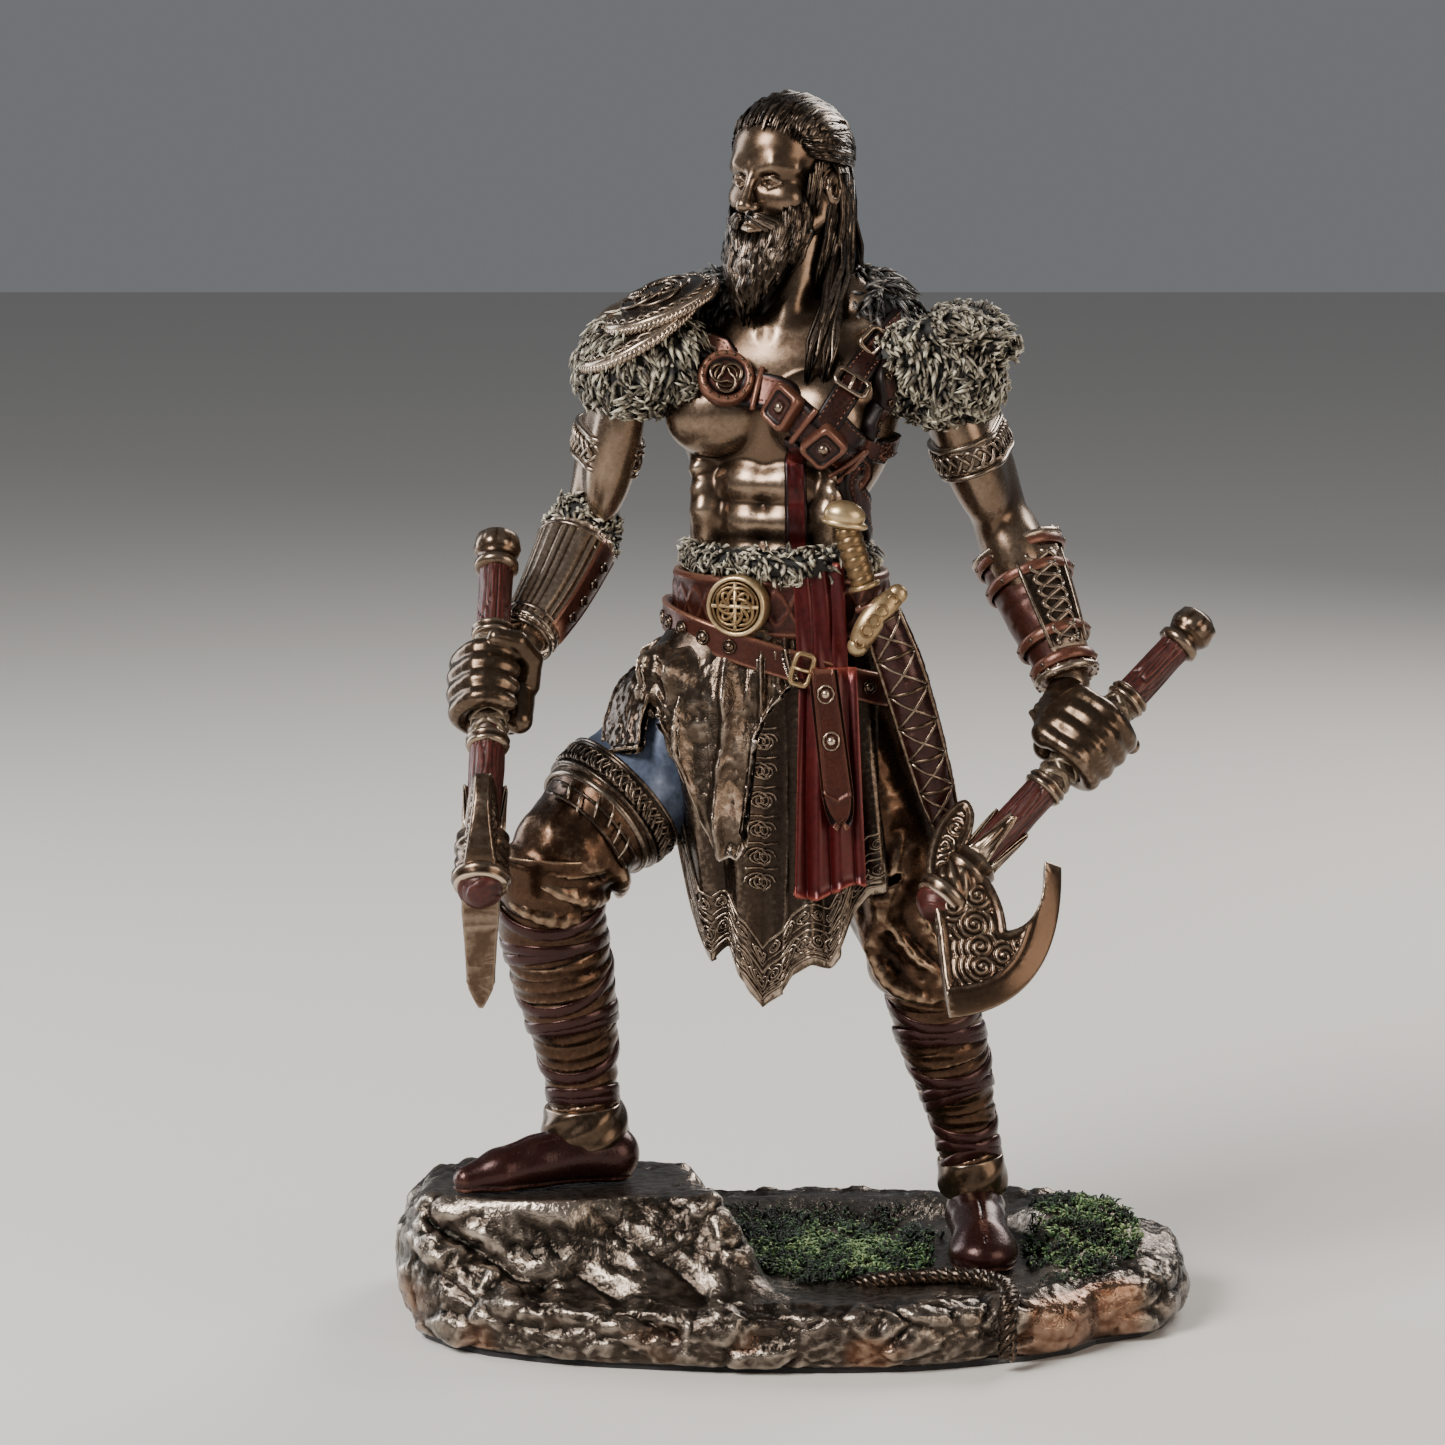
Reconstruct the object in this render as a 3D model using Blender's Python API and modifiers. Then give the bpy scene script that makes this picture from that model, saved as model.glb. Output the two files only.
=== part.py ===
"""A cold-cast bronze figurine of a viking warrior with an axe in each fist, on a rocky base.

Run it with: blender --background --python part.py
Metres, +Z up. The origin is the middle of the felt's underside. The viewer stands at -Y,
so the warrior's own right hand is at -X.
"""

import math

import bmesh
import bpy
from mathutils import Euler, Matrix, Vector, geometry, noise

# Driving sizes, in metres
FIGURE_HEIGHT = 0.281    # from the left sole to the top of the hair
BASE_LENGTH = 0.190
BASE_DEPTH = 0.113
GROUND_TOP = 0.0145      # the flat ground under the left foot, above the table
FELT_THICKNESS = 0.0012
FELT_INSET = 0.0022      # the felt's edge lies this far inside the rock's
GAP = 0.0003             # clearance between pieces that touch
AXE_LENGTH = 0.091       # from the end knob to the middle of the head
SHAFT_RADIUS = 0.0041
HEAD_REACH = 0.028       # from the shaft's axis to the cutting edge

# The pose is drawn 281 units tall, and a unit is a share of the figure's height
U = FIGURE_HEIGHT / 281.0
STEP_UP = 20.5 * U       # how much higher the right foot stands than the left

# How far each part of the warrior turns towards its own right, in degrees
HIP_TURN = -25.0
CHEST_TURN = -20.0
HEAD_TURN = -38.0

# Meshing of the cast figure
VOXEL = 0.75 * U
SMOOTH_ROUNDS = 3
FIGURE_TRIANGLES = 6300

BRONZE = (0.17, 0.115, 0.075)
STONE = (0.12, 0.10, 0.085)
WOOD = (0.20, 0.06, 0.045)
FELT = (0.012, 0.012, 0.012)


def clear_scene():
    for obj in list(bpy.data.objects):
        bpy.data.objects.remove(obj)


def material(name, colour, roughness, metallic):
    made = bpy.data.materials.new(name)
    made.use_nodes = True
    shader = made.node_tree.nodes["Principled BSDF"]
    shader.inputs["Base Color"].default_value = (*colour, 1.0)
    shader.inputs["Roughness"].default_value = roughness
    shader.inputs["Metallic"].default_value = metallic
    return made


def link(name, mesh):
    obj = bpy.data.objects.new(name, mesh)
    bpy.context.scene.collection.objects.link(obj)
    return obj


def at(x, y, z):
    """A point of the figure, in units: z counts from the ground under the left foot."""
    return Vector((x * U, y * U, GROUND_TOP + GAP + z * U))


def turned(x, y, degrees):
    """A point of the figure's own frame, turned about the vertical."""
    angle = math.radians(degrees)
    return (
        x * math.cos(angle) - y * math.sin(angle),
        x * math.sin(angle) + y * math.cos(angle),
    )


def template(make, **options):
    """The points and faces of one of Blender's unit primitives."""
    bm = bmesh.new()
    make(bm, **options)
    points = [v.co.copy() for v in bm.verts]
    faces = [tuple(v.index for v in f.verts) for f in bm.faces]
    bm.free()
    return points, faces


class Clay:
    """Collects the closed forms that are later fused into one cast figure."""

    def __init__(self):
        self.points = []
        self.faces = []
        self.unit_ball = template(bmesh.ops.create_uvsphere, u_segments=20, v_segments=14, radius=1.0)
        self.unit_drum = template(
            bmesh.ops.create_cone, cap_ends=True, segments=40, radius1=1.0, radius2=1.0, depth=1.0
        )

    def add(self, points, faces):
        first = len(self.points)
        self.points.extend(points)
        self.faces.extend(tuple(first + i for i in face) for face in faces)

    def place(self, shape, matrix):
        points, faces = shape
        self.add([matrix @ p for p in points], faces)

    def ball(self, x, y, z, rx, ry, rz, turn=0.0, tip=0.0, lean=0.0):
        """An ellipsoid: turn about the vertical, tip about X, lean about Y, in degrees."""
        rotation = Euler([math.radians(a) for a in (tip, lean, turn)]).to_matrix().to_4x4()
        size = Matrix.Diagonal((rx * U, ry * U, rz * U, 1.0))
        self.place(self.unit_ball, Matrix.Translation(at(x, y, z)) @ rotation @ size)

    def limb(self, points):
        """A round tube through (x, y, z, radius) points, with rounded ends."""
        data = bpy.data.curves.new("limb", "CURVE")
        data.dimensions = "3D"
        data.bevel_depth = U
        data.bevel_resolution = 4
        data.resolution_u = 5
        data.use_fill_caps = True
        spline = data.splines.new("BEZIER")
        spline.bezier_points.add(len(points) - 1)
        for knot, (x, y, z, radius) in zip(spline.bezier_points, points):
            knot.co = at(x, y, z)
            knot.radius = radius
            knot.handle_left_type = knot.handle_right_type = "AUTO"
        tube = link("limb", data)
        bpy.context.view_layer.update()
        graph = bpy.context.evaluated_depsgraph_get()
        mesh = bpy.data.meshes.new_from_object(tube.evaluated_get(graph))
        bpy.data.objects.remove(tube)
        bpy.data.curves.remove(data)
        welded = bmesh.new()
        welded.from_mesh(mesh)
        bmesh.ops.remove_doubles(welded, verts=welded.verts, dist=0.00001)
        self.add([v.co.copy() for v in welded.verts], [tuple(v.index for v in f.verts) for f in welded.faces])
        welded.free()
        bpy.data.meshes.remove(mesh)
        for x, y, z, radius in (points[0], points[-1]):
            self.ball(x, y, z, radius, radius, radius)

    def ring(self, centre, axis, radii, tube, turn=0.0):
        """A torus about an axis, its major circle stretched to radii (across, along), in units."""
        facing = Vector(axis).to_track_quat("Z", "Y").to_matrix()
        spin = Matrix.Rotation(math.radians(turn), 3, "Z")
        middle = at(*centre)
        around, across = 36, 10
        points = []
        for i in range(around):
            a = 2 * math.pi * i / around
            for j in range(across):
                b = 2 * math.pi * j / across
                reach = tube * math.cos(b)
                p = Vector(((radii[0] + reach) * math.cos(a), (radii[1] + reach) * math.sin(a), tube * math.sin(b)))
                points.append(middle + facing @ spin @ (p * U))
        faces = []
        for i in range(around):
            for j in range(across):
                i2, j2 = (i + 1) % around, (j + 1) % across
                faces.append((i * across + j, i2 * across + j, i2 * across + j2, i * across + j2))
        self.add(points, faces)

    def band(self, centre, axis, radii, height, turn=0.0):
        """A belt: a short elliptical drum."""
        facing = Vector(axis).to_track_quat("Z", "Y").to_matrix().to_4x4()
        spin = Matrix.Rotation(math.radians(turn), 4, "Z")
        size = Matrix.Diagonal((radii[0] * U, radii[1] * U, height * U, 1.0))
        self.place(self.unit_drum, Matrix.Translation(at(*centre)) @ facing @ spin @ size)

    def loft(self, rings):
        """Skins rings of points, first and last closed by a cap."""
        count = len(rings[0])
        faces = [tuple(range(count))[::-1]]
        for row in range(len(rings) - 1):
            for i in range(count):
                j = (i + 1) % count
                low, high = row * count, (row + 1) * count
                faces.append((low + i, low + j, high + j, high + i))
        faces.append(tuple((len(rings) - 1) * count + i for i in range(count)))
        self.add([p for ring in rings for p in ring], faces)

    def strap(self, points, width, thickness, axis=(0.0, 2.0)):
        """A flat strap through (x, y, z) points whose broad side faces away from a vertical axis."""
        path = [at(*p) for p in points]
        centre = Vector((axis[0] * U, axis[1] * U, 0.0))
        rings = []
        for i, p in enumerate(path):
            along = (path[min(i + 1, len(path) - 1)] - path[max(i - 1, 0)]).normalized()
            out = p - centre
            out.z = 0.0
            out = (out - along * out.dot(along)).normalized()
            side = along.cross(out) * width * U / 2
            half = out * thickness * U / 2
            rings.append([p - side - half, p + side - half, p + side + half, p - side + half])
        self.loft(rings)

    def fused(self, name, voxel, smooth_rounds, triangles):
        """Fuses all forms into one closed skin and reduces it to about so many triangles."""
        mesh = bpy.data.meshes.new(name)
        mesh.from_pydata(self.points, [], self.faces)
        bm = bmesh.new()
        bm.from_mesh(mesh)
        bmesh.ops.recalc_face_normals(bm, faces=bm.faces)
        bm.to_mesh(mesh)
        bm.free()
        obj = link(name, mesh)
        remesh = obj.modifiers.new("fuse", "REMESH")
        remesh.mode = "VOXEL"
        remesh.voxel_size = voxel
        soften = obj.modifiers.new("soften", "SMOOTH")
        soften.factor = 0.5
        soften.iterations = smooth_rounds
        apply_modifiers(obj)
        keep_largest(obj)
        obj.data.calc_loop_triangles()
        reduce = obj.modifiers.new("reduce", "DECIMATE")
        reduce.ratio = min(1.0, triangles / len(obj.data.loop_triangles))
        reduce.use_collapse_triangulate = True
        apply_modifiers(obj)
        return obj


def apply_modifiers(obj):
    bpy.context.view_layer.update()
    graph = bpy.context.evaluated_depsgraph_get()
    mesh = bpy.data.meshes.new_from_object(obj.evaluated_get(graph))
    old = obj.data
    obj.modifiers.clear()
    obj.data = mesh
    bpy.data.meshes.remove(old)


def keep_largest(obj):
    """Drops any small shell that fusing left sealed inside the figure."""
    bm = bmesh.new()
    bm.from_mesh(obj.data)
    unseen = set(bm.verts)
    shells = []
    while unseen:
        shell = {unseen.pop()}
        edge = list(shell)
        while edge:
            near = {e.other_vert(v) for v in edge for e in v.link_edges} & unseen
            unseen -= near
            shell |= near
            edge = list(near)
        shells.append(shell)
    largest = max(shells, key=len)
    bmesh.ops.delete(bm, geom=[v for v in bm.verts if v not in largest], context="VERTS")
    bm.to_mesh(obj.data)
    bm.free()


def boolean(obj, other, operation):
    cut = obj.modifiers.new(operation.lower(), "BOOLEAN")
    cut.operation = operation
    cut.object = other
    cut.solver = "EXACT"
    apply_modifiers(obj)
    bpy.data.objects.remove(other)


# The warrior

def head_point(x, y, z):
    """A point of the head's own frame (origin in the skull, face to -Y) in the figure's units."""
    px, py = turned(x, y, HEAD_TURN)
    return (px - 0.5, py + 3.0, z + 263.5)


def shape_head(clay):
    def ball(x, y, z, rx, ry, rz, tip=0.0):
        clay.ball(*head_point(x, y, z), rx, ry, rz, turn=HEAD_TURN, tip=tip)

    def limb(points):
        clay.limb([(*head_point(x, y, z), r) for x, y, z, r in points])

    # Skull, jaw, brow, nose, cheeks and ears, set by the usual thirds of a face
    ball(0, 2, 1.5, 12.2, 15.6, 13.6)
    ball(0, -5.5, -10, 9.4, 9.0, 11.5)
    ball(0, -12.6, 0.2, 7.6, 2.4, 1.9)
    limb([(0, -14.0, -1.6, 1.2), (0, -17.0, -9.0, 1.8)])
    for side in (-1, 1):
        ball(side * 12.4, 2.2, -5.5, 1.8, 3.0, 4.4)
        ball(side * 6.8, -10.4, -7.5, 3.2, 3.0, 2.6)
    # Moustache and beard, with locks that come to points
    limb([(-5.4, -12.4, -15.5, 2.0), (0, -14.8, -12.6, 1.9), (5.4, -12.4, -15.5, 2.0)])
    limb([(0, -8.0, -17, 9.4), (0, -11.0, -24, 8.0), (0, -13.0, -30, 5.0), (0, -14.0, -35.0, 1.6)])
    for i in range(7):
        across = -7.5 + 2.5 * i
        front = -15.0 + abs(across) * 0.55
        reach = -31.5 + abs(across) * 0.9
        limb([
            (across * 0.9, front, -17.5, 1.7),
            (across, front - 2.0, -24.0, 1.8),
            (across * 0.8, front - 1.6, reach, 0.8),
        ])
    # Hair: combed back over the crown, gathered behind, falling to the shoulder blades
    for i in range(9):
        across = -9.6 + 2.4 * i
        crown = 14.6 - 0.055 * across * across
        limb([
            (across, -10.5, crown - 6.0, 1.9),
            (across * 0.95, -3.0, crown, 2.2),
            (across * 0.9, 7.5, crown - 2.6, 2.3),
            (across * 0.7, 14.6, crown - 11.0, 2.0),
        ])
    ball(0, 10.0, 1.5, 11.2, 9.2, 11.5)
    for i in range(7):
        across = -9.0 + 3.0 * i
        limb([
            (across * 0.8, 13.0, -4.0, 3.4),
            (across * 1.1, 14.5, -17.0, 3.4),
            (across * 1.15, 15.5, -30.0, 3.0),
            (across * 0.9, 13.0, -41.0, 1.6),
        ])
    # Locks in front of the left shoulder
    clay.limb([(12.2, 2, 258, 3.0), (11.6, 0, 245, 3.0), (8.5, -7, 231, 2.8), (4.0, -14, 220, 1.5)])
    clay.limb([(13.8, 5, 256, 2.6), (13.2, 3, 242, 2.8), (11.5, -5, 229, 2.4), (8.5, -12, 219, 1.3)])
    clay.limb([(0, 4, 246, 10.2), (-1.5, 3.5, 226, 10.8)])


def chest_point(x, y, z):
    px, py = turned(x, y, CHEST_TURN)
    return (px - 1.5, py + 2.5, z)


def shape_torso(clay):
    def ball(x, y, z, rx, ry, rz, lean=0.0):
        clay.ball(*chest_point(x, y, z), rx, ry, rz, turn=CHEST_TURN, lean=lean)

    ball(0, 1.0, 208, 26.0, 16.5, 22.0)
    ball(0, 1.5, 184, 21.0, 14.5, 24.0)
    for side in (-1, 1):
        ball(side * 12.6, -11.5, 208.5, 11.8, 7.4, 9.6)
        ball(side * 22.5, 5.0, 200, 6.5, 10.5, 18.0, lean=side * 12)
        ball(side * 16.5, -4.0, 182, 6.0, 9.0, 13.0)
        for row, height in enumerate((191.0, 182.2, 173.6)):
            ball(side * 5.4, -12.2 - 0.2 * row, height, 5.2, 3.6, 4.2)
    # Shoulders and the muscles from the neck to them
    clay.limb([(-37.5, 3, 218, 10.4), (-14, 6, 229, 8.5), (0, 6, 231, 9.0), (14, 6, 228, 8.5), (36.5, 3, 214, 10.8)])


def shape_fist(clay, centre, along, wrist):
    """Four fingers and a thumb curled about a shaft that runs along a direction."""
    shaft = SHAFT_RADIUS / U
    along = Vector(along).normalized()
    to_wrist = Vector(wrist) - Vector(centre)
    to_wrist = (to_wrist - along * to_wrist.dot(along)).normalized()
    for i in range(4):
        spot = Vector(centre) + along * (4.1 * i - 6.2)
        clay.ring(spot, along, (shaft + 2.3, shaft + 2.3), 2.45)
    palm = Vector(centre) + to_wrist * 4.4
    clay.ball(*palm, 7.6, 7.6, 7.6)
    clay.limb([(*palm, 6.6), (*Vector(wrist), 6.0)])


def shape_arms(clay):
    # Right arm: hangs back, the forearm comes forward to the fist
    clay.limb([(-38, 3, 217, 9.8), (-42, 7, 201, 8.2), (-46.5, 11.5, 183, 7.4), (-47.5, 12, 178, 7.6)])
    clay.limb([(-48.5, 10, 176.5, 8.6), (-53, 0, 167.5, 8.2), (-59.5, -12, 157, 6.4), (*RIGHT_WRIST, 5.2)])
    clay.ring((-49.8, 7.0, 175.5), (-19, -33, -26), (9.0, 9.0), 3.4)
    clay.ring((-43.4, 8.6, 197.0), (-8, 9, -36), (8.2, 8.2), 1.7)
    clay.ring((-62.2, -17.0, 153.2), (-19, -33, -26), (6.0, 6.0), 1.4)
    shape_fist(clay, RIGHT_FIST, RIGHT_SHAFT, RIGHT_WRIST)
    # Left arm: held away from the side
    clay.limb([(36.5, 3, 215, 10.6), (42, 5, 197, 9.0), (49.5, 9, 183, 7.6), (54, 12, 174, 8.4)])
    clay.limb([(54.8, 12, 173, 9.0), (58.5, 7.5, 163, 9.2), (64, 0, 150, 7.4), (*LEFT_WRIST, 6.4)])
    clay.ring((42.6, 5.2, 195.5), (14, 9, -36), (9.2, 9.2), 1.9)
    clay.ring((55.6, 11.0, 170.5), (13, -17, -34), (9.4, 9.4), 1.6)
    clay.ring((67.2, -4.5, 141.5), (13, -17, -34), (6.9, 6.9), 1.5)
    shape_fist(clay, LEFT_FIST, LEFT_SHAFT, LEFT_WRIST)


def shape_mantle(clay):
    """The fur over both shoulders and behind the neck, and the two plates on the right one."""
    clay.ball(-34.5, 0.5, 219, 15.0, 15.5, 13.0, lean=-22)
    clay.ball(-23.5, -7.0, 222, 10.0, 10.0, 10.5)
    clay.ball(36.0, 1.0, 218, 16.2, 15.5, 13.5, lean=18)
    clay.ball(25.0, -4.0, 221, 11.0, 11.0, 11.0)
    clay.ball(18.5, 9.0, 231, 13.0, 9.5, 9.5, lean=24)
    clay.ball(-14.0, 11.0, 232, 13.0, 9.0, 9.0, lean=-18)
    clay.ball(0.0, 16.0, 224, 26.0, 8.5, 13.0)
    clay.ball(49.0, 0.0, 213, 5.2, 8.0, 6.0)
    clay.ball(40.5, -7.5, 228, 10.0, 6.5, 5.0, lean=20)
    # Tufts round the lower edges
    for i in range(12):
        angle = math.radians(-200 + 22 * i)
        for centre, height, wide in (((-34.5, 0.5), 207.5, 14.0), ((36.0, 1.0), 206.0, 15.5)):
            clay.limb([
                (centre[0] + wide * math.cos(angle), centre[1] + wide * math.sin(angle), height + 7, 2.8),
                (centre[0] + wide * 1.02 * math.cos(angle), centre[1] + wide * 1.02 * math.sin(angle), height - 1.5, 1.0),
            ])
    for (x, y, z), wide, lean in (((-37.5, -1.5, 226.0), 14.6, -26), ((-31.0, -1.0, 232.0), 13.4, -20)):
        clay.ball(x, y, z, wide, wide * 0.92, 4.2, lean=lean, tip=14)
        up = Euler((math.radians(14), math.radians(lean), 0)).to_matrix() @ Vector((0, 0, 1))
        clay.ring((x, y, z), up, (wide * 0.97, wide * 0.92), 1.5)


def shape_straps(clay):
    # The baldric from the right collarbone to the left flank
    clay.strap([(-19, -14, 220), (-12, -19.0, 217), (-2, -22.0, 209), (8.5, -21.0, 200), (17.5, -15.5, 190),
                (23.0, -7.0, 184), (24.5, 2.0, 180)], 9.4, 4.6)
    for x, y, z in ((-2.5, -23.0, 209.0), (7.5, -22.5, 201.0)):
        clay.ball(x, y, z, 6.0, 3.0, 5.4, turn=15, lean=40)
    clay.ball(-14.5, -19.5, 217.5, 6.4, 3.2, 6.4, turn=-20, tip=-12)
    # The second strap from the left shoulder, its tongue and the strip down to the belt
    clay.strap([(22, -12, 222), (15, -19, 213), (9, -21, 203)], 7.5, 4.0)
    clay.strap([(17, -18.5, 220), (20.5, -19.5, 212), (23.0, -18.5, 205)], 5.0, 4.0)
    clay.strap([(2.5, -18.5, 192), (3.5, -17.0, 182), (5.0, -16.8, 172)], 5.0, 3.0)
    # Dagger: mushroom pommel, bound grip, straight guard
    clay.ball(13.0, -23.0, 184.0, 4.6, 4.4, 4.2, lean=16)
    clay.limb([(14.0, -23.0, 181, 2.7), (18.0, -23.5, 166.5, 2.9)])
    clay.limb([(17.0, -25.0, 153.5, 2.0), (21.0, -24.5, 159.5, 2.4), (25.5, -22.5, 164.5, 2.0)])
    # Scabbard, down the left thigh
    clay.limb([(24.0, -22.5, 161, 5.0), (28.0, -21.0, 143, 5.2), (34.5, -16.5, 121, 4.2), (38.0, -13.0, 108, 2.8)])


def shape_waist(clay):
    level = (0.0, 0.0, 1.0)
    sloped = (0.15, 0.10, 1.0)
    clay.ball(-1.0, 2.5, 150, 26.5, 20.0, 22.0, turn=HIP_TURN)
    clay.ring((-2.0, 2.0, 170.5), level, (22.8, 18.2), 4.4, turn=HIP_TURN)
    for i in range(18):
        angle = 2 * math.pi * i / 18
        x, y = turned(22.8 * math.cos(angle), 18.2 * math.sin(angle), HIP_TURN)
        clay.ball(x * 1.13 - 2.0, y * 1.13 + 2.0, 168.5 + (i % 3 - 1), 2.6, 2.6, 3.2)
    clay.band((-1.5, 2.0, 160.5), level, (25.8, 21.2), 14.5, turn=HIP_TURN)
    clay.band((-0.5, 2.0, 150.5), sloped, (28.8, 23.2), 8.4, turn=HIP_TURN)
    clay.ball(-11.8, -20.5, 162, 6.9, 2.8, 6.9, turn=HIP_TURN)
    clay.ball(8.0, -22.8, 147.5, 3.4, 2.2, 3.6, turn=5)


FRONT_HEM = ((-36, 124), (-31, 121), (-26.5, 104), (-23.5, 89), (-21, 80), (-18, 76), (-14, 78), (-10, 72),
             (-6, 64), (1, 74), (10, 76), (15, 85), (19, 92), (28, 97), (36, 100))
BACK_HEM = ((-36, 124), (-20, 108), (-5, 100), (15, 98), (36, 100))
THIGH_SWELL = ((0.0, 0.10), (0.2, 0.32), (0.55, 0.33), (0.75, 0.05), (1.0, -0.20))


def along(line, x):
    """Straight-line interpolation in a row of (x, value) pairs."""
    for (x0, v0), (x1, v1) in zip(line, line[1:]):
        if x <= x1:
            return v0 + (v1 - v0) * (x - x0) / (x1 - x0)
    return line[-1][1]


def skirt_point(angle, share):
    """A point of the skirt's outer face, in units: share runs from the belt to the hem."""
    square = (abs(math.cos(angle)) ** 2.5 + abs(math.sin(angle)) ** 2.5) ** (-1 / 2.5)
    flare = 0.35 * share + 0.65 * share ** 2
    pleat = 1.5 * math.sin(13 * angle + 0.6) + 0.9 * math.sin(23 * angle + 2.0)
    # The raised thigh pushes the cloth out below the belt; the hem falls back under it
    round_from_thigh = (math.degrees(angle) - 220.0 + 180.0) % 360.0 - 180.0
    swell = 1.0 + math.exp(-((round_from_thigh / 30.0) ** 2)) * along(THIGH_SWELL, share)
    wide = (26.5 + 4.5 * flare) * square * swell + pleat * share
    deep = (21.5 + 6.5 * flare) * square * swell + pleat * share
    x = wide * math.cos(angle) - 0.5
    hem = along(FRONT_HEM if math.sin(angle) < 0 else BACK_HEM, x)
    return (x, deep * math.sin(angle) + 2.0, 156.0 + (hem + 1.2 * math.sin(17 * angle) - 156.0) * share)


def shape_skirt(clay):
    steps = 112
    rows = 9
    outer = []
    for row in range(rows):
        share = row / (rows - 1)
        outer.append([at(*skirt_point(-math.pi + 2 * math.pi * i / steps, share)) for i in range(steps)])
    middle = at(-0.5, 2.0, 0.0)
    under = []
    for lift, shrink in ((1.0, 0.88), (14.0, 0.72)):
        under.append([
            Vector((middle.x + (p.x - middle.x) * shrink, middle.y + (p.y - middle.y) * shrink, p.z + lift * U))
            for p in outer[-1]
        ])
    clay.loft(outer + under)
    # Cloth hanging from the belt: the red sash, the belt's tail, and the flap over the right thigh
    clay.strap([(9.5, -20.8, 152), (11.0, -24.5, 130), (11.5, -28.2, 108), (11.5, -29.0, 93)], 13.5, 3.6)
    clay.strap([(11.5, -24.0, 142), (12.0, -26.5, 128), (13.5, -29.2, 112)], 5.4, 3.4)
    clay.strap([(-31.0, -6.0, 143), (-36.5, -9.5, 138), (-40.0, -13.0, 128)], 9.5, 3.4, axis=(-30.0, 20.0))


def shape_right_leg(clay):
    clay.limb([(-12, 5, 138, 16.5), (-26, -3.5, 126, 16.8), (-42, -12, 112, 16.0)])
    clay.limb([(-40, -11.5, 114, 14.6), (-52.5, -20, 102.5, 13.4), (-56.0, -22.0, 97.0, 12.0)])
    clay.ring((-42.0, -12.5, 113.0), (-44, -29, -36), (15.2, 15.2), 1.6)
    clay.limb([(-56.5, -22, 98, 12.2), (-55.8, -19.5, 84, 12.6), (-52.8, -15.5, 68, 11.6), (-50.4, -12, 53, 9.2),
               (-49.2, -10, 41, 7.8), (-49.0, -9.5, 36, 8.6)])
    # Folds of the trouser leg below the knee, then the wound bands
    clay.ring((-56.2, -20.5, 90.5), (0.25, 0.1, 1), (12.0, 12.0), 2.2)
    for i, (height, centre, wide) in enumerate((
        (80.5, (-55.4, -18.8), 12.3), (72.0, (-53.8, -16.8), 11.8), (63.5, (-52.0, -14.6), 10.8),
        (55.0, (-50.8, -12.6), 9.6), (46.5, (-49.6, -10.8), 8.2),
    )):
        clay.ring((*centre, height), (0.28 * (-1) ** i, 0.1, 1), (wide, wide), 1.5)
    clay.ring((-48.6, -9.5, 34.5), (0.1, 0.05, 1), (9.6, 9.6), 2.4)
    # Shoe
    low = STEP_UP / U
    clay.limb([(-42.5, -11.0, low + 6.4, 7.0), (-50, -13, low + 7.5, 7.0), (-60, -17, low + 6.0, 6.2),
               (-69, -20.8, low + 4.4, 5.4), (-76.5, -23.8, low + 3.0, 3.4)])


def shape_left_leg(clay):
    clay.limb([(12, -1, 138, 17.0), (19, -2.5, 112, 16.0), (28, -3.5, 88, 14.2), (33, -2.5, 75, 13.6)])
    clay.ball(33.5, -2.5, 70.5, 14.0, 13.2, 7.2)
    clay.limb([(35.0, -1.0, 66, 10.6), (36.5, 0.5, 58, 10.4), (40.0, 3.0, 46, 9.4), (43.2, 5.5, 33, 7.4),
               (45.4, 7.0, 21, 6.8)])
    for i, (height, centre, wide) in enumerate((
        (59.5, (35.8, 0.0), 10.4), (51.0, (38.4, 2.0), 10.0), (42.5, (40.8, 3.8), 9.0), (34.0, (43.0, 5.4), 7.8),
    )):
        clay.ring((*centre, height), (0.30 * (-1) ** i, 0.1, 1), (wide, wide), 1.5)
    clay.ring((46.0, 7.0, 18.0), (0.15, 0.1, 1), (7.6, 8.0), 2.0)
    clay.limb([(46.3, 10.5, 6.4, 7.0), (46.6, 3.5, 8.5, 7.2), (47.0, -5.0, 7.2, 6.8), (47.4, -14.0, 5.2, 6.8)])
    clay.ball(47.4, -15.5, 3.8, 8.4, 9.4, 5.8)


# The axes: each runs from its end knob, through a fist, to its head
RIGHT_KNOB = (-68.9, -13.0, 171.5)
RIGHT_HEAD = (-70.2, -69.0, 108.0)
RIGHT_BLADE = (0.0, 0.75, -0.66)
LEFT_KNOB = (98.4, 1.0, 154.2)
LEFT_HEAD = (34.5, -36.0, 92.7)
LEFT_BLADE = (0.71, -0.34, -0.61)
GRIP_SHARE = 0.43        # where the fist holds the shaft, from knob to head
RIGHT_WRIST = (-63.8, -20.5, 150.5)
LEFT_WRIST = (67.6, -5.0, 140.5)


def shaft_line(knob, head):
    """The fist's middle and the shaft's direction, for a knob and a head given in units."""
    a, b = Vector(knob), Vector(head)
    return a.lerp(b, GRIP_SHARE), (b - a).normalized()


RIGHT_FIST, RIGHT_SHAFT = shaft_line(RIGHT_KNOB, RIGHT_HEAD)
LEFT_FIST, LEFT_SHAFT = shaft_line(LEFT_KNOB, LEFT_HEAD)


def axe_frame(knob, head, blade):
    """Places an axe: its own X runs from knob to head, its Y towards the cutting edge. The
    fist's middle stays where it is whatever the axe's length."""
    fist, x_axis = shaft_line(knob, head)
    y_axis = Vector(blade)
    y_axis = (y_axis - x_axis * y_axis.dot(x_axis)).normalized()
    z_axis = x_axis.cross(y_axis)
    rotation = Matrix((x_axis, y_axis, z_axis)).transposed().to_4x4()
    return Matrix.Translation(at(*fist)) @ rotation @ Matrix.Translation((-GRIP_SHARE * AXE_LENGTH, 0, 0))


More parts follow.
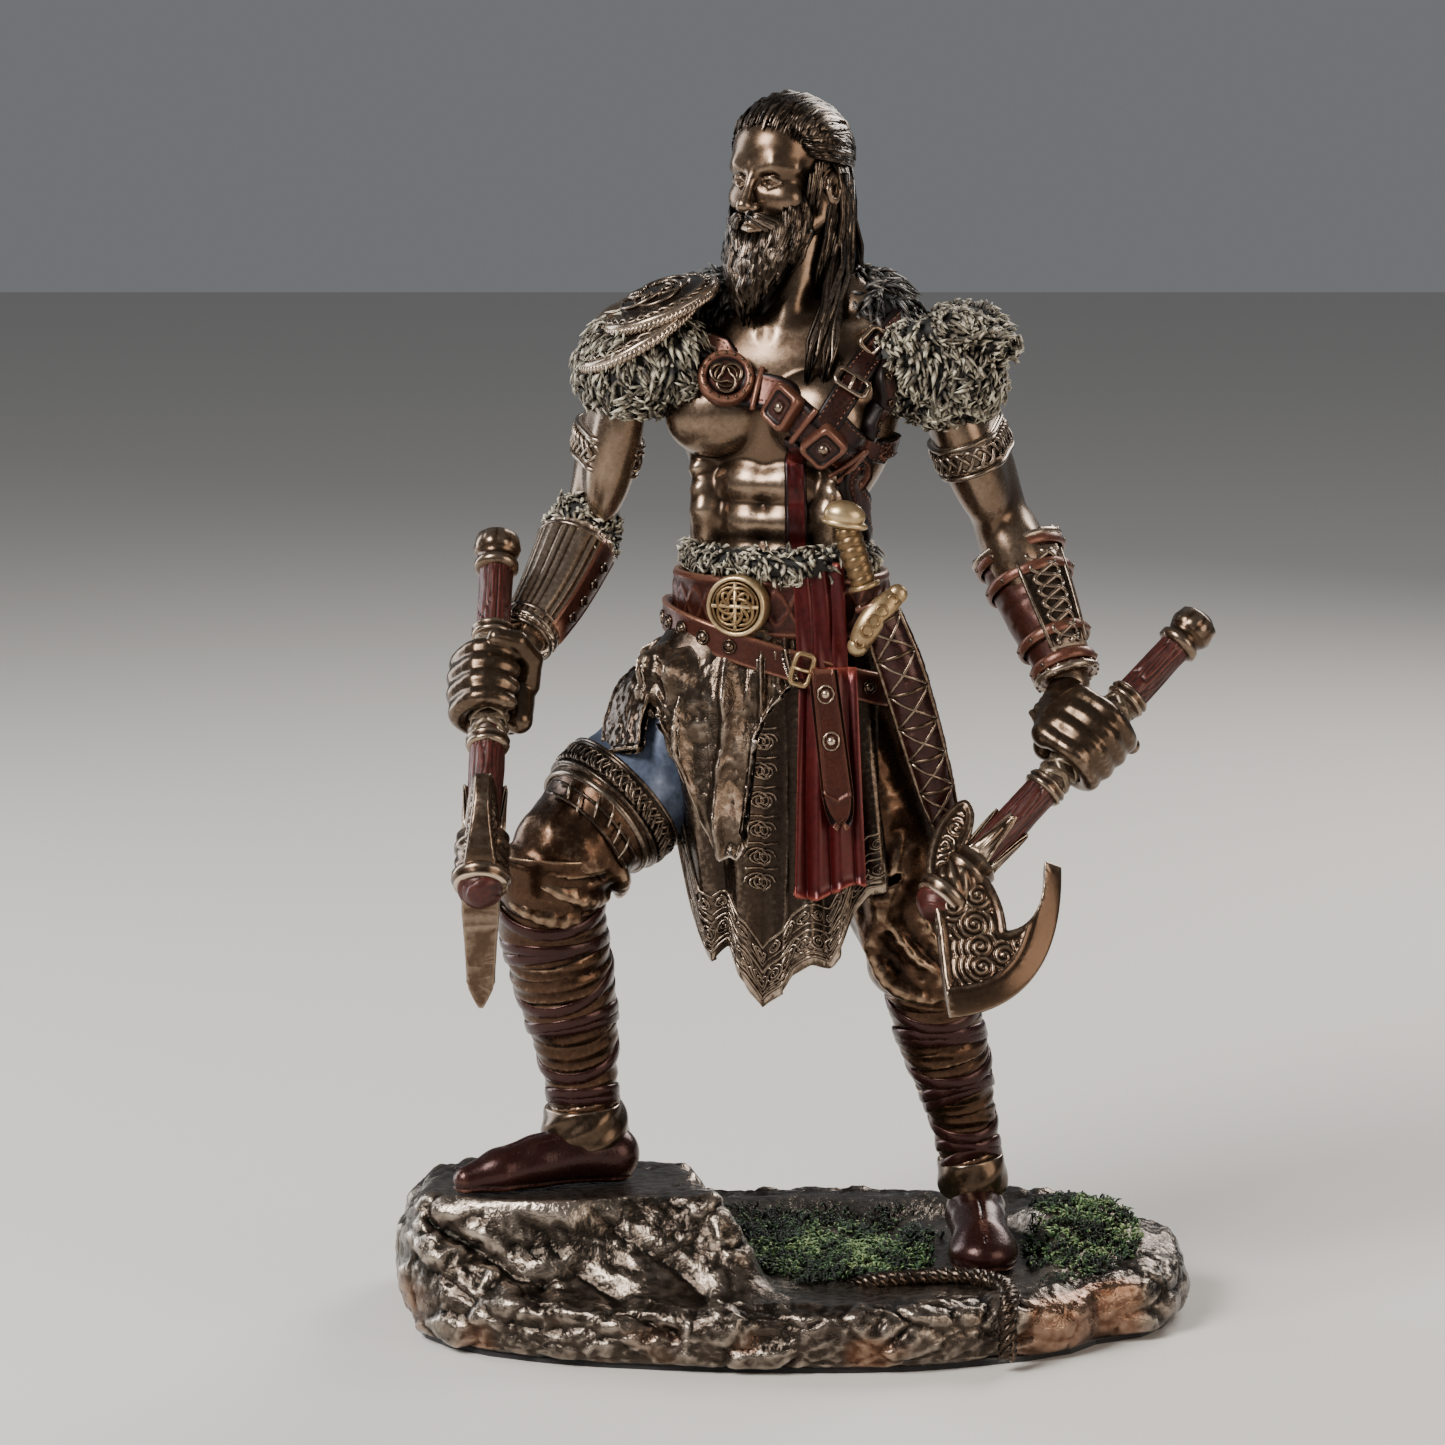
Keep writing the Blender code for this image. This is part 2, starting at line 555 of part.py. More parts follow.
def turned_profile(name, profile, steps):
    """A solid of revolution about X from (x, radius) points, knob end first."""
    mesh = bpy.data.meshes.new(name)
    mesh.from_pydata([(x, 0.0, -r) for x, r in profile], [(i, i + 1) for i in range(len(profile) - 1)], [])
    obj = link(name, mesh)
    turn = obj.modifiers.new("turn", "SCREW")
    turn.axis = "X"
    turn.steps = turn.render_steps = steps
    turn.use_merge_vertices = True
    turn.merge_threshold = 0.00002
    turn.use_normal_calculate = True
    apply_modifiers(obj)
    bm = bmesh.new()
    bm.from_mesh(obj.data)
    bmesh.ops.remove_doubles(bm, verts=bm.verts, dist=0.00001)
    bmesh.ops.recalc_face_normals(bm, faces=bm.faces)
    bm.to_mesh(obj.data)
    bm.free()
    return obj


def axe_handle(name, clearance=0.0):
    """The turned handle; with a clearance, the room it needs inside a fist."""
    r = SHAFT_RADIUS
    end = AXE_LENGTH
    wrap = GRIP_SHARE * AXE_LENGTH
    grip = 0.014
    profile = [
        (-0.0050, 0.0), (-0.0046, 0.7 * r), (-0.0030, 1.22 * r), (0.0, 1.34 * r), (0.0030, 1.16 * r),
        (0.0042, 1.28 * r), (0.0056, 1.28 * r), (0.0066, 0.94 * r),
        (wrap - grip - 0.0030, 0.94 * r), (wrap - grip - 0.0024, 1.22 * r), (wrap - grip, 1.22 * r),
        (wrap - grip + 0.0008, r), (wrap + grip - 0.0008, r), (wrap + grip, 1.22 * r),
        (wrap + grip + 0.0024, 1.22 * r), (wrap + grip + 0.0030, 0.96 * r),
        (end - 0.0130, 1.04 * r), (end - 0.0110, 1.5 * r), (end + 0.0005, 1.64 * r), (end + 0.0020, 1.5 * r),
        (end + 0.0026, 1.22 * r), (end + 0.0050, 1.05 * r), (end + 0.0066, 0.6 * r), (end + 0.0072, 0.0),
    ]
    if clearance:
        profile = [(x, radius + clearance if radius else 0.0) for x, radius in profile]
        profile[0] = (profile[0][0] - clearance, 0.0)
        profile[-1] = (profile[-1][0] + clearance, 0.0)
    return turned_profile(name, profile, 14)


def bow(first, middle, last, steps):
    """Points on the smooth bend through three, without its last."""
    a, b, c = Vector(first), Vector(middle), Vector(last)
    shares = [i / steps for i in range(steps)]
    return [a * (1 - t) * (1 - 2 * t) + b * 4 * t * (1 - t) + c * t * (2 * t - 1) for t in shares]


def axe_head(name):
    """A bearded crescent with a swept lobe behind, cut from thick plate that thins to the edge.
    The outline's points run along the shaft from the head's place, and out from its axis."""
    k = HEAD_REACH / 28.0
    edge = bow((-24.0, 15.8), (0.5, 28.6), (22.0, 20.6), 9)
    plate = [Vector((22.0, 20.6)), Vector((15.2, 12.6))]
    plate += bow((8.6, 5.6), (5.0, 1.0), (0.0, -5.5), 2) + bow((0.0, -5.5), (-5.6, -9.8), (-13.0, -12.8), 3)
    plate += bow((-13.0, -12.8), (-20.8, -12.2), (-19.5, -7.4), 4) + bow((-19.5, -7.4), (-14.8, -4.6), (-9.5, -3.4), 2)
    plate += bow((-9.5, 4.5), (-7.0, 11.2), (-2.6, 17.0), 4) + bow((-2.6, 17.0), (-11.0, 18.8), (-21.6, 12.4), 6)
    plate += [Vector((-21.6, 12.4))]
    thick = ((-14.0, 1.2), (-9.0, 2.6), (-4.0, 3.9), (4.0, 4.1), (10.0, 3.4), (17.0, 2.9), (21.0, 2.4))

    def half(reach):
        for (low, a), (high, b) in zip(thick, thick[1:]):
            if reach < high:
                return a + (b - a) * max(0.0, (reach - low) / (high - low))
        return thick[-1][1]

    corners = [(p, 0.45) for p in edge] + [(p, half(p.y)) for p in plate[1:]]
    corners.insert(len(edge), (plate[0], 0.45))
    bm = bmesh.new()
    sides = []
    for side in (1, -1):
        sides.append([bm.verts.new((AXE_LENGTH + p.x * k, p.y * k, side * z * k)) for p, z in corners])
    loop = [Vector((p.x, p.y, 0.0)) for p, _ in corners]
    for triangle in geometry.tessellate_polygon([loop]):
        for side in sides:
            bm.faces.new([side[i] for i in triangle])
    for i in range(len(corners)):
        j = (i + 1) % len(corners)
        bm.faces.new((sides[0][i], sides[0][j], sides[1][j], sides[1][i]))
    bmesh.ops.triangulate(bm, faces=bm.faces)
    bmesh.ops.recalc_face_normals(bm, faces=bm.faces)
    mesh = bpy.data.meshes.new(name)
    bm.to_mesh(mesh)
    bm.free()
    return link(name, mesh)


def make_axe(name, knob, head, blade, wood):
    axe = axe_handle(name)
    boolean(axe, axe_head(name + "_head"), "UNION")
    axe.data.transform(axe_frame(knob, head, blade))
    axe.data.materials.clear()
    axe.data.materials.append(wood)
    return axe


def handle_room(knob, head, blade):
    """What a fist and forearm give up so that the handle clears them by the gap."""
    room = axe_handle("handle_room", GAP)
    room.data.transform(axe_frame(knob, head, blade))
    return room


def cut_sole(obj, point, normal):
    """Trims everything on the far side of a plane off one shoe."""
    bm = bmesh.new()
    bm.from_mesh(obj.data)
    near = [v for v in bm.verts if (v.co - point).length < 45 * U]
    faces = [f for f in bm.faces if all(v in set(near) for v in f.verts)]
    geometry = list({v for f in faces for v in f.verts}) + list({e for f in faces for e in f.edges}) + faces
    cut = bmesh.ops.bisect_plane(bm, geom=geometry, plane_co=point, plane_no=normal, clear_inner=True)
    rim = [e for e in cut["geom_cut"] if isinstance(e, bmesh.types.BMEdge)]
    bmesh.ops.holes_fill(bm, edges=rim, sides=0)
    bmesh.ops.triangulate(bm, faces=bm.faces)
    bm.to_mesh(obj.data)
    bm.free()


def make_warrior(bronze):
    clay = Clay()
    shape_head(clay)
    shape_torso(clay)
    shape_arms(clay)
    shape_mantle(clay)
    shape_straps(clay)
    shape_waist(clay)
    shape_skirt(clay)
    shape_right_leg(clay)
    shape_left_leg(clay)
    warrior = clay.fused("warrior", VOXEL, SMOOTH_ROUNDS, FIGURE_TRIANGLES)
    cut_sole(warrior, at(47, 0, 0), Vector((0, 0, 1)))
    cut_sole(warrior, at(-58, -16, STEP_UP / U), Vector((0, 0, 1)))
    boolean(warrior, handle_room(RIGHT_KNOB, RIGHT_HEAD, RIGHT_BLADE), "DIFFERENCE")
    boolean(warrior, handle_room(LEFT_KNOB, LEFT_HEAD, LEFT_BLADE), "DIFFERENCE")
    warrior.data.materials.clear()
    warrior.data.materials.append(bronze)
    return warrior


# The base: a polar heightfield over an uneven oval

def base_outline(angle):
    """The rock's edge seen from above."""
    uneven = 1.0 + 0.025 * math.sin(3 * angle + 0.4) + 0.018 * math.sin(5 * angle + 2.1)
    for notch, deep, half in ((-38.0, 0.05, 6.0), (-59.0, 0.035, 4.0)):
        uneven -= deep * math.exp(-(((math.degrees(angle) - notch + 180) % 360 - 180) / half) ** 2)
    square = (abs(math.cos(angle)) ** 2.6 + abs(math.sin(angle)) ** 2.6) ** (-1 / 2.6)
    return Vector((BASE_LENGTH / 2 * math.cos(angle), BASE_DEPTH / 2 * math.sin(angle))) * uneven * square


def smooth_step(low, high, value):
    t = min(1.0, max(0.0, (value - low) / (high - low)))
    return t * t * (3 - 2 * t)


def ground_height(x, y):
    """Height of the sculpted ground above the table: flat, with a rock under the right foot
    and a grassy mound at the far end. Flat where the soles rest. Drawn in the figure's units."""
    x, y = x / U, y / U
    step = STEP_UP / U
    top = 1.2 * noise.noise(Vector((0.060 * x, 0.060 * y, 0.0)))
    rock = smooth_step(-10, -26, x + 0.25 * y) * smooth_step(-47, -27, y + 0.06 * x)
    rock *= 0.32 + 0.68 * smooth_step(26, 8, y)
    rock *= smooth_step(52, 40, y) * (0.4 + 0.6 * smooth_step(-97, -84, x))
    top += rock * (step + 2.2 * noise.noise(Vector((0.045 * x, 0.045 * y, 3.0))))
    top += 9.0 * math.exp(-(((x - 72) / 20) ** 2) - (((y - 12) / 24) ** 2))
    top += 2.5 * smooth_step(30, 45, y) * smooth_step(85, 60, abs(x - 10))
    for centre, half, level in (((47.0, -3.0), (15.0, 26.0), 0.0), ((-58.0, -16.5), (26.0, 15.0), step)):
        off = math.hypot((x - centre[0]) / half[0], (y - centre[1]) / half[1])
        rests = smooth_step(1.25, 1.0, off)
        top = top * (1 - rests) + level * rests
    return GROUND_TOP + top * U


def make_base(stone):
    steps = 56
    shares = (1.0, 1.015, 1.0, 0.96, 0.90, 0.82, 0.74, 0.65, 0.55, 0.43, 0.29, 0.14)
    bottom = FELT_THICKNESS + GAP
    bm = bmesh.new()
    rows = []
    for row, share in enumerate(shares):
        ring = []
        for i in range(steps):
            angle = 2 * math.pi * i / steps
            p = base_outline(angle) * share
            rim = ground_height(*(base_outline(angle) * 0.97))
            if row == 0:
                height = bottom
            elif row == 1:
                height = bottom + 0.45 * (rim - bottom)
            elif row == 2:
                height = bottom + 0.86 * (rim - bottom)
            else:
                height = ground_height(p.x, p.y)
            if 0 < row < 4:
                chip = noise.noise(Vector((p.x / U, p.y / U, 0.0)) * 0.09 + Vector((0, 0, row * 1.7)))
                p = p * (1.0 + 0.012 * chip)
            ring.append(bm.verts.new((p.x, p.y, height)))
        rows.append(ring)
    for low, high in zip(rows, rows[1:]):
        for i in range(steps):
            j = (i + 1) % steps
            bm.faces.new((low[i], low[j], high[j], high[i]))
    bm.faces.new(rows[0][::-1])
    centre = bm.verts.new((0, 0, ground_height(0, 0)))
    for i in range(steps):
        bm.faces.new((rows[-1][i], rows[-1][(i + 1) % steps], centre))
    bmesh.ops.triangulate(bm, faces=bm.faces)
    bmesh.ops.recalc_face_normals(bm, faces=bm.faces)
    mesh = bpy.data.meshes.new("rock_base")
    bm.to_mesh(mesh)
    bm.free()
    base = link("rock_base", mesh)
    mesh.materials.append(stone)
    return base


def make_felt(felt):
    """The thin felt under the base: the rock's outline drawn in by the inset."""
    steps = 40
    data = bpy.data.curves.new("felt_underside", "CURVE")
    data.dimensions = "2D"
    data.fill_mode = "BOTH"
    data.extrude = FELT_THICKNESS / 2
    spline = data.splines.new("POLY")
    spline.points.add(steps - 1)
    spline.use_cyclic_u = True
    for i, point in enumerate(spline.points):
        edge = base_outline(2 * math.pi * i / steps)
        p = edge * (1 - FELT_INSET / edge.length)
        point.co = (p.x, p.y, 0.0, 1.0)
    obj = link("felt_underside", data)
    obj.location.z = FELT_THICKNESS / 2
    data.materials.append(felt)
    return obj


def main():
    clear_scene()
    bronze = material("antique_bronze", BRONZE, 0.38, 0.85)
    stone = material("bronze_rock", STONE, 0.5, 0.6)
    wood = material("red_wood", WOOD, 0.45, 0.2)
    felt = material("black_felt", FELT, 0.95, 0.0)
    pieces = [
        make_warrior(bronze),
        make_axe("right_axe", RIGHT_KNOB, RIGHT_HEAD, RIGHT_BLADE, wood),
        make_axe("left_axe", LEFT_KNOB, LEFT_HEAD, LEFT_BLADE, wood),
        make_base(stone),
        make_felt(felt),
    ]
    group = bpy.data.collections.new("viking_warrior_statue")
    bpy.context.scene.collection.children.link(group)
    for piece in pieces:
        bpy.context.scene.collection.objects.unlink(piece)
        group.objects.link(piece)


main()
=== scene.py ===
"""Looks of the cold-cast bronze viking figurine: fine meshes and materials over its solids."""

import math
from concurrent.futures import ThreadPoolExecutor

import bpy
import numpy as np
from mathutils import Matrix
from mathutils import noise as soft_noise
from mathutils.bvhtree import BVHTree


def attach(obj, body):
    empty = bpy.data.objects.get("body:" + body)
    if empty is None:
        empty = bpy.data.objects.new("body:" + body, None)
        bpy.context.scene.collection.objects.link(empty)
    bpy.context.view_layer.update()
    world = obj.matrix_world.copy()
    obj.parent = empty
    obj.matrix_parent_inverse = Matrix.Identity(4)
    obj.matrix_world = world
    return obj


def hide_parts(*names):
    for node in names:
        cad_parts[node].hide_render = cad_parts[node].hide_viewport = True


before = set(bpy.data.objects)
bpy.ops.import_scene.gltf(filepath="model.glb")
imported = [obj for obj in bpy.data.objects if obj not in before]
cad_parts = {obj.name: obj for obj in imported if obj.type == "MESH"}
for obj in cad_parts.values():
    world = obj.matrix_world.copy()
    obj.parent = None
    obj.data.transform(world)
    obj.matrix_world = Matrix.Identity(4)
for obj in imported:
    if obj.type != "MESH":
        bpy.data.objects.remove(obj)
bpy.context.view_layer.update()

FOOT = 14.8          # mm from the table to the figure's own zero, under the left shoe
HIP_TURN = -25.0
CHEST_TURN = -20.0
HEAD_TURN = -38.0
RNG = np.random.default_rng(7)


# Vectors and noise

def vec(*values):
    return np.array(values, dtype=np.float64)


def unit(v):
    v = np.asarray(v, dtype=np.float64)
    return v / np.maximum(np.linalg.norm(v, axis=-1, keepdims=True), 1e-12)


def rot_z(degrees):
    a = math.radians(degrees)
    return np.array([[math.cos(a), -math.sin(a), 0], [math.sin(a), math.cos(a), 0], [0, 0, 1]])


def rot_x(degrees):
    a = math.radians(degrees)
    return np.array([[1, 0, 0], [0, math.cos(a), -math.sin(a)], [0, math.sin(a), math.cos(a)]])


def rot_y(degrees):
    a = math.radians(degrees)
    return np.array([[math.cos(a), 0, math.sin(a)], [0, 1, 0], [-math.sin(a), 0, math.cos(a)]])


def smooth_step(low, high, value):
    t = np.clip((value - low) / (high - low), 0.0, 1.0)
    return t * t * (3 - 2 * t)


def hump(x, centre, width):
    """A smooth rise of height 1 at a centre, gone a few widths away."""
    return np.exp(-((x - centre) / width) ** 2)


def distances(path):
    """How far along a path each of its points lies."""
    return np.concatenate([[0], np.cumsum(np.linalg.norm(np.diff(path, axis=0), axis=1))])


def squarish(angle, power):
    """The radius at an angle of a rounded square that reaches 1 along both axes."""
    return (np.abs(np.cos(angle)) ** power + np.abs(np.sin(angle)) ** power) ** (-1 / power)


def lattice(cells, seed):
    """A random value in 0..1 for each integer cell."""
    c = cells.astype(np.int64)
    h = c[..., 0] * 374761393 + c[..., 1] * 668265263 + c[..., 2] * 2147483647 + seed * 1274126177
    h = (h ^ (h >> 13)) & 0x7FFFFFFF
    h = (h * 1103515245 + 12345) & 0x7FFFFFFF
    h = (h ^ (h >> 16)) * 69069 & 0x7FFFFFFF
    return h / 2147483647.0


def noise(points, seed=0):
    """Smooth value noise in -1..1."""
    p = np.asarray(points, dtype=np.float64)
    base = np.floor(p)
    f = p - base
    f = f * f * (3 - 2 * f)
    total = 0.0
    for dx in (0, 1):
        for dy in (0, 1):
            for dz in (0, 1):
                w = (
                    (f[..., 0] if dx else 1 - f[..., 0])
                    * (f[..., 1] if dy else 1 - f[..., 1])
                    * (f[..., 2] if dz else 1 - f[..., 2])
                )
                total = total + w * lattice(base + (dx, dy, dz), seed)
    return total * 2 - 1


def fbm(points, octaves=4, seed=0, ridged=False):
    total, weight, scale = 0.0, 1.0, 1.0
    for i in range(octaves):
        n = noise(np.asarray(points) * scale, seed + i)
        total = total + weight * ((1 - 2 * np.abs(n)) if ridged else n)
        weight *= 0.5
        scale *= 2.03
    return total / 2.0


def worley(points, seed=0):
    """Distance to the nearest and second nearest scattered point, and the nearest cell's value."""
    p = np.asarray(points, dtype=np.float64)
    base = np.floor(p)
    near = np.full(p.shape[:-1], 9.0)
    second = near.copy()
    value = np.zeros_like(near)
    for dx in (-1, 0, 1):
        for dy in (-1, 0, 1):
            for dz in (-1, 0, 1):
                cell = base + (dx, dy, dz)
                spot = cell + np.stack([lattice(cell, seed + k) for k in range(3)], -1)
                d = np.linalg.norm(p - spot, axis=-1)
                closer = d < near
                second = np.where(closer, near, np.minimum(second, d))
                value = np.where(closer, lattice(cell, seed + 9), value)
                near = np.where(closer, d, near)
    return near, second, value


# Signed distances and their skins

def d_ball(p, centre, radii, turn=None):
    q = p - np.asarray(centre, np.float32)
    if turn is not None:
        q = q @ np.asarray(turn, np.float32)
    r = np.asarray(radii, np.float32)
    k0 = np.sqrt(((q / r) ** 2).sum(-1))
    k1 = np.sqrt(((q / (r * r)) ** 2).sum(-1))
    return k0 * (k0 - 1) / np.maximum(k1, 1e-6)


def d_cone(p, a, b, ra, rb):
    """A tapered rod with round ends."""
    a = np.asarray(a, np.float32)
    ab = np.asarray(b, np.float32) - a
    q = p - a
    h = np.clip((q @ ab) / max(float(ab @ ab), 1e-9), 0, 1)
    return np.linalg.norm(q - h[:, None] * ab, axis=-1) - (ra + (rb - ra) * h)


def d_chain(p, knots, blend=0.0):
    d = None
    for (ax, ay, az, ra), (bx, by, bz, rb) in zip(knots, knots[1:]):
        e = d_cone(p, (ax, ay, az), (bx, by, bz), ra, rb)
        d = e if d is None else (join(d, e, blend) if blend else np.minimum(d, e))
    return d


def d_spindle(p, a, b, r, flat=1.0, side=(1, 0, 0)):
    """A muscle from a to b, r thick, pressed to flat times that across the side direction."""
    a, b = np.asarray(a, float), np.asarray(b, float)
    along = unit(b - a)
    s = unit(np.asarray(side, float) - along * np.dot(side, along))
    t = np.cross(along, s)
    turn = np.stack([s, t, along], 1)
    return d_ball(p, (a + b) / 2, (r * flat, r, np.linalg.norm(b - a) / 2), turn)


def join(a, b, k):
    h = np.clip(0.5 + 0.5 * (b - a) / k, 0, 1)
    return b + (a - b) * h - k * h * (1 - h)


def carve(a, b, k):
    """a with b taken out."""
    return -join(-a, b, k)


def spline(knots, count):
    """Catmull-Rom through rows of numbers, count rows out, evenly along the parameter."""
    k = np.asarray(knots, float)
    k = np.vstack([2 * k[0] - k[1], k, 2 * k[-1] - k[-2]])
    t = np.linspace(0, len(k) - 3 - 1e-9, count)
    i = np.floor(t).astype(int)
    f = (t - i)[:, None]
    p0, p1, p2, p3 = k[i], k[i + 1], k[i + 2], k[i + 3]
    return 0.5 * (2 * p1 + (p2 - p0) * f + (2 * p0 - 5 * p1 + 4 * p2 - p3) * f ** 2
                  + (3 * p1 - p0 - 3 * p2 + p3) * f ** 3)


POOL = ThreadPoolExecutor(4)


def sample(field, points, chunk=60000):
    points = np.ascontiguousarray(points, np.float32)
    parts = [points[i:i + chunk] for i in range(0, len(points), chunk)]
    return np.concatenate(list(POOL.map(field, parts))) if parts else np.zeros(0, np.float32)


def skin(field, low, high, cell, block=6):
    """Points and quads where a field is zero, by surface nets; only blocks near it are filled."""
    low, high = np.asarray(low, float), np.asarray(high, float)
    blocks = np.ceil((high - low) / cell / block).astype(int)
    grid = np.indices(blocks).reshape(3, -1).T
    rough = sample(field, low + (grid * block + (block - 1) / 2) * cell)
    near = np.abs(rough) < block * cell * 1.45
    values = rough.reshape(blocks).astype(np.float32)
    for axis in range(3):
        values = np.repeat(values, block, axis)
    offsets = np.indices((block,) * 3).reshape(3, -1).T
    spots = (grid[near][:, None, :] * block + offsets[None]).reshape(-1, 3)
    values[spots[:, 0], spots[:, 1], spots[:, 2]] = sample(field, low + spots * cell)
    inside = values < 0
    total = np.zeros(np.array(inside.shape) - 1, np.uint8)
    corners = [(i, j, k) for i in (0, 1) for j in (0, 1) for k in (0, 1)]
    n = total.shape
    for i, j, k in corners:
        total += inside[i:i + n[0], j:j + n[1], k:k + n[2]]
    mixed = (total > 0) & (total < 8)
    cells = np.argwhere(mixed)
    sums = np.zeros((len(cells), 3))
    count = np.zeros(len(cells))
    at_corner = {c: values[cells[:, 0] + c[0], cells[:, 1] + c[1], cells[:, 2] + c[2]] for c in corners}
    for a in corners:
        for axis in range(3):
            if a[axis]:
                continue
            b = tuple(1 if i == axis else a[i] for i in range(3))
            va, vb = at_corner[a], at_corner[b]
            cross = (va < 0) != (vb < 0)
            t = np.where(cross, va / np.where(cross, va - vb, 1), 0)
            where = np.tile(np.array(a, float), (len(cells), 1))
            where[:, axis] += t
            sums += where * cross[:, None]
            count += cross
    points = low + (cells + sums / count[:, None]) * cell
    index = np.full(n, -1, np.int64)
    index[mixed] = np.arange(len(cells))
    quads = []
    for axis in range(3):
        u, v = [(1, 2), (2, 0), (0, 1)][axis]
        first = [slice(1, -1)] * 3
        second = [slice(1, -1)] * 3
        first[axis], second[axis] = slice(None, -1), slice(1, None)
        one, two = inside[tuple(first)], inside[tuple(second)]
        spots = np.argwhere(one != two)
        flip = ~one[tuple(spots.T)]
        base = spots.copy()
        base[:, u] += 1
        base[:, v] += 1
        around = []
        for du, dv in ((1, 1), (0, 1), (0, 0), (1, 0)):
            c = base.copy()
            c[:, u] -= du
            c[:, v] -= dv
            around.append(index[tuple(c.T)])
        q = np.stack(around, 1)
        q[flip] = q[flip][:, ::-1]
        quads.append(q)
    quads = np.concatenate(quads)
    return points, quads[(quads >= 0).all(1)]


# Meshes

def grid_faces(rows, columns, round_rows=False, round_columns=True, flip=False):
    """Quads over a grid of points; a round direction closes on itself, flip turns them over."""
    i, j = np.meshgrid(np.arange(rows if round_rows else rows - 1),
                       np.arange(columns if round_columns else columns - 1), indexing="ij")
    i2, j2 = (i + 1) % rows, (j + 1) % columns
    corners = [(i, j), (i2, j), (i2, j2), (i, j2)]
    if flip:
        corners = corners[:1] + corners[:0:-1]
    return np.stack([a * columns + b for a, b in corners], -1).reshape(-1, 4)


def rim_faces(loops, count):
    """Quads that join the edges of a sheet to its copy, count points further on."""
    return [np.stack([loop[1:], loop[:-1], loop[:-1] + count, loop[1:] + count], 1) for loop in loops]


def corner_lists(faces):
    """Flat corner indices and face starts from arrays of faces of any sizes."""
    groups = [np.asarray(f) for f in (faces if isinstance(faces, (list, tuple)) else [faces]) if len(f)]
    loops = np.concatenate([g.ravel() for g in groups])
    sizes = np.concatenate([np.full(len(g), g.shape[1]) for g in groups])
    return loops, np.concatenate([[0], np.cumsum(sizes)[:-1]])


def make(name, points, faces, finish):
    """A piece from points in the figure's millimetres."""
    loops, starts = corner_lists(faces)
    mesh = bpy.data.meshes.new(name)
    world = (np.asarray(points) + (0, 0, FOOT)) * 0.001
    mesh.vertices.add(len(world))
    mesh.vertices.foreach_set("co", world.astype(np.float32).ravel())
    mesh.loops.add(len(loops))
    mesh.loops.foreach_set("vertex_index", loops.astype(np.int32))
    mesh.polygons.add(len(starts))
    mesh.polygons.foreach_set("loop_start", starts.astype(np.int32))
    mesh.polygons.foreach_set("use_smooth", np.ones(len(starts), bool))
    mesh.update(calc_edges=True)
    mesh.validate()
    obj = bpy.data.objects.new(name, mesh)
    bpy.context.scene.collection.objects.link(obj)
    mesh.materials.append(finish)
    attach(obj, "root")
    return obj


def paint(obj, name, values):
    """Stores one number a vertex for the materials to read."""
    layer = obj.data.attributes.new(name, "FLOAT", "POINT")
    layer.data.foreach_set("value", np.asarray(values, np.float32))


def weather(obj, rounds=(3, 14), gains=(9.0, 3.2), extra=0.0):
    """Rubs the raised parts bright: writes how far each vertex stands proud of its surroundings."""
    mesh = obj.data
    count = len(mesh.vertices)
    p = np.zeros(count * 3, np.float32)
    mesh.vertices.foreach_get("co", p)
    p = p.reshape(-1, 3).astype(np.float64) * 1000
    n = np.zeros(count * 3, np.float32)
    mesh.vertex_normals.foreach_get("vector", n)
    n = n.reshape(-1, 3)
    e = np.zeros(len(mesh.edges) * 2, np.int32)
    mesh.edges.foreach_get("vertices", e)
    a, b = e[0::2], e[1::2]
    degree = np.maximum(np.bincount(a, minlength=count) + np.bincount(b, minlength=count), 1)
    soft = p.copy()
    wear_and_painted_light = np.zeros(count)
    done = 0
    for target, gain, share in zip(rounds, gains, (0.62, 0.5)):
        while done < target:
            total = np.stack([
                np.bincount(a, soft[b, k], count) + np.bincount(b, soft[a, k], count) for k in range(3)
            ], 1)
            soft = 0.35 * soft + 0.65 * total / degree[:, None]
            done += 1
        proud = ((p - soft) * n).sum(1)
        wear_and_painted_light += np.tanh(proud * gain * 0.5) * share
    paint(obj, "wear_and_painted_light", np.clip(0.5 + 0.5 * wear_and_painted_light + extra, 0, 1))
    return obj


def round_path(path, tangent, radii, sides, flat, up):
    """Rings of points round a path; flat presses them along its own up direction."""
    side = unit(np.cross(tangent, np.broadcast_to(np.asarray(up, float), path.shape)))
    top = np.cross(side, tangent)
    a = np.linspace(0, 2 * np.pi, sides, endpoint=False)
    ring = side[:, None] * np.cos(a)[None, :, None] + top[:, None] * (np.sin(a) * flat)[None, :, None]
    radii = np.broadcast_to(np.asarray(radii, float), (len(path),))
    return (path[:, None] + ring * radii[:, None, None]).reshape(-1, 3)


def tube(path, radii, sides=8, flat=1.0, up=(0, 0, 1)):
    """Points and faces of a tube along a path, closed at both ends."""
    path = np.asarray(path, float)
    tangent = unit(np.gradient(path, axis=0))
    first = np.arange(sides)
    ends = np.stack([first, first[::-1] + (len(path) - 1) * sides])
    return round_path(path, tangent, radii, sides, flat, up), [grid_faces(len(path), sides), ends]


def closed_tube(path, radii, sides=8, up=(0, 0, 1), flat=1.0):
    """A tube whose path runs round into itself."""
    path = np.asarray(path, float)
    tangent = unit(np.roll(path, -1, 0) - np.roll(path, 1, 0))
    return round_path(path, tangent, radii, sides, flat, up), [grid_faces(len(path), sides, True)]


def merge(parts):
    """Joins (points, faces) pairs into one."""
    points, groups, first = [], {}, 0
    for p, faces in parts:
        for f in (faces if isinstance(faces, (list, tuple)) else [faces]):
            f = np.asarray(f)
            if len(f):
                groups.setdefault(f.shape[1], []).append(f + first)
        points.append(p)
        first += len(p)
    return np.concatenate(points), [np.concatenate(g) for g in groups.values()]


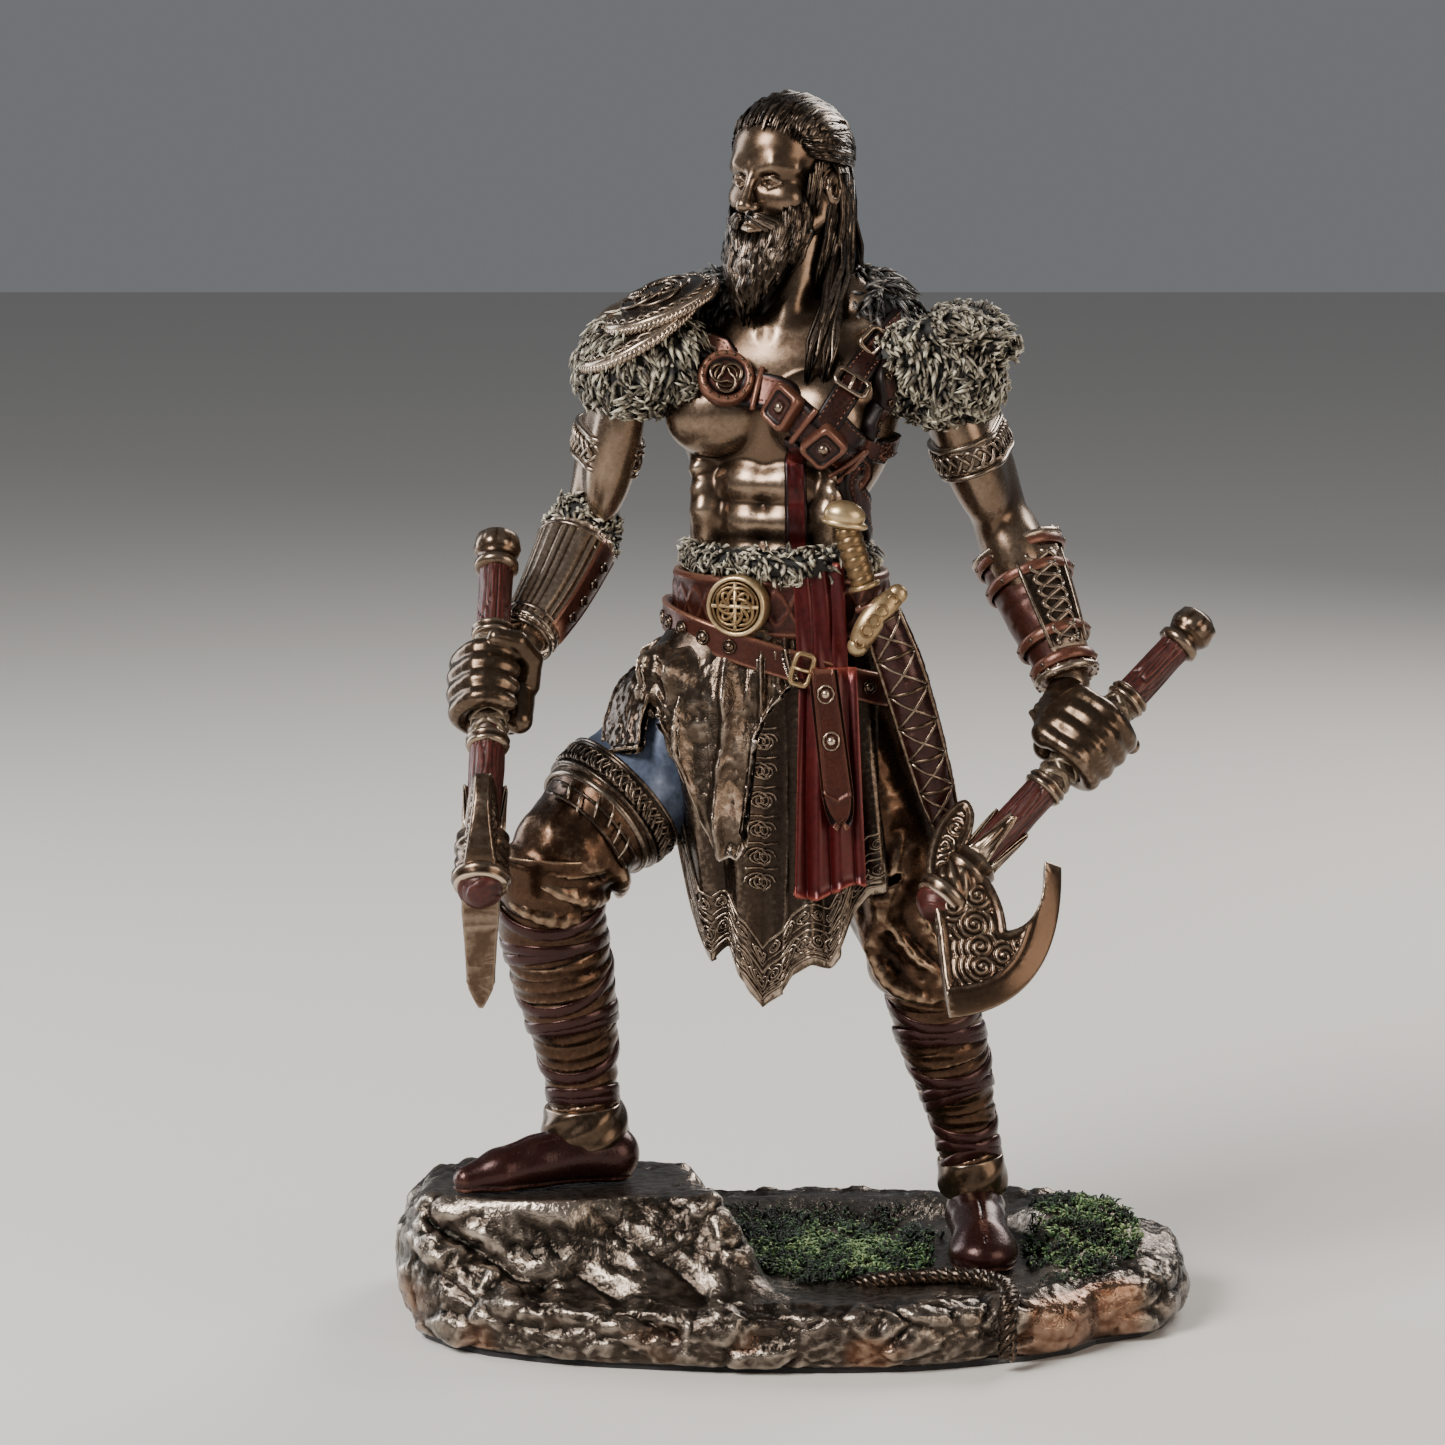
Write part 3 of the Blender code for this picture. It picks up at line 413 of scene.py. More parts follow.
def blob(centre, radii, turn=None, rings=8, sides=12):
    """A closed ellipsoid as points and faces."""
    t = np.linspace(0, np.pi, rings + 1)[1:-1]
    a = np.linspace(0, 2 * np.pi, sides, endpoint=False)
    body = np.stack([
        np.outer(np.sin(t), np.cos(a)), np.outer(np.sin(t), np.sin(a)), np.outer(np.cos(t), np.ones(sides))
    ], -1).reshape(-1, 3)
    p = np.vstack([body, [0, 0, 1], [0, 0, -1]]) * np.asarray(radii, float)
    if turn is not None:
        p = p @ np.asarray(turn).T
    rows = rings - 1
    quads = grid_faces(rows, sides)
    j = np.arange(sides)
    top = np.stack([np.full(sides, rows * sides), j, (j + 1) % sides], 1)
    low = (rows - 1) * sides
    bottom = np.stack([np.full(sides, rows * sides + 1), low + (j + 1) % sides, low + j], 1)
    return p + np.asarray(centre, float), [quads, np.vstack([top, bottom])]


def facing(direction, up=(0, 0, 1)):
    """A rotation whose third column points along a direction and second roughly up."""
    z = unit(direction)
    x = unit(np.cross(up, z))
    return np.stack([x, np.cross(z, x), z], 1)


# Materials

class Nodes:
    def __init__(self, name):
        self.material = bpy.data.materials.new(name)
        self.material.use_nodes = True
        self.tree = self.material.node_tree
        self.shader = self.tree.nodes["Principled BSDF"]

    def add(self, kind, **settings):
        node = self.tree.nodes.new(kind)
        for key, value in settings.items():
            setattr(node, key, value)
        return node

    def link(self, a, b):
        self.tree.links.new(a, b)

    def noise(self, scale, detail=4.0, rough=0.55):
        node = self.add("ShaderNodeTexNoise")
        node.inputs["Scale"].default_value = scale
        node.inputs["Detail"].default_value = detail
        node.inputs["Roughness"].default_value = rough
        coords = self.add("ShaderNodeTexCoord")
        self.link(coords.outputs["Object"], node.inputs["Vector"])
        return node.outputs["Fac"]

    def attribute(self, name):
        return self.add("ShaderNodeAttribute", attribute_name=name).outputs["Fac"]

    def math(self, operation, a, b, clamp=False):
        node = self.add("ShaderNodeMath", operation=operation, use_clamp=clamp)
        for socket, value in zip(node.inputs, (a, b)):
            if isinstance(value, (int, float)):
                socket.default_value = value
            else:
                self.link(value, socket)
        return node.outputs[0]

    def ramp(self, fac, stops):
        node = self.add("ShaderNodeValToRGB")
        while len(node.color_ramp.elements) < len(stops):
            node.color_ramp.elements.new(0.5)
        for element, (place, colour) in zip(node.color_ramp.elements, stops):
            element.position = place
            element.color = (*colour, 1.0)
        self.link(fac, node.inputs[0])
        return node.outputs[0]

    def mix(self, fac, a, b, mode="MIX"):
        node = self.add("ShaderNodeMix", data_type="RGBA", blend_type=mode)
        for socket, value in ((node.inputs[0], fac), (node.inputs[6], a), (node.inputs[7], b)):
            if isinstance(value, (int, float)):
                socket.default_value = value
            elif isinstance(value, tuple):
                socket.default_value = (*value, 1.0)
            else:
                self.link(value, socket)
        return node.outputs[2]


def worn_finish(name, dark, middle, bright, metallic=0.9, roughness=(0.42, 0.26), grain=900.0,
                bump=0.12, bump_depth=0.0002, edge=0.62, tint=None, patches=0.2, speckle=0.28):
    """Antiqued paint: dark in the hollows, its own colour between, rubbed bright where it stands proud."""
    n = Nodes(name)
    wear_and_painted_light = n.attribute("wear_and_painted_light")
    fine = n.noise(grain, 5.0)
    broad = n.noise(70.0, 3.0)
    value = n.math("ADD", wear_and_painted_light, n.math("MULTIPLY", n.math("SUBTRACT", fine, 0.5), speckle))
    value = n.math("ADD", value, n.math("MULTIPLY", n.math("SUBTRACT", broad, 0.5), patches), clamp=True)
    half = tuple(0.6 * m + 0.4 * b for m, b in zip(middle, bright))
    colour = n.ramp(value, [(0.30, dark), (0.56, middle), (edge + 0.10, half), (0.97, bright)])
    if tint is not None:
        second = n.ramp(value, [(0.25, dark), (0.50, tint[0]), (0.97, tint[1])])
        colour = n.mix(n.attribute("tint"), colour, second)
    n.link(colour, n.shader.inputs["Base Color"])
    rough = n.math("ADD", n.math("MULTIPLY", value, roughness[1] - roughness[0]), roughness[0])
    rough = n.math("ADD", rough, n.math("MULTIPLY", n.math("SUBTRACT", fine, 0.5), 0.16))
    n.link(rough, n.shader.inputs["Roughness"])
    n.shader.inputs["Metallic"].default_value = metallic
    bumps = n.add("ShaderNodeBump")
    bumps.inputs["Strength"].default_value = bump
    bumps.inputs["Distance"].default_value = bump_depth
    n.link(fine, bumps.inputs["Height"])
    n.link(bumps.outputs[0], n.shader.inputs["Normal"])
    return n.material


BRONZE = worn_finish("antique_bronze", (0.006, 0.004, 0.003), (0.095, 0.062, 0.040), (0.68, 0.53, 0.41),
                     roughness=(0.32, 0.18))
CRUMPLED = worn_finish("crumpled_bronze", (0.005, 0.004, 0.003), (0.090, 0.064, 0.046), (0.70, 0.58, 0.48),
                       roughness=(0.28, 0.15), grain=520.0, bump=0.5, bump_depth=0.0006, patches=0.1)
SKIN_BRONZE = worn_finish("skin_bronze", (0.008, 0.005, 0.004), (0.112, 0.072, 0.047), (0.76, 0.58, 0.43),
                          roughness=(0.36, 0.20), bump=0.04, patches=0.10, speckle=0.10)
DARK_BRONZE = worn_finish("dark_bronze", (0.004, 0.003, 0.0025), (0.048, 0.033, 0.024), (0.54, 0.42, 0.32),
                          roughness=(0.36, 0.2), patches=0.12)
COPPER = worn_finish("rust_bronze", (0.006, 0.003, 0.002), (0.072, 0.038, 0.022), (0.60, 0.42, 0.28),
                     roughness=(0.34, 0.2), patches=0.08)
LEATHER = worn_finish("oxblood_leather", (0.006, 0.002, 0.0015), (0.066, 0.017, 0.010), (0.34, 0.17, 0.11),
                      metallic=0.55, roughness=(0.46, 0.27), grain=1500.0, bump=0.25, edge=0.74)
BINDING = worn_finish("grip_leather", (0.004, 0.003, 0.002), (0.045, 0.028, 0.018), (0.46, 0.36, 0.25),
                      metallic=0.6, roughness=(0.45, 0.28), grain=1500.0, bump=0.2)
RED = worn_finish("crimson_cloth", (0.008, 0.0008, 0.001), (0.074, 0.005, 0.005), (0.38, 0.10, 0.07),
                  metallic=0.5, roughness=(0.42, 0.27), edge=0.72)
BLUE = worn_finish("slate_blue_cloth", (0.010, 0.011, 0.015), (0.085, 0.11, 0.17), (0.46, 0.50, 0.60),
                   metallic=0.5, roughness=(0.5, 0.34))
FUR = worn_finish("cream_fur", (0.006, 0.005, 0.004), (0.13, 0.11, 0.08), (0.92, 0.85, 0.66), metallic=0.1,
                  roughness=(0.7, 0.5), edge=0.58)
DARK_FUR = worn_finish("charcoal_fur", (0.004, 0.004, 0.004), (0.035, 0.032, 0.030), (0.30, 0.27, 0.24),
                       metallic=0.4, roughness=(0.6, 0.42))
HAIR = worn_finish("hair_bronze", (0.004, 0.003, 0.0022), (0.036, 0.025, 0.018), (0.44, 0.34, 0.26),
                   roughness=(0.34, 0.24), patches=0.1)
IVORY = worn_finish("ivory_gold", (0.012, 0.007, 0.004), (0.20, 0.125, 0.060), (0.74, 0.55, 0.31),
                    metallic=0.8, roughness=(0.42, 0.27))
RED_WOOD = worn_finish("red_wood", (0.008, 0.0025, 0.002), (0.095, 0.018, 0.012), (0.36, 0.13, 0.09),
                       metallic=0.35, roughness=(0.48, 0.32), edge=0.76)
SHOE = worn_finish("shoe_leather", (0.004, 0.0015, 0.0015), (0.036, 0.011, 0.009), (0.36, 0.18, 0.13),
                   metallic=0.6, roughness=(0.32, 0.2), grain=1300.0, bump=0.3, speckle=0.14)

AXE_BRONZE = worn_finish("axe_bronze", (0.005, 0.0035, 0.0025), (0.085, 0.052, 0.033), (0.72, 0.57, 0.43),
                         roughness=(0.33, 0.17), patches=0.1, speckle=0.12)
ROCK = worn_finish("rock_bronze", (0.006, 0.005, 0.0035), (0.062, 0.047, 0.036), (0.66, 0.55, 0.45),
                   roughness=(0.27, 0.15), grain=430.0, bump=0.7, bump_depth=0.0008, patches=0.1,
                   tint=((0.105, 0.050, 0.029), (0.60, 0.41, 0.29)))
MOSS = worn_finish("moss", (0.004, 0.008, 0.004), (0.030, 0.085, 0.022), (0.36, 0.46, 0.20), metallic=0.25,
                   roughness=(0.6, 0.42))
FELT = Nodes("black_felt")
FELT.link(FELT.ramp(FELT.noise(2600.0, 5.0), [(0.3, (0.004, 0.004, 0.004)), (0.7, (0.022, 0.022, 0.024))]),
          FELT.shader.inputs["Base Color"])
FELT.shader.inputs["Roughness"].default_value = 0.95
FELT.shader.inputs["Sheen Weight"].default_value = 0.4


# The bare body

CHEST = vec(-1.5, 2.5, 0)
CHEST_ROT = rot_z(CHEST_TURN)
RIGHT_WRIST = vec(-63.8, -20.5, 150.5)
LEFT_WRIST = vec(67.6, -5.0, 140.5)
AXE_LENGTH = 91.0
GRIP_SHARE = 0.43
SHAFT = 4.1


def chest(x, y, z):
    return CHEST + CHEST_ROT @ vec(x, y, z)


class Axe:
    """The line an axe lies on, as in the solids: X from knob to head, Y towards the edge."""

    def __init__(self, knob, head, blade):
        a, b = vec(*knob), vec(*head)
        self.fist = a + (b - a) * GRIP_SHARE
        self.x = unit(b - a)
        self.y = unit(vec(*blade) - self.x * np.dot(vec(*blade), self.x))
        self.z = np.cross(self.x, self.y)
        self.turn = np.stack([self.x, self.y, self.z], 1)
        self.start = self.fist - self.x * GRIP_SHARE * AXE_LENGTH

    def place(self, points):
        return np.asarray(points) @ self.turn.T + self.start


RIGHT_AXE = Axe((-68.9, -13.0, 171.5), (-70.2, -69.0, 108.0), (0.0, 0.75, -0.66))
LEFT_AXE = Axe((98.4, 1.0, 154.2), (34.5, -36.0, 92.7), (0.71, -0.34, -0.61))


def torso_field(p):
    def ball(x, y, z, rx, ry, rz, lean=0.0, tip=0.0, spin=0.0):
        turn = CHEST_ROT @ rot_z(spin) @ rot_y(lean) @ rot_x(tip)
        return d_ball(p, chest(x, y, z), (rx, ry, rz), turn)

    def rod(a, b, ra, rb):
        return d_cone(p, chest(*a), chest(*b), ra, rb)

    d = join(ball(0, 1.0, 207, 24.5, 15.0, 22), ball(0, 2.0, 219, 27.0, 12.5, 11.5), 7)
    d = join(d, ball(0, 2.0, 176, 19.2, 13.4, 24), 9)
    d = join(d, ball(0, 2.5, 156, 22.5, 15.5, 18), 8)
    for s in (-1, 1):
        d = join(d, ball(s * 19.5, 4.5, 202, 7.6, 10.0, 19, lean=s * 14), 4)
        d = join(d, ball(s * 15.2, -3.5, 178, 5.8, 9.0, 13.5, lean=-s * 5), 3)
        # Ribs under the arm, and the bands of muscle over them
        for i in range(4):
            d = join(d, ball(s * (17.8 - 0.9 * i), -6.2 - 0.9 * i, 197.0 - 5.0 * i, 3.0, 4.4, 1.9,
                             lean=s * 28, spin=s * 20), 4.2)
        # Chest
        d = join(d, ball(s * 12.4, -10.6, 205.6, 12.6, 8.4, 10.6, lean=s * 12, spin=-s * 8), 1.2)
        d = join(d, ball(s * 21.0, -6.5, 212.5, 7.5, 6.0, 6.5, lean=s * 25), 3)
        d = join(d, ball(s * 14.5, -17.9, 203.2, 1.4, 0.8, 1.4), 0.5)
        # Collar bones and the cords of the neck
        d = join(d, rod((s * 2.6, -9.0, 223.5), (s * 22, -2.5, 226.0), 1.2, 1.4), 3.6)
    # Hollow between the chest muscles, arch of the ribs and the line down the belly
    d = carve(d, rod((0, -18.2, 214), (0, -18.6, 199), 1.3, 1.1), 2.2)
    d = carve(d, rod((0, -16.4, 196), (0, -16.2, 168), 0.9, 0.9), 1.2)
    for s in (-1, 1):
        d = carve(d, rod((s * 2.0, -17.8, 196.5), (s * 13.5, -13.5, 190.0), 0.7, 0.7), 1.6)
    for s in (-1, 1):
        for width, deep, height, tall in ((5.6, -10.6, 188.6, 4.8), (5.7, -10.9, 179.8, 4.9),
                                          (5.4, -10.9, 170.8, 5.0)):
            d = join(d, ball(s * width, deep, height, 6.6, 3.5, tall, spin=s * 12), 2.5)
        d = carve(d, rod((s * 11.2, -13.6, 194), (s * 10.2, -13.4, 168), 0.8, 0.8), 2.0)
    # Back: the groove of the spine and the shoulder blades
    for s in (-1, 1):
        d = join(d, ball(s * 11.5, 13.0, 212, 8.5, 4.0, 11.5, lean=s * 12), 3)
        d = join(d, ball(s * 4.6, 13.5, 182, 4.0, 3.2, 20), 2.5)
    d = carve(d, rod((0, 18.2, 226), (0, 17.2, 168), 1.5, 1.5), 2.5)
    # Neck
    d = join(d, d_cone(p, chest(0, 3.5, 222), (-0.6, 3.2, 252), 10.8, 9.2), 4)
    for s in (-1, 1):
        d = join(d, d_cone(p, chest(s * 2.8, -7.6, 225.5),
                           vec(-0.5, 3, 0) + rot_z(-30) @ vec(s * 8.0, 2.2, 250), 1.3, 2.2), 4.0)
        d = join(d, rod((s * 6.5, 6, 238), (s * 24, 4.5, 226), 6.5, 5.5), 5)
    d = carve(d, ball(0, -13.4, 225.4, 1.8, 1.4, 1.8), 2.4)
    return d


def arm_fields(p):
    # Right arm
    d = d_ball(p, (-37.2, 2.5, 218.5), (10.6, 11.6, 13.2), rot_y(-12))
    d = join(d, d_spindle(p, (-37.5, -2.0, 217), (-45.0, 4.0, 178), 6.6, 0.95), 2.5)
    d = join(d, d_spindle(p, (-41.5, 8.0, 216), (-47.0, 15.0, 177), 6.3, 0.95), 2.2)
    d = join(d, d_chain(p, [(-38, 3, 217, 7.6), (-43, 7, 198, 6.6), (-47.5, 12, 178, 6.0)]), 2.5)
    d = join(d, d_chain(p, [(-47.5, 12, 178, 6.6), (-50, 6, 172, 7.6), (-58.5, -10, 158, 5.6),
                            (*RIGHT_WRIST, 4.3)]), 2.5)
    e = d_ball(p, (36.6, 2.0, 215.5), (11.2, 11.8, 13.6), rot_y(12))
    e = join(e, d_spindle(p, (36.5, -3.0, 214), (50.5, 6.0, 176), 7.4, 0.95), 2.5)
    e = join(e, d_spindle(p, (41.0, 8.0, 213), (54.5, 15.0, 174), 6.8, 0.95), 2.2)
    e = join(e, d_chain(p, [(36.5, 3, 215, 8.4), (44, 7, 195, 7.4), (54, 12, 174, 6.4)]), 2.5)
    # The crook of the elbow and the forearm's bulge above the bracer
    e = join(e, d_spindle(p, (48.5, 10.0, 184), (62, 2.0, 156), 7.8, 0.95), 2.5)
    e = join(e, d_chain(p, [(54, 12, 174, 7.4), (58.5, 7.0, 163, 8.0), (64, 0, 150, 6.0),
                            (*LEFT_WRIST, 4.8)]), 2.5)
    return np.minimum(d, e)


def fist_field(p, axe, wrist, outward):
    """Fingers curl from the knuckles on the outward side round the shaft; the thumb closes over them."""
    x = axe.x
    to_wrist = unit((wrist - axe.fist) - x * np.dot(wrist - axe.fist, x))
    out = unit(np.asarray(outward, float) - x * np.dot(outward, x) - to_wrist * np.dot(outward, to_wrist))

    def spot(along, degrees, reach):
        a = math.radians(degrees)
        return axe.fist + x * along + (to_wrist * math.cos(a) + out * math.sin(a)) * reach

    d = None
    for along, size, curl in ((-6.6, 2.25, 0), (-2.2, 2.4, 6), (2.3, 2.35, 6), (6.6, 2.1, 0)):
        reach = SHAFT + size + 0.15
        knots = [(*spot(along, t, reach + extra), r) for t, extra,
                 r in ((48 + curl, 1.9, size * 1.08), (88, 1.0, size * 1.04),
                       (118 + curl, 0.9, size * 1.08), (152, 0.2, size * 1.03), (190, 0.4, size * 1.05),
                       (228, 0.0, size * 0.96), (262, 0.0, size * 0.88))]
        f = d_chain(p, [tuple(k) for k in spline(knots, 16)], 0.8)
        d = f if d is None else join(d, f, 1.7)
    # Palm, back of the hand, wrist
    back = [(*spot(a, 34, 9.0), 3.3) for a in (-6.0, 0.0, 6.0)]
    hand = join(d_chain(p, back), d_chain(p, [(*spot(a, -20, 8.2), 3.4) for a in (-5.5, 0.0, 5.5)]), 3)
    hand = join(hand, d_cone(p, spot(0, 8, 9.5), wrist, 5.4, 4.6), 3)
    for along in (-6.4, -2.1, 2.2, 6.4):
        hand = join(hand, d_cone(p, spot(along, 50, 8.9), spot(along * 0.5, 14, 14.5), 1.25, 0.8), 1.0)
    d = join(d, hand, 2.2)
    # Thumb, towards the forefinger's side
    thumb = [(*spot(-4.0, -28, 9.4), 3.1), (*spot(-7.4, -62, 9.3), 2.7), (*spot(-8.6, -104, 8.9), 2.6),
             (*spot(-8.4, -138, 8.8), 2.15)]
    d = join(d, d_chain(p, thumb, 0.6), 0.6)
    return np.maximum(d, -(np.linalg.norm(np.cross(p - axe.fist, x), axis=-1) - SHAFT
                           - 0.12)).astype(np.float32)


def make_body():
    field = lambda p: join(torso_field(p), arm_fields(p), 3.5)
    points, quads = skin(field, (-68, -28, 137), (76, 26, 254), 0.5)
    body = weather(make("bare_body", points, quads, SKIN_BRONZE), (4, 26), (6.0, 1.6),
                   0.05)
    for name, axe, wrist, outward in (("right_hand", RIGHT_AXE, RIGHT_WRIST, vec(-1, -0.35, 0)),
                                      ("left_hand", LEFT_AXE, LEFT_WRIST, vec(1, -0.25, 0.1))):
        middle = axe.fist + (wrist - axe.fist) * 0.4
        points, quads = skin(lambda p: fist_field(p, axe, wrist, outward), middle - 20, middle + 20, 0.3)
        weather(make(name, points, quads, BRONZE), (4, 16), (6.0, 1.6), 0.02)
    return body


# Strands: hair, beard and fur

class Bundle:
    """Gathers tapered strands, each lit on its outer side, and other small forms, into one piece."""

    def __init__(self):
        self.parts = []
        self.wear_and_painted_light = []

    def strand(self, path, radii, up, flat=0.7, sides=6, shade=0.0, root=None):
        path = np.asarray(path, float)
        points, faces = tube(path, radii, sides, flat, up)
        a = np.linspace(0, 2 * np.pi, sides, endpoint=False)
        # The outer side of each strand is painted lighter and its inner side darker: partly the rubbed
        # finish, partly painted light and painted shade
        top = (0.5 + 0.5 * np.sin(a)) ** 1.4
        wear_and_painted_light = np.tile(0.10 + 0.56 * top, len(path))
        if root is not None:
            t = np.repeat(np.linspace(0, 1, len(path)), sides)
            wear_and_painted_light = root + (1.12 - root) * t ** 1.1 * (0.62 + 0.38 * np.tile(top, len(path)))
        self.parts.append((points, faces))
        self.wear_and_painted_light.append(np.clip(wear_and_painted_light + shade, 0, 1))

    def form(self, points, faces, wear_and_painted_light=0.5):
        self.parts.append((points, faces))
        self.wear_and_painted_light.append(np.broadcast_to(wear_and_painted_light, (len(points),)))

    def make(self, name, finish, slot):
        points, faces = merge(self.parts)
        obj = make(name, points, faces, finish)
        paint(obj, "wear_and_painted_light", np.concatenate(self.wear_and_painted_light))
        return obj


HEAD = vec(-0.5, 3.0, 263.5)
HEAD_ROT = rot_z(HEAD_TURN)


def head(points):
    """Points of the head's own frame placed on the figure."""
    return HEAD + np.asarray(points, float) @ HEAD_ROT.T


def in_head(points):
    """Points of the figure seen from the head's own frame."""
    return (points - HEAD.astype(np.float32)) @ HEAD_ROT.astype(np.float32)


def head_field(p):
    q = in_head(p)
    m = q * np.array([-1, 1, 1], np.float32)
    both = lambda f: np.minimum(f(q), f(m))
    d = join(d_ball(q, (0, 2.5, 2.6), (12.0, 14.8, 12.2)), d_ball(q, (0, -5.6, 4.2), (9.4, 7.2, 7.6)), 3)
    d = join(d, d_ball(q, (0, -4.6, -7), (9.3, 8.4, 10.6)), 3)
    d = join(d, both(lambda r: d_chain(r, [(9.8, 1.5, -6, 2.4), (9.2, 0.5, -12, 2.8),
                                           (5.6, -8.0, -17.8, 2.6), (0, -10.6, -18.9, 2.8)])), 3)
    d = join(d, d_ball(q, (0, -12.0, -18.4), (3.6, 2.4, 2.8)), 1.8)
    d = join(d, d_cone(q, (0, 4.5, -30), (0, 3.5, -8), 9.4, 9.0), 3)
    # Brow, sockets, cheeks
    d = join(d, both(lambda r: d_chain(r, [(1.6, -11.9, -0.4, 1.4), (5.0, -11.2, 0.6, 1.7),
                                           (8.4, -8.2, -0.2, 1.4)])), 3.0)
    d = carve(d, both(lambda r: d_ball(r, (4.7, -13.2, -3.4), (2.9, 2.1, 1.9))), 1.3)
    d = join(d, both(lambda r: d_ball(r, (7.0, -8.6, -7.4), (3.2, 2.4, 2.8), rot_z(25))), 3.2)
    # Eyes and lids
    d = np.minimum(d, both(lambda r: d_ball(r, (4.6, -10.6, -3.4), (2.0, 1.9, 1.7))))
    d = join(d, both(lambda r: d_chain(r, [(2.4, -12.1, -3.5, 0.36), (3.6, -12.6, -2.5, 0.5),
                                           (5.0, -12.5, -2.3, 0.52), (6.9, -11.2, -3.4, 0.36)])), 0.35)
    d = join(d, both(lambda r: d_chain(r, [(2.5, -12.0, -3.8, 0.34), (4.4, -12.3, -4.7, 0.42),
                                           (6.7, -11.2, -3.8, 0.34)])), 0.4)
    # Nose
    d = join(d, d_chain(q, [(0, -12.6, -0.8, 1.3), (0, -14.4, -4.6, 1.15), (0, -16.4, -8.4, 1.6)]), 1.1)
    d = join(d, d_ball(q, (0, -16.6, -9.0), (1.8, 1.6, 1.4)), 0.8)
    d = join(d, both(lambda r: d_ball(r, (1.9, -14.8, -9.3), (1.15, 1.6, 1.15))), 0.7)
    d = carve(d, both(lambda r: d_ball(r, (1.0, -15.6, -10.3), (0.55, 0.8, 0.6))), 0.4)
    # Mouth
    d = join(d, d_ball(q, (0, -11.6, -13.6), (4.6, 2.6, 3.4)), 1.6)
    d = join(d, both(lambda r: d_chain(r, [(0.5, -14.3, -12.9, 0.75), (3.3, -13.0, -13.5, 0.4)])), 0.5)
    d = join(d, both(lambda r: d_chain(r, [(0, -14.0, -14.6, 0.9), (2.9, -13.1, -14.5, 0.4)])), 0.5)
    # Ears
    d = join(d, both(lambda r: d_ball(r, (12.3, 2.6, -5.0), (1.3, 2.7, 4.2), rot_y(-8) @ rot_x(-10))), 0.8)
    d = carve(d, both(lambda r: d_ball(r, (13.5, 2.0, -4.8), (1.0, 1.5, 2.6))), 0.5)
    d = join(d, both(lambda r: d_ball(r, (12.4, 0.3, -5.4), (0.8, 0.8, 1.1))), 0.5)
    return d


def wave(t, size, turns, phase):
    return size * np.sin(2 * np.pi * (turns * t + phase)) * np.minimum(1, 3 * t)


def hair_over_crown(bundle):
    centre, radii = vec(0, 2.6, 2.4), vec(12.6, 15.6, 13.4)
    for layer in range(3):
        count = 46
        for i in range(count):
            phi = math.radians(-88 + 176 * (i + 0.33 * layer + RNG.uniform(-0.3, 0.3)) / count)
            side = abs(phi) / math.radians(88)
            start = 25 - 16 * side ** 2 + RNG.uniform(-2, 3) + 18 * layer * RNG.uniform(0, 1)
            t = np.linspace(0, 1, 16)
            theta = np.radians(start + (188 - start) * t)
            lean = phi * (1 - 0.22 * t ** 1.5) + wave(t, 0.02, 1.2, RNG.uniform())
            lift = 0.15 + 0.35 * layer + wave(t, 0.25, 1.5, RNG.uniform())
            lift = lift + 0.7 * hump(t, 0.12, 0.12) * (1 - side)
            out = np.stack([np.sin(lean), -np.cos(theta) * np.cos(lean), np.sin(theta) * np.cos(lean)], 1)
            path = centre + out * (radii + lift[:, None])
            size = 0.95 * (1 - 0.35 * t) * np.minimum(1, 0.35 + 5 * t) * RNG.uniform(0.8, 1.15)
            bundle.strand(head(path), size, out @ HEAD_ROT.T, 0.75, 6, RNG.uniform(-0.12, 0.1))


def swept_sides(bundle):
    """Hair combed back over the ears from the temples, and the sideburns that join the beard."""
    centre, radii = vec(0, 2.6, 2.4), vec(12.9, 15.6, 13.4)
    t = np.linspace(0, 1, 14)
    for side in (-1, 1):
        for i in range(84):
            k = (i + RNG.uniform(-0.8, 0.8)) / 83
            around = np.radians(46 + 18 * k ** 2 + (112 - 10 * k) * t)
            above = (np.radians(34 - 36 * k + (6 - 26 * k) * t ** 1.5 - 12 * t * (1 - k))
                     + wave(t, 0.02, 1.5, RNG.uniform()))
            out = np.stack([side * np.sin(around) * np.cos(above), -np.cos(around) * np.cos(above),
                            np.sin(above)], 1)
            path = centre + out * (radii + 0.3 + 0.5 * RNG.uniform())
            size = 0.62 * np.minimum(1, 0.3 + 5 * t) * (1 - 0.5 * t ** 4) * RNG.uniform(0.8, 1.15)
            bundle.strand(head(path), size, out @ HEAD_ROT.T, 0.8, 6, RNG.uniform(-0.12, 0.1))
        for i in range(26):
            k, fall = RNG.uniform(0, 1), RNG.uniform(0, 1)
            top = vec(side * (11.3 + 0.9 * k), -5.2 + 4.6 * k, 3.0 - 6.5 * fall)
            low = vec(side * (10.6 + 0.7 * k), -6.0 + 4.2 * k, -6.0 - 6.5 * fall)
            path = top + (low - top) * t[:, None]
            path[:, 1] -= 0.5 * np.sin(3 * t)
            bundle.strand(head(path), 0.52 * np.clip(1.1 - t ** 3, 0.2, 1) * np.minimum(1, 0.3 + 5 * t),
                          vec(side, -0.2, 0) @ HEAD_ROT.T, 0.8, 6, RNG.uniform(-0.12, 0.1))


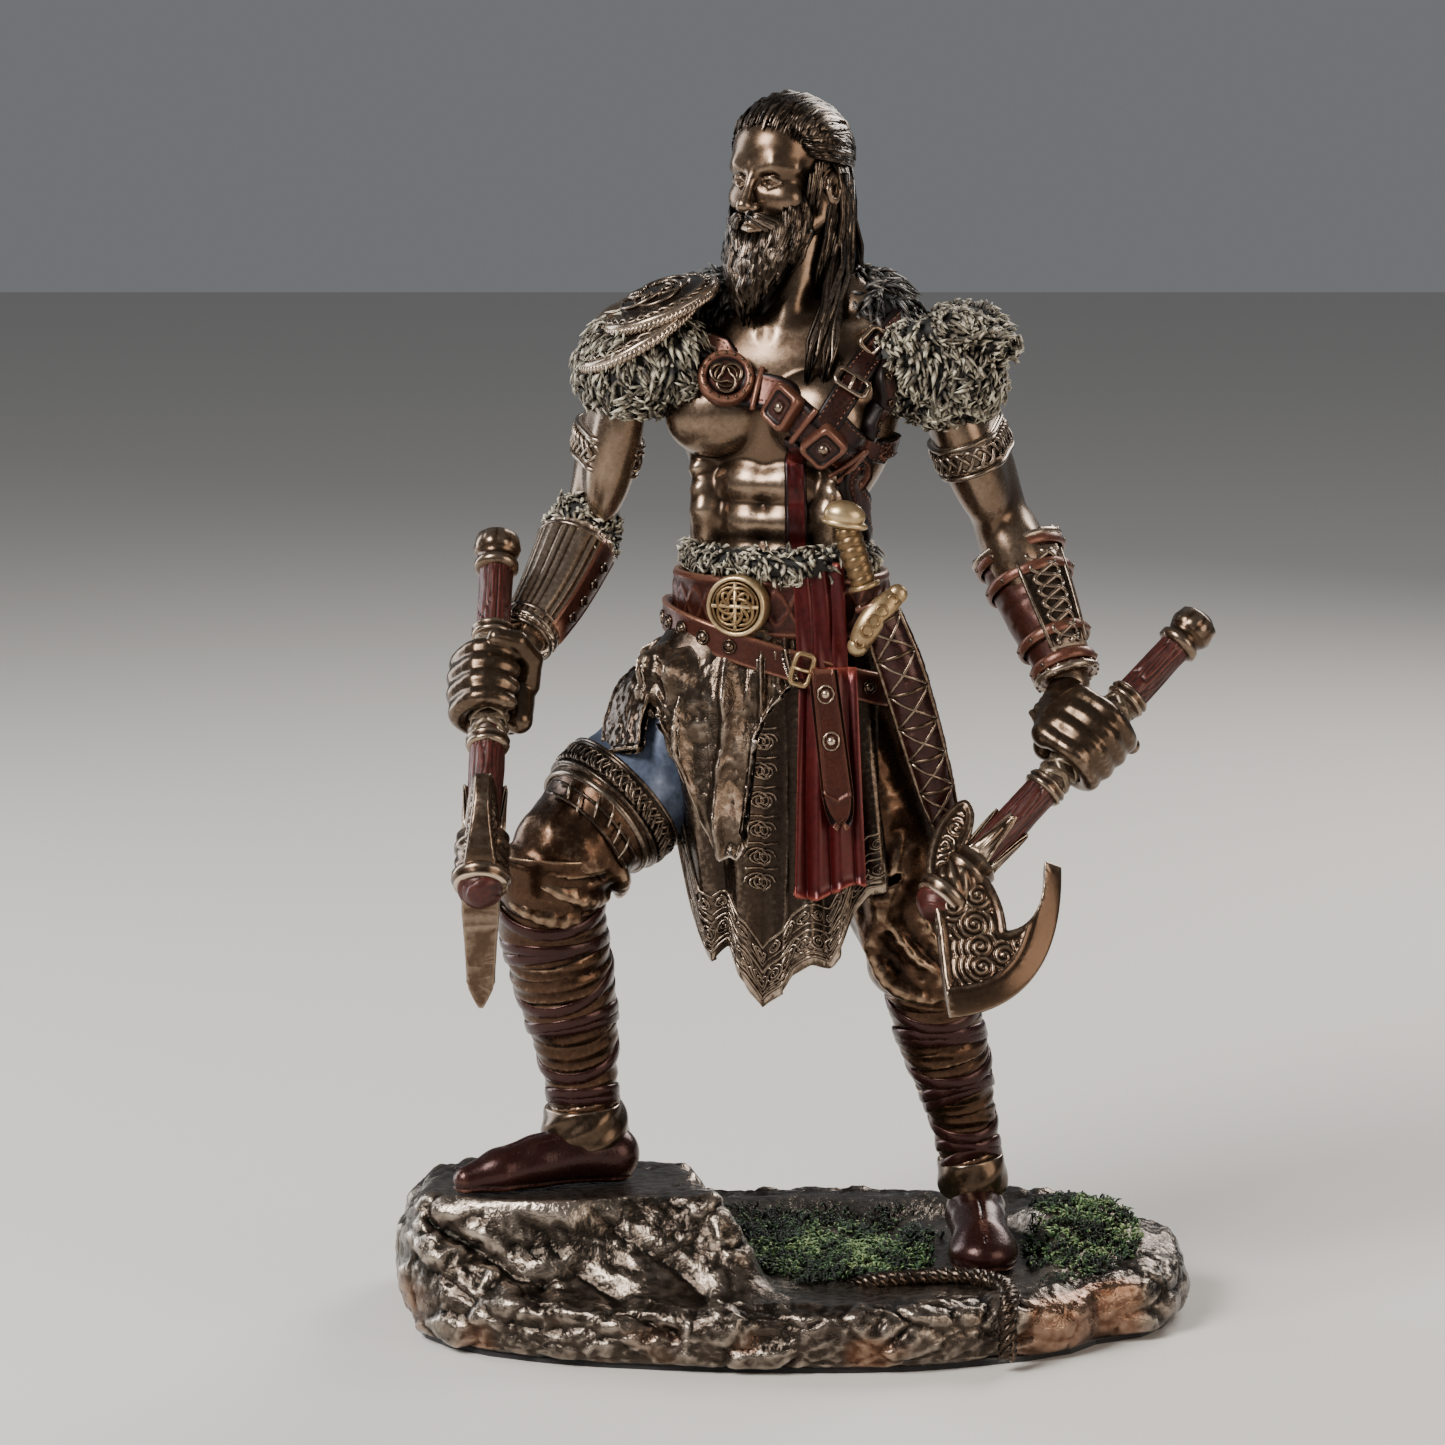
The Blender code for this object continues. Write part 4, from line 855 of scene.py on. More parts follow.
def falling_hair(bundle):
    # Down the back
    for i in range(120):
        across = -1 + 2 * (i + RNG.uniform(0, 1)) / 120
        depth = RNG.uniform(0, 1)
        knots = [(10.0 * across, 15.2 - 4.6 * across ** 2, 7.0 - 6 * depth),
                 (11.5 * across, 16.4 - 5.0 * across ** 2, -9),
                 (12.6 * across, 16.6 - 5.2 * across ** 2 + 0.8 * depth, -21),
                 (12.8 * across, 17.6 - 4.6 * across ** 2 + depth, -32),
                 (11.0 * across, 18.4 - 3.6 * across ** 2 + depth,
                  -38 - 7 * (1 - across ** 2) * RNG.uniform(0.6, 1)),]
        path = spline(knots, 18)
        t = np.linspace(0, 1, 18)
        path[:, 0] += wave(t, 0.7, 2.2, RNG.uniform())
        path[:, 1] += wave(t, 0.4, 2.0, RNG.uniform())
        up = unit(np.stack([path[:, 0] * 0.9, path[:, 1] - 2, np.zeros(18)], 1))
        bundle.strand(head(path), 1.15 * (1 - 0.65 * t ** 2), up @ HEAD_ROT.T, 0.7, 6,
                      RNG.uniform(-0.14, 0.1))
    # Behind both ears
    for side in (-1, 1):
        for i in range(16):
            k = RNG.uniform(-1, 1)
            knots = [(side * 12.2, 4.5 + 2 * k, 2), (side * 13.2, 6.5 + 2 * k, -6),
                     (side * 12.6, 6.5 + 2.4 * k, -18), (side * 12.2, 6.0 + 2.6 * k, -30)]
            path = spline(knots, 14)
            t = np.linspace(0, 1, 14)
            path[:, 1] += wave(t, 0.5, 1.8, RNG.uniform())
            up = np.tile(vec(side, 0, 0) @ HEAD_ROT.T, (14, 1))
            bundle.strand(head(path), 1.0 * (1 - 0.5 * t ** 2), up, 0.7, 6, RNG.uniform(-0.12, 0.1))
        for i in range(20):
            k = RNG.uniform(0, 1)
            knots = [(side * 12.3, 3.0 + 3 * k, -4), (side * 11.9, 0.5 + 4 * k, -13),
                     (side * 11.2, -1.5 + 4.5 * k, -22), (side * 10.2, -2.0 + 5 * k, -31)]
            path = spline(knots, 14)
            path[:, 1] += wave(t, 0.5, 1.8, RNG.uniform())
            up = np.tile(vec(side, 0, 0) @ HEAD_ROT.T, (14, 1))
            bundle.strand(head(path), 0.85 * (1 - 0.5 * t ** 2), up, 0.7, 6, RNG.uniform(-0.12, 0.1))
    # The long locks in front of the left shoulder
    guides = ([(11.8, -1, 262), (12.4, 1, 252), (11.8, -1, 243), (9.0, -9, 232), (6.0, -15.6, 222),
               (4.0, -17.5, 213)], [(13.2, 3, 260), (14.0, 4, 249), (13.0, 1, 240), (11.2, -7, 231),
                                    (9.5, -14.5, 221), (8.0, -17.5, 211)],)
    for guide, spread in zip(guides, (2.0, 2.1)):
        for i in range(15):
            a, r = RNG.uniform(0, 2 * np.pi), math.sqrt(RNG.uniform()) * spread
            path = spline(guide, 24)
            t = np.linspace(0, 1, 24)
            path[:, 0] += math.cos(a) * r * (1 - 0.6 * t ** 2) + wave(t, 0.55, 2.6, RNG.uniform())
            path[:, 1] += math.sin(a) * r * (1 - 0.6 * t ** 2)
            end = RNG.uniform(0.86, 1.0)
            bundle.strand(path, 0.95 * np.clip(1.15 - (t / end) ** 3, 0.12, 1), (0.35, -1, 0.1), 0.8, 6,
                          RNG.uniform(-0.12, 0.12))


def knot_of_hair(bundle):
    """The tied-up bulge at the back of the head."""
    centre = vec(0.8, 15.2, 4.2)
    for i in range(40):
        phi = 2 * np.pi * i / 40
        t = np.linspace(0, 1, 12)
        polar = np.radians(8 + 150 * t)
        swirl = phi + 1.3 * t
        out = np.stack([np.sin(polar) * np.cos(swirl), np.cos(polar), np.sin(polar) * np.sin(swirl)], 1)
        path = centre + out * vec(6.8, 4.6, 6.6)
        bundle.strand(head(path), 0.95 * (1 - 0.3 * t), out @ HEAD_ROT.T, 0.8, 6, RNG.uniform(-0.1, 0.1))


def beard_surface(angle, z):
    """A point of the beard's outer face in the head's frame; the angle is 0 at the front."""
    t = np.clip((-14.0 - z) / 22.0, 0, 1)
    rx = 9.9 - 1.0 * t - 7.2 * t ** 2.2
    ry = 8.6 - 1.6 * t - 5.2 * t ** 2.2
    cy = -5.4 - 7.2 * t ** 1.1
    return np.stack([rx * np.sin(angle), cy - ry * np.cos(angle), z], -1)


def beard(bundle):
    t = np.linspace(0, 1, 18)
    for layer in range(3):
        for i in range(21):
            middle = -106 + 212 * (i + 0.33 * layer + 0.2) / 21
            side = min(1.0, abs(middle) / 95)
            top = -15.4 + 10.0 * smooth_step(0.12, 0.95, side) - 4.2 * layer
            end = RNG.uniform(-38, -32) + 12 * side ** 2
            bend, turns = RNG.uniform(), RNG.uniform(1.3, 2.0)
            z = top + (min(end, top - 7) - top) * t
            for off in np.linspace(-1, 1, 7):
                a = np.radians(middle) * (1 - 0.25 * t) + math.radians(6.0) * off * (1 - 0.8 * t ** 1.6)
                a = a + wave(t, 0.075, turns, bend + 0.04 * off) * np.minimum(1, 3 * t)
                path = beard_surface(a, z)
                out = unit(path - np.stack([0 * z, -5.0 - 4 * t, z + 1.0], 1))
                proud = (0.1 + 0.4 * layer + 0.55 * (1 - off ** 2) * np.minimum(1, 3 * t)
                         + wave(t, 0.45, turns, bend + 0.3))
                path = path + out * proud[:, None]
                size = 0.74 * np.minimum(1, 0.4 + 4 * t) * (1.0 - 0.75 * t ** 2.4) * RNG.uniform(0.85, 1.15)
                bundle.strand(head(path), size, out @ HEAD_ROT.T, 0.85, 6,
                              RNG.uniform(-0.1, 0.08) - 0.1 * abs(off))
    # Moustache
    for side in (-1, 1):
        for i in range(24):
            k = i / 23
            knots = [(side * (0.3 + 0.7 * k), -15.4, -11.0 - 0.8 * k),
                     (side * (3.6 - 0.6 * k), -14.6, -11.2 - 1.6 * k),
                     (side * (7.0 - 2.4 * k), -12.0 - 0.9 * k, -12.6 - 2.6 * k),
                     (side * (9.2 - 4.0 * k), -9.6 - 2.2 * k, -17.5 - 3.0 * k)]
            path = spline(knots, 12)
            t = np.linspace(0, 1, 12)
            path += RNG.uniform(-0.25, 0.25, 3)
            bundle.strand(head(path), 0.72 * np.minimum(1, 0.5 + 3 * t) * (1 - 0.6 * t ** 3),
                          vec(0.3 * side, -1, 0) @ HEAD_ROT.T, 0.85, 6, RNG.uniform(-0.1, 0.1))
        # Eyebrows
        for i in range(12):
            k = i / 11
            a = vec(side * (1.7 + 5.0 * k), -13.7 + 2.9 * k ** 1.6, -0.2 + 0.9 * math.sin(2.4 * k))
            path = np.stack([a, a + (side * 0.9, 0.1, 0.35), a + (side * 1.8, 0.5, 0.3)])
            bundle.strand(head(path + (0, 0.5, 0)), (0.22, 0.26, 0.1), vec(0, -1, 0) @ HEAD_ROT.T, 0.8, 5,
                          0.0)


def beard_core():
    """The solid mass that the beard's strands stand on."""
    down, across = 12, 24
    count = down * across
    angles = np.linspace(-2.2, 2.2, across)
    rows = [beard_surface(angles, np.full(across, z)) for z in -15 - 20 * np.linspace(0, 1, down)]
    face = np.concatenate(rows) * (0.93, 1, 1) + (0, 0.9, 0)
    back = face * (0.6, 1, 1) + (0, 3.0, 0)
    quads = grid_faces(down, across, False, False, True)
    i, j = np.arange(down), np.arange(across)
    rim = rim_faces((j, across - 1 + across * i, count - 1 - j, across * (down - 1 - i)), count)
    return head(np.vstack([face, back])), [np.vstack([quads[:, ::-1], quads + count] + rim)]


def make_head():
    points, quads = skin(head_field, HEAD - (21, 21, 30), HEAD + (21, 21, 17), 0.3)
    obj = weather(make("head", points, quads, SKIN_BRONZE), (3, 16), (6.0, 2.2), 0.04)
    bundle = Bundle()
    core = lambda p: join(
        d_ball(in_head(p), (0, 3.4, 3.0), (12.2, 14.9, 12.6)),
        d_chain(in_head(p), [(0, 11, 2, 7.5), (0, 11.5, -12, 6.0), (0, 12.0, -30, 5.0)]), 3)
    # The forehead stays bare: the hair's core is cut away in front of the hairline
    bare = lambda p: in_head(p) @ np.array([0, -0.82, -0.57], np.float32) - 1.9
    points, quads = skin(lambda p: np.maximum(core(p), bare(p)), HEAD - (22, 22, 38), HEAD + (22, 24, 18),
                         0.6)
    bundle.form(points, [quads], 0.3)
    bundle.form(*beard_core(), 0.2)
    hair_over_crown(bundle)
    swept_sides(bundle)
    falling_hair(bundle)
    knot_of_hair(bundle)
    beard(bundle)
    bundle.make("hair_and_beard", HAIR, "antique_bronze")
    return obj


# Fur

def scatter(points, quads, spacing, keep=None):
    """Random places on a quad surface with normals, about one per square of the spacing."""
    a, b, c, d = (points[quads[:, k]] for k in range(4))
    normal = np.cross(c - a, d - b)
    area = np.linalg.norm(normal, axis=1) / 2
    count = int(area.sum() / spacing ** 2)
    pick = RNG.choice(len(quads), count, p=area / area.sum())
    u, v = RNG.uniform(size=(2, count, 1))
    spot = (a[pick] * (1 - u) + b[pick] * u) * (1 - v) + (d[pick] * (1 - u) + c[pick] * u) * v
    n = unit(normal[pick])
    if keep is not None:
        chosen = keep(spot)
        spot, n = spot[chosen], n[chosen]
    return spot, n


def fur(bundle, spots, normals, flow, length, width, lift, clump=0.55):
    """Tufts that start under a surface and follow its flow, in clumps that curl a little."""
    drift = 2.2 * np.stack([noise(spots * 0.30, 40 + k) for k in range(3)], 1)
    t = np.linspace(0, 1, 6)[:, None]
    for spot, n, f, w in zip(spots, normals, flow, drift):
        along = f + w * clump
        along = unit(along - n * np.dot(along, n))
        long = length * RNG.uniform(0.5, 0.9)
        bend = unit(RNG.normal(size=3)) * 0.45
        path = spot - n * 0.6 + long * (along * t + (n * lift) * np.sin(t * 2.6) * 0.55 + bend * t ** 2)
        radii = width * RNG.uniform(0.7, 1.15) * np.clip(1.06 - t[:, 0] ** 2.2, 0.12, 1)
        bundle.strand(path, radii, n, 0.8, 4, RNG.uniform(-0.2, 0.08), root=0.12)


def mantle_field(p):
    d = d_ball(p, (-35.5, 0.5, 216.5), (14.0, 15.0, 12.0), rot_y(-20))
    d = join(d, d_ball(p, (-27.0, -6.0, 218.5), (7.6, 8.0, 8.6)), 3)
    e = d_ball(p, (36.5, 0.5, 214.5), (14.6, 15.0, 12.0), rot_y(18))
    e = join(e, d_ball(p, (26.5, -6.0, 216.5), (9.0, 9.0, 9.5)), 3)
    return np.minimum(d, e)


def back_field(p):
    d = d_ball(p, (18.5, 8.0, 228.5), (12.6, 9.0, 9.6), rot_y(24))
    d = join(d, d_ball(p, (-14.0, 10.5, 229.0), (13.0, 8.4, 9.0), rot_y(-18)), 4)
    d = join(d, d_ball(p, (0.0, 15.5, 222.0), (26.0, 7.6, 13.0)), 4)
    d = join(d, d_ball(p, (22.0, -1.0, 229.5), (6.5, 6.0, 5.0), rot_y(20)), 3)
    return d


def make_fur():
    cream = Bundle()
    points, quads = skin(mantle_field, (-54, -20, 198), (56, 20, 234), 0.9)
    cream.form(points, [quads], 0.08)
    spots, normals = scatter(points, quads, 1.08, lambda s: (s[:, 2] < 229) & (s[:, 2] > 199))
    out = spots - np.where(spots[:, :1] < 0, vec(-33, 2, 0), vec(34, 2, 0))
    out[:, 2] = 0
    flow = unit(unit(out) * 0.45 + (0, 0, -1.0))
    fur(cream, spots, normals, flow, 5.4, 0.72, 0.8)
    # The pelt's head over the left shoulder: snout, brow and ears under the fur
    bumps = (((47.5, -4.5, 222.0), (6.4, 6.0, 4.6)), ((38.0, -9.0, 225.5), (7.0, 5.0, 4.2)),
             ((29.5, -9.5, 224.0), (4.2, 3.6, 3.4)), ((42.0, 4.0, 226.0), (9.0, 8.0, 4.2)))
    field = lambda p: np.min([d_ball(p, c, r) for c, r in bumps], 0)
    points, quads = skin(field, (20, -18, 214), (58, 16, 234), 0.8)
    cream.form(points, [quads], 0.08)
    spots, normals = scatter(points, quads, 1.10)
    flow = unit(np.stack([spots[:, 0] - 34, (spots[:, 1] + 1) * 0.8, np.full(len(spots), -5.0)], 1))
    fur(cream, spots, normals, flow, 4.6, 0.7, 0.7)
    cream.make("shoulder_fur", FUR, "antique_bronze")
    dark = Bundle()
    points, quads = skin(back_field, (-34, -10, 206), (36, 26, 242), 0.9)
    dark.form(points, [quads], 0.05)
    spots, normals = scatter(points, quads, 1.15, lambda s: s[:, 2] > 207)
    flow = unit(np.stack([spots[:, 0] * 0.35, spots[:, 1] * 0.25, np.full(len(spots), -14.0)], 1))
    fur(dark, spots, normals, flow, 7.4, 0.80, 0.55)
    dark.make("collar_fur", DARK_FUR, "antique_bronze")


# Laid-on work: sleeves with relief, ribbons draped over the body, knotwork, studs

def frames(path, up):
    """Tangent, side and top along a path, with the top carried along without twist."""
    path = np.asarray(path, float)
    tangent = unit(np.gradient(path, axis=0))
    top = unit(np.asarray(up, float) - tangent[0] * np.dot(up, tangent[0]))
    tops = [top]
    for k in range(1, len(path)):
        top = unit(top - tangent[k] * np.dot(top, tangent[k]))
        tops.append(top)
    tops = np.array(tops)
    return tangent, np.cross(tops, tangent), tops


def sleeve(knots, steps, sides):
    """A closed tube through (x, y, z, radius) knots, with its ends drawn to a point."""
    line = spline(knots, steps)
    path, radius = line[:, :3], line[:, 3]
    _, side, top = frames(path, (0, -1, 0))
    a = np.linspace(0, 2 * np.pi, sides, endpoint=False)
    ring = side[:, None] * np.cos(a)[None, :, None] + top[:, None] * np.sin(a)[None, :, None]
    points = (path[:, None] + radius[:, None, None] * ring).reshape(-1, 3)
    n = len(points)
    k = np.arange(sides)
    low = (steps - 1) * sides
    start = np.stack([np.full(sides, n), (k + 1) % sides, k], 1)
    end = np.stack([np.full(sides, n + 1), low + k, low + (k + 1) % sides], 1)
    return (np.vstack([points, path[:1], path[-1:]]),
            [grid_faces(steps, sides, flip=True), np.vstack([start, end])])


def hoop(centre, radii, height, thick, turn, rise, relief, steps, rows, power=2.5):
    """A belt round the body: rise(x, y) tilts it, relief(length, v) embosses its face."""
    a = np.linspace(0, 2 * np.pi, steps, endpoint=False)
    square = squarish(a, power)
    flat = np.stack([radii[0] * square * np.cos(a), radii[1] * square * np.sin(a), 0 * a], 1) @ rot_z(turn).T
    out = unit(np.stack([np.cos(a) / radii[0], np.sin(a) / radii[1], 0 * a], 1) @ rot_z(turn).T)
    run = distances(flat)
    v = np.linspace(-1, 1, rows)
    face = thick * (1 - 0.35 * np.abs(v) ** 6)
    deep = face[None] + relief(run[:, None], v[None])
    above = np.stack([0 * v, 0 * v, v * height / 2], 1)[None]
    outer = flat[:, None] + out[:, None] * deep[..., None] + above
    inner = flat[:, None] - out[:, None] * 0.8 + above
    loops = np.concatenate([outer, inner[:, ::-1]], 1) + np.asarray(centre, float)
    if rise is not None:
        loops[..., 2] += rise(loops[..., 0], loops[..., 1])
    return loops.reshape(-1, 3), [grid_faces(steps, 2 * rows, True)]


class Surface:
    """The body's skin as something to lay things on, in the figure's millimetres."""

    def __init__(self, mesh):
        points = np.zeros(len(mesh.vertices) * 3, np.float32)
        mesh.vertices.foreach_get("co", points)
        points = points.reshape(-1, 3) * 1000.0 - (0, 0, FOOT)
        self.tree = BVHTree.FromPolygons(points.tolist(), [tuple(f.vertices) for f in mesh.polygons])

    def nearest(self, points):
        spots, normals = [], []
        for p in np.asarray(points, float).reshape(-1, 3):
            spot, normal, _, _ = self.tree.find_nearest(p.tolist())
            spots.append(spot)
            normals.append(normal)
        return np.array(spots), np.array(normals)

    def front(self, x, z):
        """What shows from the front at a place, or None twice."""
        spot, normal, _, _ = self.tree.ray_cast((x, -90.0, z), (0, 1, 0))
        return (None, None) if spot is None else (np.array(spot), np.array(normal))


def softened(rows, rounds):
    """Rows averaged with their neighbours, the two ends held."""
    rows = rows.copy()
    for _ in range(rounds):
        rows[1:-1] = 0.25 * rows[:-2] + 0.5 * rows[1:-1] + 0.25 * rows[2:]
    return rows


def ribbon(surface, knots, width, thick, steps, across, rounds, lift, relief, tip=0.0):
    """A strap laid over a surface through rough knots; relief(s, length) embosses it, tip rounds its end.

    Returns its points and faces, its middle line, its outward and sideward directions and its face."""
    path = spline(knots, steps)
    spots, normals = surface.nearest(path)
    for k, (x, y, z) in enumerate(path):
        ahead = surface.front(x, z)
        if ahead[0] is not None and abs(ahead[0][1] - y) < 9 and ahead[1][1] < -0.45:
            spots[k], normals[k] = ahead
    centre = softened(spots, rounds)
    out = unit(softened(normals, rounds * 3))
    tangent = unit(np.gradient(centre, axis=0))
    side = unit(np.cross(tangent, out))
    out = np.cross(side, tangent)
    s = np.linspace(-1, 1, across)
    run = distances(centre)
    wide = np.full(steps, width / 2)
    if tip:
        left = run[-1] - run
        wide *= np.sqrt(np.clip(1 - np.clip(1 - left / tip, 0, 1) ** 2, 0.02, 1))
    flat = centre[:, None] + side[:, None] * (s[None, :, None] * wide[:, None, None])
    near = surface.nearest(flat)[0].reshape(flat.shape)
    height = softened(np.clip(((near - flat) * out[:, None]).sum(-1), -2.5, 2.5), rounds)
    face = thick * (1 - 0.4 * np.abs(s) ** 8)[None] + lift + relief(s[None], run[:, None])
    outer = flat + out[:, None] * (height + face)[..., None]
    inner = flat + out[:, None] * (height - 0.9)[..., None]
    loops = np.concatenate([outer, inner[:, ::-1]], 1)
    m = 2 * across
    quads = grid_faces(steps, m, flip=True)[:, ::-1]
    ends = np.stack([np.arange(m), (steps - 1) * m + np.arange(m)[::-1]])
    return (loops.reshape(-1, 3), [quads, ends]), outer[:, across // 2], out, side, outer


def stitched(parts, outer, inset=2, gap=1.5, size=0.22):
    """A row of stitches along both edges of a ribbon."""
    for column in (inset, outer.shape[1] - 1 - inset):
        line = outer[:, column]
        run = distances(line)
        for start in np.arange(gap, run[-1] - gap, gap):
            ends = [np.array([np.interp(start + d, run, line[:, k]) for k in range(3)])
                    for d in (-0.42, 0.42)]
            parts.append(tube([ends[0], 0.5 * (ends[0] + ends[1]), ends[1]], size, 5))


def turned(profile, sides, size=(1.0, 1.0), power=2.0):
    """A boss lying flat from rows of (radius, height), rounded square where the power is over 2."""
    a = np.linspace(0, 2 * np.pi, sides, endpoint=False)
    x, y = size[0] * squarish(a, power) * np.cos(a), size[1] * squarish(a, power) * np.sin(a)
    rows = [np.stack([r * x, r * y, 0 * a + z], 1) for r, z in profile]
    return np.concatenate(rows), [grid_faces(len(profile), sides)]


def square_ring(centre, along, side, out, length, width, radius):
    """The wire frame of a square buckle."""
    a = np.linspace(0, 2 * np.pi, 56, endpoint=False)
    square = squarish(a, 5)
    path = (centre + along * (length / 2 * square * np.cos(a))[:, None]
            + side * (width / 2 * square * np.sin(a))[:, None])
    return closed_tube(path, radius, 8, out)


def stud(centre, out, radius, high=0.6):
    return blob(centre, (radius, radius, radius * high), facing(out, (0.1, 0.2, 1)), 6, 12)


def torus_knot(p, q, radius, swing, weave, count=240):
    """An endless interlaced line lying flat: x, y and the over-and-under height."""
    t = np.linspace(0, 2 * np.pi, count, endpoint=False)
    r = radius * (1 + swing * np.cos(q * t))
    return np.stack([r * np.cos(p * t), r * np.sin(p * t), weave * np.sin(q * t)], 1)


def ring_round(centre, axis, radii, tube_radius, turn=0.0, count=72):
    basis = facing(axis, (0.13, 0.2, 1)) @ rot_z(turn)
    a = np.linspace(0, 2 * np.pi, count, endpoint=False)
    path = (np.asarray(centre, float) + np.stack([radii[0] * np.cos(a), radii[1] * np.sin(a), 0 * a], 1)
            @ basis.T)
    return closed_tube(path, tube_radius, 10, basis[:, 2])


def dress(parts, name, finish, rounds=(3, 12), gains=(8.0, 1.4), extra=0.0):
    points, faces = merge(parts)
    return weather(make(name, points, faces, finish), rounds, gains, extra)


# Shoulder plates

PLATE_OVAL = 0.94            # a shoulder plate's width over its length


def plate(bundle, centre, normal, radius, dome, seed):
    """A domed round plate; returns the way to place things on it and its turn."""
    turn = facing(normal, (0.2, -1, 0.1))
    rings, sides = 34, 140
    r = np.linspace(0.02, 1, rings)[:, None]
    a = np.linspace(0, 2 * np.pi, sides, endpoint=False)[None]
    high = dome * (1 - r ** 2) + 0 * a
    high = high + 0.5 * hump(r, 0.95, 0.04) + 0.35 * hump(r, 0.80, 0.02)
    high = high + 0.16 * fbm(np.stack([8 * r * np.cos(a), 8 * r * np.sin(a), 0 * r * a + seed], -1), 3, 5)
    top = np.stack([radius * r * np.cos(a), radius * PLATE_OVAL * r * np.sin(a), high], -1).reshape(-1, 3)
    under = np.stack([radius * 0.97 * r * np.cos(a), radius * 0.91 * r * np.sin(a), high - 1.6],
                     -1).reshape(-1, 3)
    quads = grid_faces(rings, sides)
    n, k = rings * sides, np.arange(sides)
    last, after = n - sides + k, n - sides + (k + 1) % sides
    rim = np.stack([last, n + last, n + after, after], 1)
    hub = np.stack([k[::-1], n + k])
    points = np.asarray(centre) + np.vstack([top, under]) @ turn.T
    bundle.append((points, [np.vstack([quads, quads[:, ::-1] + n, rim]), hub]))

    def on(flat, lift=0.0):
        rr = np.linalg.norm(flat[:, :2] / (radius, radius * PLATE_OVAL), axis=1)
        z = dome * (1 - rr ** 2) + flat[:, 2] + lift
        return np.asarray(centre) + np.stack([flat[:, 0], flat[:, 1], z], 1) @ turn.T

    return on, turn


def make_plates():
    parts = []
    for centre, normal, radius, seed in (((-35.8, -2.0, 225.6), (-0.50, -0.22, 0.84), 16.6, 1),
                                         ((-30.6, -1.6, 231.4), (-0.36, -0.20, 0.91), 14.6, 4)):
        on, turn = plate(parts, centre, normal, radius, 3.6, seed)
        up = turn[:, 2]
        for p, q, size, swing in ((3, 4, radius * 0.42, 0.42), (1, 8, radius * 0.30, 0.22)):
            knot = torus_knot(p, q, size, swing, 0.28, 320)
            parts.append(closed_tube(on(knot, 0.25), 0.42, 7, up))
        a = np.linspace(0, 2 * np.pi, 300, endpoint=False)
        for k in range(2):
            wob = radius * (0.88 + 0.035 * np.sin(15 * a + np.pi * k))
            high = 0.25 * np.cos(15 * a + np.pi * k)
            rope = np.stack([wob * np.cos(a), wob * PLATE_OVAL * np.sin(a), high], 1)
            parts.append(closed_tube(on(rope, 0.3), 0.36, 6, up))
        twist = np.linspace(0, 2 * np.pi, 420, endpoint=False)
        for k in range(2):
            wob = radius * (1.0 + 0.02 * np.cos(40 * twist + np.pi * k))
            parts.append(closed_tube(on(np.stack([wob * np.cos(twist), wob * PLATE_OVAL * np.sin(twist),
                                                  -0.9 + 0.5 * np.sin(40 * twist + np.pi * k)], 1)), 0.55,
                                     6, up))
    return dress(parts, "shoulder_plates", DARK_BRONZE, (3, 12), (4.0, 1.6), 0.02)


# Straps over the chest

